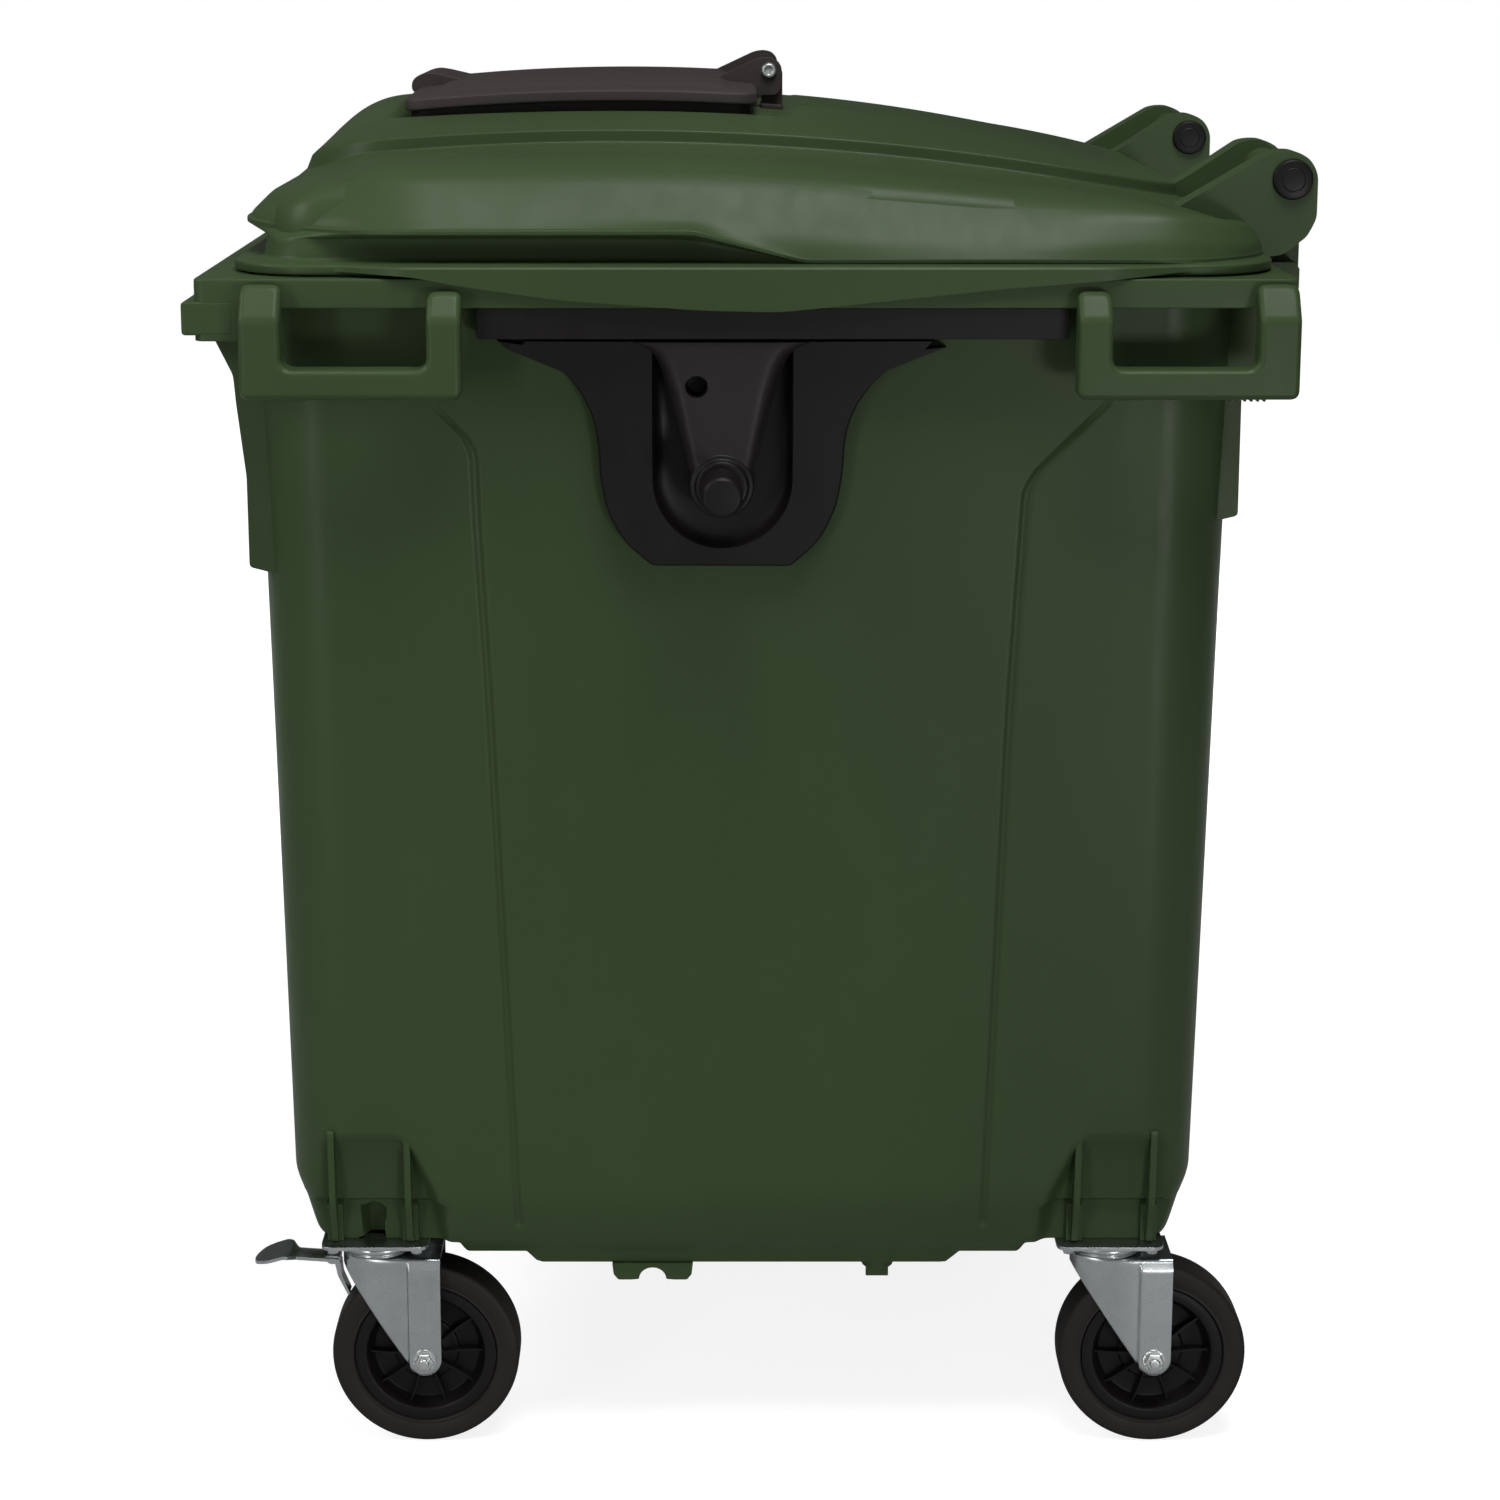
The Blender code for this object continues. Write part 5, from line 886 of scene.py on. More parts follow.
@dataclass
class TrunnionBracket:
    """The black bracket with its recess, boss, wedge and round pin."""

    y: float = -0.029
    z: float = 1.061
    face: float = 0.018
    recess: float = 0.0150
    ring: int = 288

    def wall_x(self, z: ArrayLike) -> Points:
        """The outside of the tub's side wall at a height."""
        return 0.530 + 0.045 * (np.asarray(z, float) - 0.300) / 0.963

    def outline(self) -> Points:
        """The plate's outline, from the flange's left end round to its right.

        Returns:
            Closed outline with soft shoulders.
        """
        left = [(-0.2660, 1.2002), (-0.2236, 1.1975), (-0.1985, 1.1822), (-0.1735, 1.1600), (-0.1565, 1.1290),
                (-0.1500, 1.0980), (-0.1490, 1.0640), (-0.1420, 1.0285), (-0.1245, 0.9978), (-0.0978, 0.9749)]
        right = [(0.0396, 0.9745), (0.0682, 1.0005), (0.0842, 1.0335), (0.0905, 1.0690), (0.0920, 1.1040),
                 (0.1003, 1.1320), (0.1176, 1.1580), (0.1446, 1.1803), (0.1693, 1.1965), (0.2085, 1.2002)]
        sizes = [0.001] + [0.014] * 8 + [0.004, 0.004] + [0.014] * 8 + [0.001]
        return rounded(left + right, sizes, 4)

    def u_line(self) -> Points:
        """The recess's outline: a U with a round bottom.

        Returns:
            Closed outline.
        """
        angle = np.linspace(np.pi, 2 * np.pi, 25)
        bowl = np.stack([-0.0281 + 0.0678 * np.cos(angle), 1.0620 + 0.0678 * np.sin(angle)], -1)
        left, right = np.array([(-0.0959, 1.1994), (-0.0959, 1.1300)]), np.array([(0.0397, 1.1300), (0.0397, 1.1994)])
        return np.concatenate([left, bowl, right])

    def by_angle(self, outline: Points) -> Points:
        """An outline read again at even angles about the recess's middle.

        Formula: radius as a function of angle, by straight lines between the
        outline's own points.

        Args:
            outline: (N, 2) points round the middle.

        Returns:
            (ring, 2) points.
        """
        middle = np.array([-0.0281, 1.120])
        dense = refined(np.vstack([outline, outline[:1]]), 0.0015)[:-1] - middle
        angle = np.arctan2(dense[:, 1], dense[:, 0])
        order = np.argsort(angle)
        at = np.linspace(-np.pi, np.pi, self.ring, endpoint=False)
        radius = np.hypot(dense[:, 0], dense[:, 1])
        reach = np.interp(at, angle[order], radius[order], period=2 * np.pi)
        return middle + np.stack([np.cos(at), np.sin(at)], -1) * reach[:, None]

    def plate(self, side: int, side_name: str) -> bpy.types.Object:
        """The plate with its recess and flange.

        Args:
            side: 1 for the right, -1 for the left.
            side_name: The side's word in names.

        Returns:
            The bracket's object.
        """
        outer, inner = self.by_angle(self.outline()), self.by_angle(self.u_line())

        def level(flat: Points, off: float, share: float = 0.0) -> Points:
            place = flat + (np.array([-0.0281, 1.120]) - flat) * share
            return np.stack([self.wall_x(place[:, 1]) + off, place[:, 0], place[:, 1]], -1)

        width = np.linalg.norm(outer - inner, axis=1, keepdims=True)
        edge = (outer - inner) / width
        rings = [level(outer, 0.0006), level(outer, self.face - 0.002), level(outer - edge * np.minimum(0.002, 0.3 * width), self.face),
                 level(inner + edge * np.minimum(0.0015, 0.3 * width), self.face), level(inner, self.face - 0.0015)]
        rings += [level(inner, self.face - self.recess * depth, share)
                  for share, depth in ((0.015, 0.45), (0.04, 0.70), (0.08, 0.86), (0.15, 0.96), (0.25, 1.0), (0.6, 1.0), (1.0, 1.0))]
        skin = Skin().loft(flipped(np.array(rings), side), Ends.OPEN)
        back = [level(outer, 0.0006), level(outer, 0.0006, 1.0)]
        skin.loft(flipped(np.array(back), side), Ends.OPEN)
        plate = skin.build(f"bracket_plate_{side_name}", "container", Slot.BLACK, [f"trunnion_bracket_{side_name}"])

        trim = Skin()
        slab = [(-0.2657, 1.2047), (0.3057, 1.2047), (0.3057, 1.2347), (-0.2657, 1.2347)]
        trim.loft(flipped(drawn(rounded(slab, 0.003, 3), Axis.X, 0.5745, 0.6165), side))
        back = [(-0.2400, 1.1986), (0.1830, 1.1986), (0.1830, 1.2060), (-0.2400, 1.2060)]
        trim.loft(flipped(drawn(np.array(back), Axis.X, 0.5722, 0.5790), side))
        trim.build(f"bracket_flange_{side_name}", "container", Slot.BLACK, bevel=0.0016, segments=2)
        return plate

    def wedge(self, side: int, side_name: str) -> bpy.types.Object:
        """The tapering wedge in the recess, which rises towards the boss.

        Formula: across it, a level set by |v|^4 rounds the flanks; along it, the
        half width and the rise change evenly from the flange to the boss.

        Args:
            side: 1 for the right, -1 for the left.
            side_name: The side's word in names.

        Returns:
            The wedge's object.
        """
        t = np.linspace(0.0, 1.0, 118)[:, None]
        v = np.linspace(-1.0, 1.0, 91)[None]
        half = np.interp(t, [0.0, 0.025, 0.06, 0.10, 0.17, 0.35, 0.84, 1.0], [0.100, 0.088, 0.076, 0.069, 0.0625, 0.0535, 0.0352, 0.0300])
        z = 1.2010 + (1.0600 - 1.2010) * t
        top = 1.0 - np.abs(v) ** 12
        y = self.y + half * v
        foot = self.wall_x(z) + self.face - self.recess - 0.0015
        x = foot + (0.6120 + 0.0050 * t - foot) * top
        x = x - 0.030 * (1 - smooth(0.0092, 0.0108, np.hypot(y + 0.0535, z - 1.1575)))
        grid = np.stack([np.broadcast_to(x, y.shape), y, np.broadcast_to(z, y.shape)], -1)
        base = grid.copy()
        base[..., 0] = self.wall_x(grid[..., 2]) + 0.002
        ring = np.concatenate([grid, base[:, ::-1]], axis=1)
        skin = Skin().loft(flipped(ring, side))
        wedge = skin.build(f"bracket_wedge_{side_name}", "container", Slot.BLACK)
        # The wedge gets the lighter black: a painted sheen for its lit face
        wedge.data.materials[0] = SHEEN_PAINTED_BLACK.made()
        return wedge

    def boss(self, side: int, side_name: str) -> bpy.types.Object:
        """The round boss of two steps behind the pin.

        Args:
            side: 1 for the right, -1 for the left.
            side_name: The side's word in names.

        Returns:
            The boss's object.
        """
        profile = bent([(0.0330, 0.572), (0.0324, 0.590), (0.0318, 0.6135), (0.0308, 0.6165), (0.0262, 0.6175), (0.0252, 0.6240),
                        (0.0232, 0.6250), (0.0198, 0.6250)], 0.0018, 4)
        skin = Skin().loft(flipped(lathe(profile, Axis.X, (self.y, self.z), 72), side), Ends.OPEN)
        return skin.build(f"bracket_boss_{side_name}", "container", Slot.BLACK)

    def pin(self, side: int, side_name: str) -> bpy.types.Object:
        """The round pin with its chamfered end.

        Args:
            side: 1 for the right, -1 for the left.
            side_name: The side's word in names.

        Returns:
            The pin's object.
        """
        profile = bent([(0.0, 0.5751), (0.0198, 0.5751), (0.0198, 0.6815), (0.0170, 0.6850), (0.0, 0.6850)], 0.0010, 3)
        skin = Skin().loft(flipped(lathe(profile, Axis.X, (self.y, self.z), 64), side), Ends.OPEN)
        return skin.build(f"trunnion_{side_name}", "container", Slot.BLACK, [f"trunnion_pin_{side_name}"])

    def make(self) -> list[bpy.types.Object]:
        """Both brackets with their pins."""
        makers = (self.plate, self.wedge, self.boss, self.pin)
        return [maker(side, name) for name, side in SIDES.items() for maker in makers]


# ---------------------------------------------------------------- big lid


@dataclass
class BigLid:
    """The domed lid: flange, recessed neck, visor, lower dome, step and upper dome."""

    half_x: float = 0.603
    front: float = -0.512
    rear: float = 0.5165
    radius: float = 0.088
    visor_radius: float = 0.200
    shoulder_radius: float = 0.125
    step_x: float = 0.390
    step_front: float = -0.466
    step_rear: float = 0.462
    throat_x: float = 0.205
    throat_front: float = -0.3346
    throat_rear: float = -0.0444
    wall: float = 0.0045
    columns: tuple[int, int, int] = (60, 22, 110)

    def foot_z(self, y: ArrayLike) -> Points:
        """Height of the step's foot: 1.379 - 0.178 t^2, and a little less in front."""
        y = np.asarray(y, float)
        return 1.379 - 0.178 * (y + 0.137) ** 2 - 0.014 * (1 - smooth(-0.475, -0.385, y))

    def crest_z(self, y: ArrayLike) -> Points:
        """Height of the crest line, with t = y + 0.137.

        Formula: 1.4135 - 0.0925 t^2 in front, 1.4135 - 0.19 t^2 - 0.12 t^3 behind.

        Args:
            y: Y of the points.

        Returns:
            Heights.
        """
        t = np.asarray(y, float) + 0.137
        return 1.4135 - np.where(t < 0.0, 0.0925 * t**2, 0.19 * t**2 + 0.12 * t**3)

    def seat_z(self, x: ArrayLike, y: ArrayLike) -> Points:
        """Height of the flatter seat under the small lid.

        Formula: a parabola across x, from the step's top up to 1.409 - 0.245 t^2.

        Args:
            x: X of the points.
            y: Y of the points.

        Returns:
            Heights.
        """
        t = np.asarray(y, float) + 0.137
        edge = 1.3915 - 0.178 * t**2
        return edge + (0.0175 - 0.067 * t**2) * (1.0 - (np.asarray(x, float) / 0.379) ** 2)

    def top_z(self, x: ArrayLike, y: ArrayLike) -> Points:
        """Height of the upper dome.

        Formula: the step's top plus (crest - step) (1 - |x/a|^2.2) f(y), where f
        climbs from 0 at the front and rear edges, drawn down to the small lid's
        seat inside its outline.

        Args:
            x: X of the points.
            y: Y of the points.

        Returns:
            Heights.
        """
        x, y = np.asarray(x, float), np.asarray(y, float)
        edge = self.foot_z(y) + 0.0135
        across = 1.0 - np.clip(np.abs(x) / (self.step_x - 0.003), 0.0, 1.0) ** 2.2
        front = 1.0 - (1.0 - np.clip((y - self.step_front - 0.008) / 0.080, 0.0, 1.0)) ** 3.2
        back = 1.0 - (1.0 - np.clip((self.step_rear - 0.004 - y) / 0.140, 0.0, 1.0)) ** 2
        dome = edge + (self.crest_z(y) - edge) * across * front * back
        seat = (1 - smooth(0.243, 0.262, np.abs(x))) * smooth(-0.384, -0.366, y) * (1 - smooth(0.040, 0.062, y))
        return dome + seat * np.minimum(0.0, self.seat_z(x, y) - dome)

    def back_share(self, y: ArrayLike) -> Points:
        """Zero over the front recess, one behind its end: a straight ramp in Y."""
        ramp = (np.asarray(y, float) + 0.055) / 0.106
        return np.clip(soft_max(soft_min(ramp, 1.0, 0.02), 0.0, 0.02), 0.0, 1.0)

    def ring(self, half_x: float, front: float, rear: float, near: float, far: float) -> Points:
        """The right half of a rounded rectangle, from front to rear.

        Args:
            half_x: Half its width.
            front: Y of its front.
            rear: Y of its rear.
            near: Its front corner's radius.
            far: Its rear corner's radius.

        Returns:
            (M, 2) points.
        """
        ends, corner, sides = self.columns
        share = np.linspace(0.0, 1.0, ends, endpoint=False)
        angle = np.linspace(-0.5 * np.pi, 0.0, corner, endpoint=False)
        cx, cy = half_x - near + near * np.cos(angle), front + near + near * np.sin(angle)
        sy = np.linspace(front + near, rear - far, sides, endpoint=False)
        back = np.linspace(0.0, 0.5 * np.pi, corner, endpoint=False)
        bx, by = half_x - far + far * np.cos(back), rear - far + far * np.sin(back)
        ex = (half_x - far) * (1.0 - np.append(share, 1.0))
        x = np.concatenate([(half_x - near) * share, cx, np.full(sides, half_x), bx, ex])
        y = np.concatenate([np.full(ends, front), cy, sy, by, np.full(ends + 1, rear)])
        return np.stack([x, y], -1)

    def throat(self) -> Points:
        """The right half of the throat's edge under the small lid."""
        return self.ring(self.throat_x, self.throat_front, self.throat_rear, 0.030, 0.030)

    def inset(self, front_in: float, rear_in: float, near: float | None = None, far: float | None = None) -> Points:
        """The lid's outline drawn in, by one size in front and another behind.

        Formula: inset = front + (rear - front) s(y), with s the back share, taken
        off along the outline's own radius.

        Args:
            front_in: Inset over the front recess.
            rear_in: Inset behind it.
            near: Front corner radius, by default the flange's.
            far: Rear corner radius, by default the flange's.

        Returns:
            (M, 2) points.
        """
        near, far = near or self.radius, far or self.radius
        plain = self.ring(self.half_x, self.front, self.rear, near, far)
        return self.shrunk(front_in + (rear_in - front_in) * self.back_share(plain[:, 1]), near, far)

    def shrunk(self, amount: Points, near: float, far: float) -> Points:
        """The lid's outline with each point drawn in by its own amount.

        Args:
            amount: How far, one for each point.
            near: Front corner radius.
            far: Rear corner radius.

        Returns:
            (M, 2) points.
        """
        plain = self.ring(self.half_x, self.front, self.rear, near, far)
        deep = self.ring(self.half_x - 0.05, self.front + 0.05, self.rear - 0.05, near - 0.045, far - 0.045)
        return plain + (deep - plain) * (amount / 0.05)[:, None]

    def level(self, flat: Points, z: ArrayLike) -> Points:
        """A flat ring with its heights put on."""
        return np.stack([flat[:, 0], flat[:, 1], np.broadcast_to(z, len(flat))], -1)

    def fade(self, flat: Points, front: float, rear: float) -> Points:
        """A value that changes from front to rear behind the recess."""
        return front + (rear - front) * self.back_share(flat[:, 1])

    def outer_rings(self) -> tuple[Points, list[float]]:
        """The key rings of the outside, from the seat on the rim to the crest.

        Returns:
            The rings and the rounding of each.
        """
        rows: list[Points] = []
        sizes: list[float] = []

        def put(flat: Points, z: ArrayLike, size: float) -> None:
            rows.append(self.level(flat, z))
            sizes.append(size)

        put(self.inset(0.034, 0.034), 1.2633, 0.0)
        put(self.inset(0.0080, 0.0080), 1.2633, 0.0006)
        put(self.inset(0.0080, 0.0080), 1.2651, 0.0006)
        put(self.inset(0.0014, 0.0014), 1.2651, 0.0014)
        put(self.inset(0.0014, 0.0014), 1.2744, 0.0030)
        flat = self.inset(0.0300, 0.0058)
        put(flat, self.fade(flat, 1.2762, 1.2756), 0.004)
        near, far = self.visor_radius, self.shoulder_radius
        flat = self.inset(0.0345, 0.0064)
        put(flat, self.fade(flat, 1.2975, 1.2758), 0.006)
        flat = self.inset(0.0, 0.0044, near, far)
        put(flat, self.fade(flat, 1.3036, 1.2762), 0.0010)
        visor = self.fade(flat, 1.3080, 1.2796)
        put(flat, visor, 0.0012)
        flat = self.inset(0.0036, 0.0050, near, far)
        put(flat, visor + 0.0010, 0.0012)
        y = flat[:, 1]
        base = 1.3080 - 0.0284 * smooth(-0.30, 0.24, y)
        nose, tail = 1 - smooth(-0.515, -0.220, y), smooth(0.220, 0.512, y)
        for inset, plain, front, rear, size in ((0.0120, 0.155, 0.170, 0.36, 0.010), (0.0330, 0.480, 0.500, 1.02, 0.020),
                                                (0.0540, 0.760, 0.820, 1.12, 0.025), (0.0820, 0.915, 0.975, 1.13, 0.040)):
            share = plain + (front - plain) * nose + (rear - plain) * tail
            amount = inset * (1.0 - 0.48 * nose - 0.44 * tail)
            low = 0.5 * (base + visor) if size < 0.012 else base
            put(self.shrunk(amount, near, far), low + (self.foot_z(y) - low) * share, size)
        foot = self.ring(self.step_x, self.step_front, self.step_rear, 0.110, 0.160)
        put(foot, self.foot_z(foot[:, 1]), 0.003)
        top = self.ring(self.step_x - 0.0010, self.step_front + 0.006, self.step_rear - 0.002, 0.109, 0.159)
        put(top, self.foot_z(top[:, 1]) + 0.0135, 0.0035)
        throat = self.throat()
        shares = np.concatenate([[0.975, 0.94, 0.90, 0.85], np.linspace(0.80, 0.0, 38)])
        for share in shares:
            flat = throat + (top - throat) * share
            put(flat, self.top_z(flat[:, 0], flat[:, 1]), 0.0)
        return np.array(rows), sizes

    def shell(self) -> bpy.types.Object:
        """The lid's skin, outside and inside, joined at the seat and round the throat.

        Returns:
            The lid's object.
        """
        rows, sizes = self.outer_rings()
        outside = bent(rows, sizes, 4)
        plain = [(0.034, 1.2633), (0.038, 1.2700), (0.041, 1.3000)]
        inner = [self.level(self.inset(i, i), z) for i, z in plain]
        for inset, share in ((0.0430, 0.55), (0.0600, 0.80)):
            flat = self.inset(inset, inset)
            inner.append(self.level(flat, 1.300 + (self.foot_z(flat[:, 1]) - 1.300) * share - 0.002))
        throat = self.throat()
        foot = self.ring(self.step_x - 0.006, self.step_front + 0.006, self.step_rear - 0.006, 0.105, 0.155)
        inner.append(self.level(foot, self.foot_z(foot[:, 1]) - self.wall))
        for share in np.linspace(0.93, 0.0, 26):
            flat = throat + (foot - throat) * share
            inner.append(self.level(flat, self.top_z(flat[:, 0], flat[:, 1]) - self.wall))
        skin = Skin()
        for side in SIDES.values():
            skin.loft(flipped(outside, side), Ends.OPEN, around=False)
            skin.loft(flipped(np.array(inner), side), Ends.OPEN, around=False)
            skin.loft(flipped(np.array([rows[-1], inner[-1]]), side), Ends.OPEN, around=False)
        return skin.build("lid_shell", "big_lid", Slot.GREEN, ["lid"], crease=75.0)

    def aprons(self) -> bpy.types.Object:
        """The hanging aprons along both sides with the ledge above them.

        Formula: a section of ledge and apron whose lower edge follows a curve in
        Y, carried along Y.

        Returns:
            The aprons' object.
        """
        y = np.linspace(-0.4150, 0.4400, 110)
        low = np.interp(y, [-0.4247, -0.3781, -0.3283, -0.2836, -0.1842, -0.0501, 0.0266, 0.2371, 0.4280, 0.4469],
                        [1.2690, 1.2678, 1.2660, 1.2571, 1.2432, 1.2336, 1.2317, 1.2538, 1.2690, 1.2700])
        kernel = np.hanning(9) / np.hanning(9).sum()
        low = np.convolve(np.pad(low, 4, mode="edge"), kernel, mode="valid")
        taper = smooth(-0.415, -0.33, y) * (1 - smooth(0.33, 0.44, y))
        out = 0.600 + 0.0265 * taper
        back = np.maximum(out - 0.0045, 0.598)
        rows = [(0.590 + 0 * y, 1.2690 + 0 * y), (back, np.minimum(1.2690, low + 0.0300)), (back, low), (out, low),
                (out, 1.2728 + 0 * y), (out - 0.002, 1.2748 + 0 * y), (0.590 + 0 * y, 1.2755 + 0 * y)]
        grid = np.array([np.stack([x, y, z], -1) for x, z in rows])
        skin = Skin()
        for side in SIDES.values():
            skin.loft(flipped(grid.transpose(1, 0, 2), side))
        return skin.build("lid_aprons", "big_lid", Slot.GREEN, bevel=0.0012, segments=2)

    def ears(self) -> bpy.types.Object:
        """The four ears that carry the lid on its hinge.

        Returns:
            The ears' object.
        """
        corners = [(0.395, 1.3020), (0.4259, 1.3180), (0.5200, 1.3735), (0.5310, 1.3755), (0.5450, 1.3755), (0.5600, 1.3680),
                   (0.5686, 1.3530), (0.5686, 1.3088), (0.5636, 1.2978), (0.5590, 1.2898), (0.5367, 1.2720),
                   (0.5160, 1.2690), (0.5000, 1.2900), (0.430, 1.2950)]
        sizes = [0.001, 0.006, 0.012, 0.010, 0.012, 0.012, 0.012, 0.006, 0.006, 0.006, 0.006, 0.004, 0.004, 0.001]
        outline = rounded(corners, sizes, 4)
        inner = [(0.395, 1.3040), (0.4259, 1.3190), (0.4574, 1.3320), (0.5200, 1.3735), (0.5310, 1.3755)] + corners[4:]
        inner_sizes = [0.001, 0.02, 0.03] + sizes[2:]
        valley = rounded(inner, inner_sizes, 4)
        skin = Skin()
        for side in SIDES.values():
            skin.loft(flipped(drawn(outline, Axis.X, 0.427, 0.467), side))
            skin.loft(flipped(drawn(valley, Axis.X, 0.240, 0.280), side))
            edge = np.array([(0.2420, 0.425), (0.4650, 0.425), (0.4650, 0.500), (0.2420, 0.500)])
            skin.loft(flipped(drawn(edge, Axis.Z, 1.2850, 1.3080), side))
        return skin.build("lid_ears", "big_lid", Slot.GREEN, bevel=0.0022, segments=3)

    def caps(self) -> list[bpy.types.Object]:
        """The black domed caps on the ears and the two long hinge pins.

        Returns:
            Four caps.
        """
        made = []
        for side_name, side in SIDES.items():
            for place, x in (("outer", 0.467), ("inner", 0.240)):
                low, high = frame_span(f"hinge_cap_{side_name}_{place}")
                out = side if place == "outer" else -side
                base = low if out > 0 else high
                profile = [(0.0, 0.0), (0.0203, 0.0), (0.0203, 0.0034), (0.0192, 0.0054), (0.0125, 0.0064), (0.0120, 0.0060),
                           (0.0112, 0.0066), (0.0, 0.0070)]
                rows = bent(profile, 0.0012, 3)
                rows[:, 1] = base + out * rows[:, 1]
                skin = Skin().loft(lathe(rows, Axis.X, (0.5430, 1.3472), 48), Ends.OPEN)
                node = f"hinge_cap_{side_name}_{place}"
                made.append(skin.build(f"cap_{side_name}_{place}", "big_lid", Slot.BLACK, [node]))
        return made

    def make(self) -> list[bpy.types.Object]:
        """Every piece of the big lid."""
        return [self.shell(), self.aprons(), self.ears(), *self.caps()]


def frame_span(node: str) -> tuple[float, float]:
    """The lowest and highest X of a node."""
    low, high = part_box(node)
    return low[0], high[0]


# ---------------------------------------------------------------- small lid


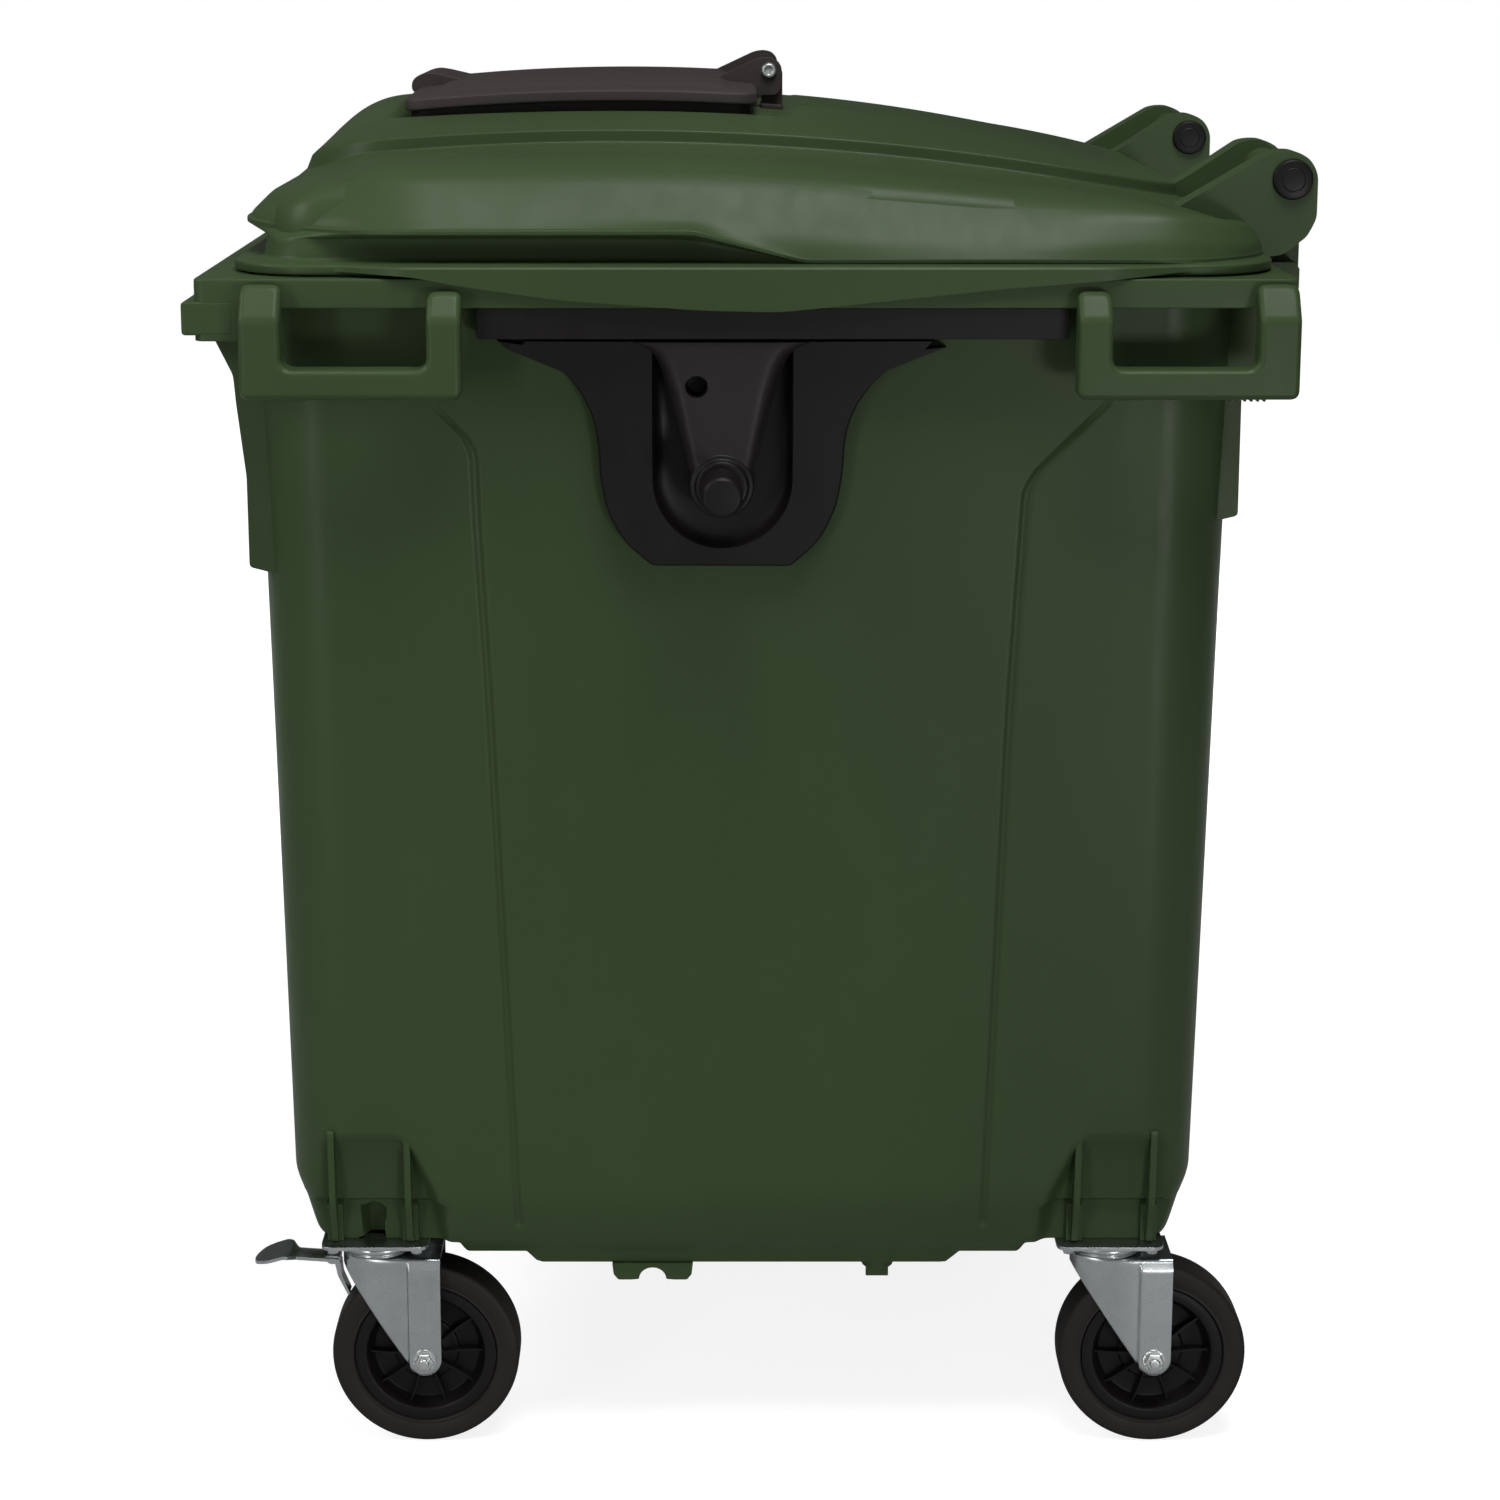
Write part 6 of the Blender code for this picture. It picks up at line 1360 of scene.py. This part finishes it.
@dataclass
class SmallLid:
    """The lid in the lid, its frame, its hinge ears, stands and bolts."""

    big: BigLid
    half_x: float = 0.245
    front: float = -0.3676
    rear: float = 0.0106
    radius: float = 0.024
    bolt: tuple[float, float] = (0.0243, 1.4417)

    def ring(self, inset: float, rise: float, radius: float | None = None) -> Points:
        """A closed rounded rectangle that lies on the big lid's curve.

        Args:
            inset: How far inside the small lid's outline.
            rise: Height over the big lid.
            radius: Corner radius, by default the lid's own less the inset.

        Returns:
            (M, 3) points.
        """
        r = max(self.radius - inset, 0.006) if radius is None else radius
        a, low, high = self.half_x - inset, self.front + inset, self.rear - inset
        corners = [(-a, low), (a, low), (a, high), (-a, high)]
        flat = rounded(corners, r * 1.4, 8)
        dense = refined(np.vstack([flat, flat[:1]]), 1.0)
        runs = np.linspace(0.0, len(dense) - 1.0, 4 * 40, endpoint=False)
        flat = np.stack([np.interp(runs, np.arange(len(dense)), dense[:, k]) for k in (0, 1)], -1)
        sides = refined(np.vstack([flat, flat[:1]]), np.full(len(flat), 0.02))[:-1]
        return np.stack([sides[:, 0], sides[:, 1], self.big.seat_z(sides[:, 0], sides[:, 1]) + rise], -1)

    def on_grid(self, insets: Sequence[float], rises: Sequence[float], across: int = 36, along: int = 30) -> Points:
        """Rings of one count of points for a lid-shaped run of insets.

        Formula: each ring is a rounded rectangle with a corner radius that
        shrinks with its inset, with the same shares along its sides.

        Args:
            insets: Inset of each ring.
            rises: Height of each over the big lid's curve.
            across: Points along a front or rear edge.
            along: Points along a side.

        Returns:
            (R, M, 3) points.
        """
        rings = []
        for inset, rise in zip(insets, rises):
            r = max(self.radius - inset, 0.004)
            a, low, high = self.half_x - inset, self.front + inset, self.rear - inset
            arcs = []
            for k, (cx, cy) in enumerate(((a - r, low + r), (a - r, high - r), (r - a, high - r), (r - a, low + r))):
                t = np.linspace(-0.5 * np.pi, 0.0, 8) + k * 0.5 * np.pi
                arcs.append(np.stack([cx + r * np.cos(t), cy + r * np.sin(t)], -1))
            runs = []
            for k in range(4):
                start, end = arcs[k][-1], arcs[(k + 1) % 4][0]
                count = along if k % 2 == 0 else across
                t = np.linspace(0.0, 1.0, count + 2)[1:-1, None]
                runs += [arcs[k], start + (end - start) * t]
            flat = np.concatenate(runs)
            rings.append(np.stack([flat[:, 0], flat[:, 1], self.big.seat_z(flat[:, 0], flat[:, 1]) + rise], -1))
        return np.array(rings)

    def filled(self, rings: Points, rise: float) -> Points:
        """Closes a run of rings over its middle, on the big lid's curve.

        Args:
            rings: (R, M, 3) points.
            rise: Height of the middle part over the curve.

        Returns:
            The rings with a few more that shrink to a point.
        """
        last = rings[-1]
        middle = np.array([0.0, 0.5 * (self.front + self.rear)])
        added = []
        for share in (0.8, 0.6, 0.4, 0.2, 0.0):
            flat = middle + (last[:, :2] - middle) * share
            added.append(np.stack([flat[:, 0], flat[:, 1], self.big.seat_z(flat[:, 0], flat[:, 1]) + rise], -1))
        return np.concatenate([rings, np.array(added)])

    def lid(self) -> bpy.types.Object:
        """The small lid's skin with its raised panel.

        Returns:
            The small lid's object.
        """
        insets = [0.0050, 0.0010, 0.0, 0.0008, 0.0055, 0.0300, 0.0380, 0.0430]
        rises = [0.0121, 0.0121, 0.0140, 0.0235, 0.0256, 0.0262, 0.0292, 0.0298]
        upper = self.filled(bent(self.on_grid(insets, rises), 0.0015, 3), 0.0298)
        lower = self.filled(self.on_grid([0.0050, 0.0060, 0.0100], [0.0121, 0.0200, 0.0215]), 0.0215)
        skin = Skin().loft(upper, Ends.OPEN)
        skin.loft(lower, Ends.OPEN)
        return skin.build("small_lid_skin", "lid_in_lid", Slot.GREY, ["small_lid"])

    def fittings(self) -> list[bpy.types.Object]:
        """The grip boss in front, the raised pads, the ears, stands and bolts.

        Returns:
            The pieces.
        """
        made = []
        boss = np.array([(-0.3600, 1.4100), (-0.3735, 1.4180), (-0.3725, 1.4290), (-0.3655, 1.4350), (-0.3540, 1.4378),
                         (-0.3420, 1.4360), (-0.3120, 1.4290), (-0.3050, 1.4180)])
        skin = Skin().loft(drawn(rounded(boss, 0.005, 3), Axis.X, -0.080, 0.080))
        made.append(skin.build("small_lid_grip", "lid_in_lid", Slot.GREY, bevel=0.0035, segments=3))
        y, z = self.bolt
        r = 0.0145
        shares = [(-5.30, -1.15), (-1.00, 0.86), (-0.50, 0.98), (0.00, 1.00), (0.55, 0.84), (0.90, 0.44), (1.00, 0.00),
                  (0.97, -1.20), (0.60, -1.85), (-0.95, -1.85), (-1.30, -1.45), (-5.30, -1.45)]
        ear = rounded([(y + a * r, z + b * r) for a, b in shares], 0.004, 3)
        skin = Skin()
        for side in SIDES.values():
            skin.loft(flipped(drawn(ear, Axis.X, 0.1142, 0.1240), side))
        made.append(skin.build("small_lid_ears", "lid_in_lid", Slot.GREY, bevel=0.0010, segments=2))
        post = [(-0.55, -2.60), (-0.55, -0.60), (-0.62, 0.30), (-0.20, 0.72), (0.35, 0.68), (0.75, 0.30), (1.05, -0.10),
                (1.05, -2.60)]
        shape = rounded([(y + a * r, z + b * r) for a, b in post], 0.002, 3)
        for side_name, side in SIDES.items():
            low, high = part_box(f"small_lid_stand_{side_name}")
            skin = Skin().loft(flipped(drawn(shape, Axis.X, 0.1005, 0.1135), side))
            base = np.array([(0.086, 0.0150), (0.132, 0.0150), (0.132, 0.0400), (0.086, 0.0400)])
            plan = rounded(base, 0.003, 3)
            seat = self.big.seat_z(plan[:, 0], plan[:, 1])
            ring = drawn(plan, Axis.Z, seat + 0.0004, seat + 0.0044)
            skin.loft(flipped(ring, side))
            made.append(skin.build(f"stand_{side_name}", "big_lid", Slot.GREY, [f"small_lid_stand_{side_name}"],
                                   0.0008, 2))
            head = [(0.0, 0.1244), (0.0088, 0.1244), (0.0088, 0.1262), (0.0070, 0.1290), (0.0045, 0.1290), (0.0040, 0.1272),
                    (0.0, 0.1270)]
            skin = Skin().loft(flipped(lathe(bent(head, 0.0005, 2), Axis.X, self.bolt, 32), side), Ends.OPEN)
            rod = [(0.0, 0.1000), (0.0038, 0.1000), (0.0038, 0.1250), (0.0, 0.1250)]
            skin.loft(flipped(lathe(rod, Axis.X, self.bolt, 20), side), Ends.OPEN)
            made.append(skin.build(f"hinge_bolt_{side_name}", "lid_in_lid", Slot.BRIGHT,
                                   [f"small_lid_bolt_{side_name}"]))
        return made

    def seat(self) -> bpy.types.Object:
        """The black frame round the throat.

        Returns:
            The frame's object.
        """
        rings = self.on_grid([0.0065, 0.0060, 0.0065, 0.0355, 0.0360, 0.0355], [0.0006, 0.0020, 0.0113, 0.0115, 0.0100, 0.0006])
        skin = Skin().loft(rings, Ends.LOOP)
        return skin.build("throat_frame", "big_lid", Slot.BLACK, ["small_lid_frame"])

    def make(self) -> list[bpy.types.Object]:
        """Every piece of the small lid."""
        return [self.lid(), self.seat(), *self.fittings()]


# ---------------------------------------------------------------- casters


@dataclass
class Caster:
    """One swivel caster: plate, head, fork, axle, spoked hub, tyre and brake."""

    end: str
    side_name: str
    trail: float = 0.050
    axle: float = 0.100
    fork_top: float = 0.2127
    narrow: float = 0.0345
    wide: float = 0.0380

    def __post_init__(self) -> None:
        """Reads the caster's place and side from the frame."""
        low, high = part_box(self.node("swivel_head"))
        self.x, self.y = 0.5 * (low[0] + high[0]), 0.5 * (low[1] + high[1])
        self.side = SIDES[self.side_name]

    def node(self, part: str) -> str:
        """The name of one of this caster's nodes."""
        return f"caster_{self.end}_{self.side_name}_{part}"

    def body(self, kind: str) -> str:
        """The name of one of this caster's bodies."""
        return f"{kind}_{self.end}_{self.side_name}"

    def set_down(self, points: ArrayLike) -> Points:
        """Points about the swivel axis, with the nut outwards, put in place."""
        return np.asarray(points, float) * np.array([self.side, 1.0, 1.0]) + np.array([self.x, self.y, 0.0])

    def plate(self) -> bpy.types.Object:
        """The top plate with its four bolts.

        Returns:
            The plate's object.
        """
        flat = rounded([(-0.050, -0.0565), (0.050, -0.0565), (0.050, 0.0565), (-0.050, 0.0565)], 0.014, 6)
        skin = Skin().loft(self.set_down(drawn(flat, Axis.Z, 0.2287, 0.2327)))
        for x in (-0.0385, 0.0385):
            for y in (-0.0440, 0.0440):
                washer = lathe(bent([(0.0, 0.2290), (0.0082, 0.2290), (0.0082, 0.2274), (0.0, 0.2274)], 0.0004, 2), Axis.Z, (x, y), 24)
                skin.loft(self.set_down(washer), Ends.OPEN)
                head = lathe(bent([(0.0, 0.2276), (0.0065, 0.2276), (0.0065, 0.2236), (0.0056, 0.2224), (0.0, 0.2220)], 0.0006, 2), Axis.Z, (x, y), 6)
                skin.loft(self.set_down(head), Ends.OPEN)
        return skin.build(self.node("top_plate"), "container", Slot.ZINC, [self.node("plate")], 0.0008, 2)

    def head(self) -> bpy.types.Object:
        """The swivel head: two pressed cups with the ball race between them.

        Returns:
            The head's object.
        """
        keys = [(0.0, 0.2284), (0.0372, 0.2284), (0.0375, 0.2262), (0.0400, 0.2235), (0.0400, 0.2200), (0.0385, 0.2188),
                (0.0385, 0.2180), (0.0395, 0.2165), (0.0360, 0.2135), (0.0340, 0.2130), (0.0, 0.2130)]
        rows = bent(keys, 0.0015, 4)
        skin = Skin().loft(self.set_down(lathe(rows, Axis.Z, (0.0, 0.0), 72)), Ends.OPEN)
        return skin.build(self.node("bearing"), self.body("swivel"), Slot.ZINC, [self.node("swivel_head")])

    def fork(self) -> bpy.types.Object:
        """The pressed fork: a crown and two legs from one sheet.

        Formula: in plan a U of half width w(y) that opens to the rear; each point
        of the U carries a column from the crown's middle line over a rounded
        shoulder down to the lower edge, which is level at the nose, slants to the
        axle boss and follows its round.

        Returns:
            The fork's object.
        """
        r = 0.0178
        arc = np.linspace(0.0, 0.5 * np.pi, 16)
        nose = np.stack([self.narrow * np.sin(arc), 0.028 - (self.wide + 0.028) * np.cos(arc)], -1)
        end = self.trail + r
        leg_y = np.concatenate([np.linspace(0.028, 0.030, 2)[1:], np.linspace(0.030, 0.036, 9)[1:],
                                end - r * (1 - np.sin(np.linspace(-0.3, 0.5 * np.pi, 22)))])
        leg_y = np.unique(np.round(leg_y, 6))
        leg = np.stack([np.full_like(leg_y, self.narrow), leg_y], -1)
        half = np.vstack([nose, leg])
        plan = np.vstack([half[::-1] * [-1, 1], half[1:]])
        y = plan[:, 1]
        start = np.array([-0.0375, 0.1985])
        tangent = np.array([self.trail - r * math.cos(math.radians(40)), self.axle - r * math.sin(math.radians(40))])
        slant = np.interp(y, [start[0], tangent[0]], [start[1], tangent[1]])
        round_low = self.axle - np.sqrt(np.maximum(0.0, r**2 - (y - self.trail) ** 2))
        low = np.where(y < start[0], start[1], np.where(y < tangent[0], slant, round_low))
        crown = np.stack([0 * y, np.maximum(y, -0.002), 0 * y + self.fork_top], -1)
        upper = np.stack([plan[:, 0], y, 0 * y + self.fork_top], -1)
        lower = np.stack([plan[:, 0], y, low], -1)
        keys = np.array([crown, 0.5 * (crown + upper), upper, lower])
        top = bent(keys, [0, 0, 0.005, 0], 5)
        drop = top[-2:]
        share = np.linspace(0.0, 1.0, 26)[1:, None, None]
        grid = np.concatenate([top[:-1], drop[0] + (drop[1] - drop[0]) * share])
        swell = (self.wide - self.narrow) * smooth(0.0315, 0.0350, grid[..., 1]) * (1 - smooth(0.2030, 0.2065, grid[..., 2]))
        grid[..., 0] += np.sign(grid[..., 0]) * swell * (np.abs(grid[..., 0]) > 0.03)
        skin = Skin().loft(self.set_down(grid), Ends.OPEN, around=False)
        return skin.build(self.node("fork_sheet"), self.body("swivel"), Slot.ZINC, [self.node("fork")], 0.0, 2, 0.0034)

    def axle_set(self) -> bpy.types.Object:
        """The axle's head, nut and threaded end.

        Returns:
            The axle's object.
        """
        skin = Skin()
        centre = (self.trail, self.axle)
        washer = [(0.0, 0.0381), (0.0122, 0.0381), (0.0122, 0.0396), (0.0, 0.0396)]
        skin.loft(self.set_down(lathe(bent(washer, 0.0004, 2), Axis.X, centre, 36)), Ends.OPEN)
        nut = [(0.0, 0.0394), (0.0098, 0.0394), (0.0104, 0.0402), (0.0104, 0.0446), (0.0090, 0.0458), (0.0, 0.0458)]
        skin.loft(self.set_down(lathe(bent(nut, 0.0005, 2), Axis.X, centre, 6)), Ends.OPEN)
        end = [(0.0, 0.0450), (0.0055, 0.0450), (0.0055, 0.0490), (0.0046, 0.0503), (0.0, 0.0503)]
        skin.loft(self.set_down(lathe(bent(end, 0.0005, 2), Axis.X, centre, 24)), Ends.OPEN)
        head = [(0.0, -0.0381), (0.0104, -0.0381), (0.0104, -0.0430), (0.0092, -0.0443), (0.0, -0.0443)]
        skin.loft(self.set_down(lathe(bent(head, 0.0005, 2), Axis.X, centre, 6)), Ends.OPEN)
        rod = [(0.0, -0.0400), (0.0054, -0.0400), (0.0054, 0.0400), (0.0, 0.0400)]
        skin.loft(self.set_down(lathe(rod, Axis.X, centre, 20)), Ends.OPEN)
        return skin.build(self.node("axle_set"), self.body("swivel"), Slot.BRIGHT,
                          [self.node("axle_bolt"), self.node("axle_nut")], 0.0005, 2)

    def hub(self) -> bpy.types.Object:
        """The hub: rim, web, barrel and ten thin curved spokes on both faces.

        Returns:
            The hub's object.
        """
        centre = (self.trail, self.axle)
        rim = [(0.0750, -0.0222), (0.0750, 0.0215), (0.0700, 0.0222), (0.0645, 0.0222), (0.0628, 0.0205), (0.0600, 0.0100),
               (0.0560, 0.0045), (0.0350, 0.0045), (0.0335, 0.0075), (0.0270, 0.0080), (0.0170, 0.0100), (0.0165, 0.0330),
               (0.0150, 0.0340), (0.0060, 0.0340)]
        rows = np.array(rim)
        back = rows[::-1] * [1, -1]
        profile = bent(np.vstack([rows[1:], back[:-1]]), 0.0012, 3)
        skin = Skin().loft(self.set_down(lathe(profile, Axis.X, centre, 80)), Ends.LOOP)
        s = np.linspace(0.0, 1.0, 9)
        radius = 0.0160 + (0.0640 - 0.0160) * s
        sweep = 0.035 * np.sin(np.pi * s)
        path = np.stack([radius * np.cos(sweep), radius * np.sin(sweep)], -1)
        along = np.gradient(path, axis=0)
        normal = np.stack([-along[:, 1], along[:, 0]], -1) / np.linalg.norm(along, axis=1, keepdims=True)
        outline = np.vstack([path + normal * 0.0010, (path - normal * 0.0010)[::-1]]) + np.array(centre)
        high = 0.0185 - 0.0055 * np.clip((np.hypot(outline[:, 0] - centre[0], outline[:, 1] - centre[1]) - 0.02) / 0.04, 0, 1)
        for k in range(10):
            for sign in (1, -1):
                spoke = drawn(outline, Axis.X, 0.0, sign * high)
                skin.loft(self.set_down(turned(spoke, Axis.X, centre, 2 * math.pi * k / 10)))
        return skin.build(self.node("spoked_hub"), self.body("wheel"), Slot.BLACK, [self.node("hub")])

    def tyre(self) -> bpy.types.Object:
        """The solid rubber tyre with a ring step on its face and soft shoulders.

        Returns:
            The tyre's object.
        """
        face = [(0.0753, 0.0190), (0.0768, 0.0232), (0.0775, 0.0243), (0.0795, 0.0236), (0.0815, 0.0243), (0.0860, 0.0250),
                (0.0945, 0.0250), (0.0985, 0.0232), (0.0998, 0.0195), (0.0999, 0.0100)]
        rows = np.array(face)
        profile = bent(np.vstack([rows, rows[::-1] * [1, -1]]), 0.0016, 3)
        skin = Skin().loft(self.set_down(lathe(profile, Axis.X, (self.trail, self.axle), 112)), Ends.LOOP)
        return skin.build(self.node("rubber"), self.body("wheel"), Slot.RUBBER, [self.node("tyre")])

    def brake(self) -> bpy.types.Object:
        """The stamped brake lever: a broad pad, a stepped arm and the shoe.

        Returns:
            The lever's object.
        """
        y = np.concatenate([-0.1325 + 0.024 * (1 - np.cos(np.linspace(0.0, 0.5 * np.pi, 12))), np.linspace(-0.1070, -0.0420, 34)])
        round_half = 0.0240 * np.sqrt(np.clip(1 - ((y + 0.1085) / 0.0241) ** 2, 0.0, 1.0))
        half = np.where(y < -0.1085, round_half, 0.0240 - 0.0110 * smooth(-0.0960, -0.0860, y))
        mid = np.interp(y, [-0.1325, -0.1240, -0.1010, -0.0930, -0.0860, -0.0420],
                        [0.1985, 0.2025, 0.2095, 0.2100, 0.2070, 0.2040])
        across = np.linspace(-1.0, 1.0, 17)
        dish = 0.0022 * (across**2) * smooth(-0.100, -0.088, y)[:, None]
        upper = np.stack([half[:, None] * across, np.broadcast_to(y[:, None], (len(y), 17)), mid[:, None] + 0.0018 - dish], -1)
        lower = upper[:, ::-1] - np.array([0.0, 0.0, 0.0036])
        skin = Skin().loft(self.set_down(np.concatenate([upper, lower], axis=1)))
        arm = [(-0.0600, 0.2050), (-0.0500, 0.2072), (-0.0410, 0.2060), (-0.0410, 0.1975), (-0.0520, 0.1975)]
        skin.loft(self.set_down(drawn(rounded(arm, 0.002, 3), Axis.X, -0.0110, 0.0110)))
        shoe = [(-0.0470, 0.1990), (-0.0405, 0.1990), (-0.0392, 0.1830), (-0.0310, 0.1630), (-0.0332, 0.1610), (-0.0436, 0.1830)]
        skin.loft(self.set_down(drawn(rounded(shoe, 0.002, 3), Axis.X, -0.0090, 0.0090)))
        return skin.build(self.node("lever"), self.body("brake"), Slot.ZINC, [self.node("brake_pedal")], 0.0009, 2)

    def make(self) -> list[bpy.types.Object]:
        """Every piece of this caster."""
        made = [self.plate(), self.head(), self.fork(), self.axle_set(), self.hub(), self.tyre()]
        if self.end == "front":
            made.append(self.brake())
        return made


# ---------------------------------------------------------------- studio


@dataclass
class Studio:
    """The camera, the plain pale floor, the white surroundings and the soft lights."""

    lens: float = 76.8
    place: tuple[float, float, float] = (3.69, -0.0405, 1.579)
    tilt: float = 78.4
    shift: tuple[float, float] = (0.0267, -0.10)
    sky: float = 0.22
    gloss_low: float = 0.06
    gloss_high: float = 0.30
    glow: float = 0.82

    def camera(self) -> None:
        """Puts the camera at the photograph's viewing angle."""
        data = bpy.data.cameras.new("camera")
        data.lens = self.lens
        data.sensor_width = 36.0
        data.shift_x, data.shift_y = self.shift
        data.dof.use_dof = False
        camera = bpy.data.objects.new("camera", data)
        camera.location = self.place
        camera.rotation_euler = (math.radians(self.tilt), 0.0, math.radians(90.0))
        bpy.context.scene.collection.objects.link(camera)
        bpy.context.scene.camera = camera

    def seen(self, graph: Graph) -> tuple[bpy.types.NodeSocket, bpy.types.NodeSocket]:
        """One for camera and transmission rays, and one for glossy rays."""
        path = graph.add("ShaderNodeLightPath").outputs
        links = {0: path["Is Camera Ray"], 1: path["Is Transmission Ray"]}
        return graph.add("ShaderNodeMath", links, operation="MAXIMUM").outputs[0], path["Is Glossy Ray"]

    def chosen(self, graph: Graph, share: bpy.types.NodeSocket, plain: object, other: object) -> bpy.types.NodeSocket:
        """One of two strengths, by a share of zero or one.

        Args:
            graph: The tree that the node goes into.
            share: Zero for plain, one for other.
            plain: A number or a socket.
            other: A number or a socket.

        Returns:
            The strength's socket.
        """
        node = graph.add("ShaderNodeMix", {0: share})
        for key, value in ((2, plain), (3, other)):
            if isinstance(value, float):
                node.inputs[key].default_value = value
            else:
                graph.tree.links.new(value, node.inputs[key])
        return node.outputs[0]

    def bands(self, graph: Graph, way: bpy.types.NodeSocket) -> bpy.types.NodeSocket:
        """Soft upright bands round the studio, as 1 + 0.55 sin(6 a) of the heading a.

        Args:
            graph: The world's tree.
            way: The direction of the ray.

        Returns:
            The factor's socket.
        """
        parts = graph.add("ShaderNodeSeparateXYZ", {0: way}).outputs
        node = graph.add("ShaderNodeMath", {0: parts["Y"], 1: parts["X"]}, operation="ARCTAN2")
        for kind, number in (("MULTIPLY", 6.0), ("SINE", 0.0), ("MULTIPLY", 0.55), ("ADD", 1.0)):
            node = graph.add("ShaderNodeMath", {0: node.outputs[0]}, operation=kind)
            node.inputs[1].default_value = number
        return node.outputs[0]

    def world(self) -> None:
        """A white background, whose gloss is brightest behind the camera and above."""
        world = bpy.data.worlds.new("studio")
        bpy.context.scene.world = world
        world.use_nodes = True
        graph = Graph(world.node_tree)
        ground = world.node_tree.nodes["Background"]
        ground.inputs["Color"].default_value = (1.0, 1.0, 1.0, 1.0)
        way = graph.add("ShaderNodeTexCoord").outputs["Generated"]
        lean = graph.add("ShaderNodeVectorMath", {0: way}, operation="DOT_PRODUCT")
        lean.inputs[1].default_value = (0.86, 0.05, 0.50)
        gloss = graph.span(lean.outputs["Value"], -0.30, 0.90, self.gloss_low, self.gloss_high)
        gloss = graph.add("ShaderNodeMath", {0: gloss, 1: self.bands(graph, way)}, operation="MULTIPLY").outputs[0]
        seen, glossy = self.seen(graph)
        strength = self.chosen(graph, seen, self.chosen(graph, glossy, self.sky, gloss), 1.0)
        world.node_tree.links.new(strength, ground.inputs["Strength"])

    def floor(self) -> None:
        """A pale floor that stays white to the camera and keeps the soft shadow."""
        mesh = bpy.data.meshes.new("floor")
        size = 9.0
        mesh.from_pydata([(-size, -size, 0), (size, -size, 0), (size, size, 0), (-size, size, 0)], [], [(0, 1, 2, 3)])
        floor = bpy.data.objects.new("floor", mesh)
        bpy.context.scene.collection.objects.link(floor)
        material = bpy.data.materials.new("pale_floor")
        material.use_nodes = True
        tree = material.node_tree
        graph = Graph(tree)
        tree.nodes.remove(tree.nodes["Principled BSDF"])
        plain = graph.add("ShaderNodeBsdfDiffuse")
        plain.inputs["Color"].default_value = (0.36, 0.36, 0.36, 1.0)
        glow = graph.add("ShaderNodeEmission")
        seen, glossy = self.seen(graph)
        place = graph.add("ShaderNodeTexCoord").outputs["Object"]
        away = graph.add("ShaderNodeVectorMath", {0: place}, operation="LENGTH").outputs["Value"]
        shown = graph.span(away, 1.0, 3.0, self.glow, 1.0)
        strength = self.chosen(graph, seen, self.chosen(graph, glossy, 0.0, 0.05), shown)
        tree.links.new(strength, glow.inputs["Strength"])
        both = graph.add("ShaderNodeAddShader", {0: plain.outputs[0], 1: glow.outputs[0]})
        tree.links.new(both.outputs[0], tree.nodes["Material Output"].inputs["Surface"])
        mesh.materials.append(material)

    def light(self, name: str, place: Sequence[float], aim: Sequence[float], size: Sequence[float], power: float,
              sheen: bool = True) -> None:
        """A soft rectangular lamp.

        Args:
            name: Its name.
            place: Where it hangs.
            aim: What it points at.
            size: Width and height.
            power: Watts.
            sheen: Whether gloss shows it.
        """
        data = bpy.data.lights.new(name, "AREA")
        data.shape = "RECTANGLE"
        data.size, data.size_y = size
        data.energy = power
        lamp = bpy.data.objects.new(name, data)
        lamp.visible_glossy = sheen
        lamp.location = place
        away = np.array(aim, float) - np.array(place, float)
        flat = math.hypot(away[0], away[1])
        lamp.rotation_euler = (math.atan2(flat, -away[2]), 0.0, math.atan2(away[1], away[0]) - 0.5 * math.pi)
        bpy.context.scene.collection.objects.link(lamp)

    def make(self) -> None:
        """Sets the whole studio."""
        self.camera()
        self.world()
        self.floor()
        self.light("key", (1.71, 0.35, 4.74), (0.0, 0.0, 0.9), (2.0, 2.0), 186.0)
        self.light("left_high", (1.4, -3.4, 3.3), (0.1, -0.4, 1.2), (1.2, 1.2), 62.0)
        self.light("fill", (6.2, 0.3, 1.7), (0.4, 0.0, 0.8), (3.2, 2.4), 9.0)
        self.light("left_strip", (3.12, -1.95, 0.9), (0.5, -0.4, 0.6), (0.4, 1.6), 22.0)
        self.light("right_strip", (3.65, 1.45, 0.32), (0.5, 0.4, 0.5), (0.6, 0.5), 34.0)
        self.light("rear_fill", (-3.6, 2.6, 0.85), (0.0, 0.0, 0.6), (3.0, 1.2), 95.0, False)
        self.light("front_fill", (-2.8, -3.2, 0.85), (0.0, 0.0, 0.6), (2.4, 1.2), 60.0, False)
        bpy.context.scene.view_settings.view_transform = "Standard"


def finish_nodes() -> None:
    """Gives every carried-over node the procedural finish of its own slot."""
    slots = {row["node"]: Slot(row["material_slot"]) for row in frame["record"]["subparts"]}
    for name, node in frame["nodes"].items():
        material = FINISHES[slots[name]].made()
        if not node.material_slots:
            node.data.materials.append(material)
        for slot in node.material_slots:
            slot.material = material


def corners(box: Sequence[Sequence[float]]) -> list[list[float]]:
    """A box as plain lists of numbers."""
    return [[float(v) for v in corner] for corner in box]


def main() -> None:
    """Builds the container's sub-assemblies in order."""
    logging.basicConfig(level=logging.INFO, format="%(name)s %(message)s")
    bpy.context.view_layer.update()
    Studio().make()
    finish_nodes()
    lid = BigLid()
    parts = [Tub(), SideHandles(), TrunnionBracket(), lid, SmallLid(lid)]
    parts += [Caster(end, side) for end in ("front", "rear") for side in SIDES]
    for part in parts:
        made = part.make()
        log.info("%s: %d pieces", type(part).__name__, len(made))


if __name__ == "__main__":
    main()
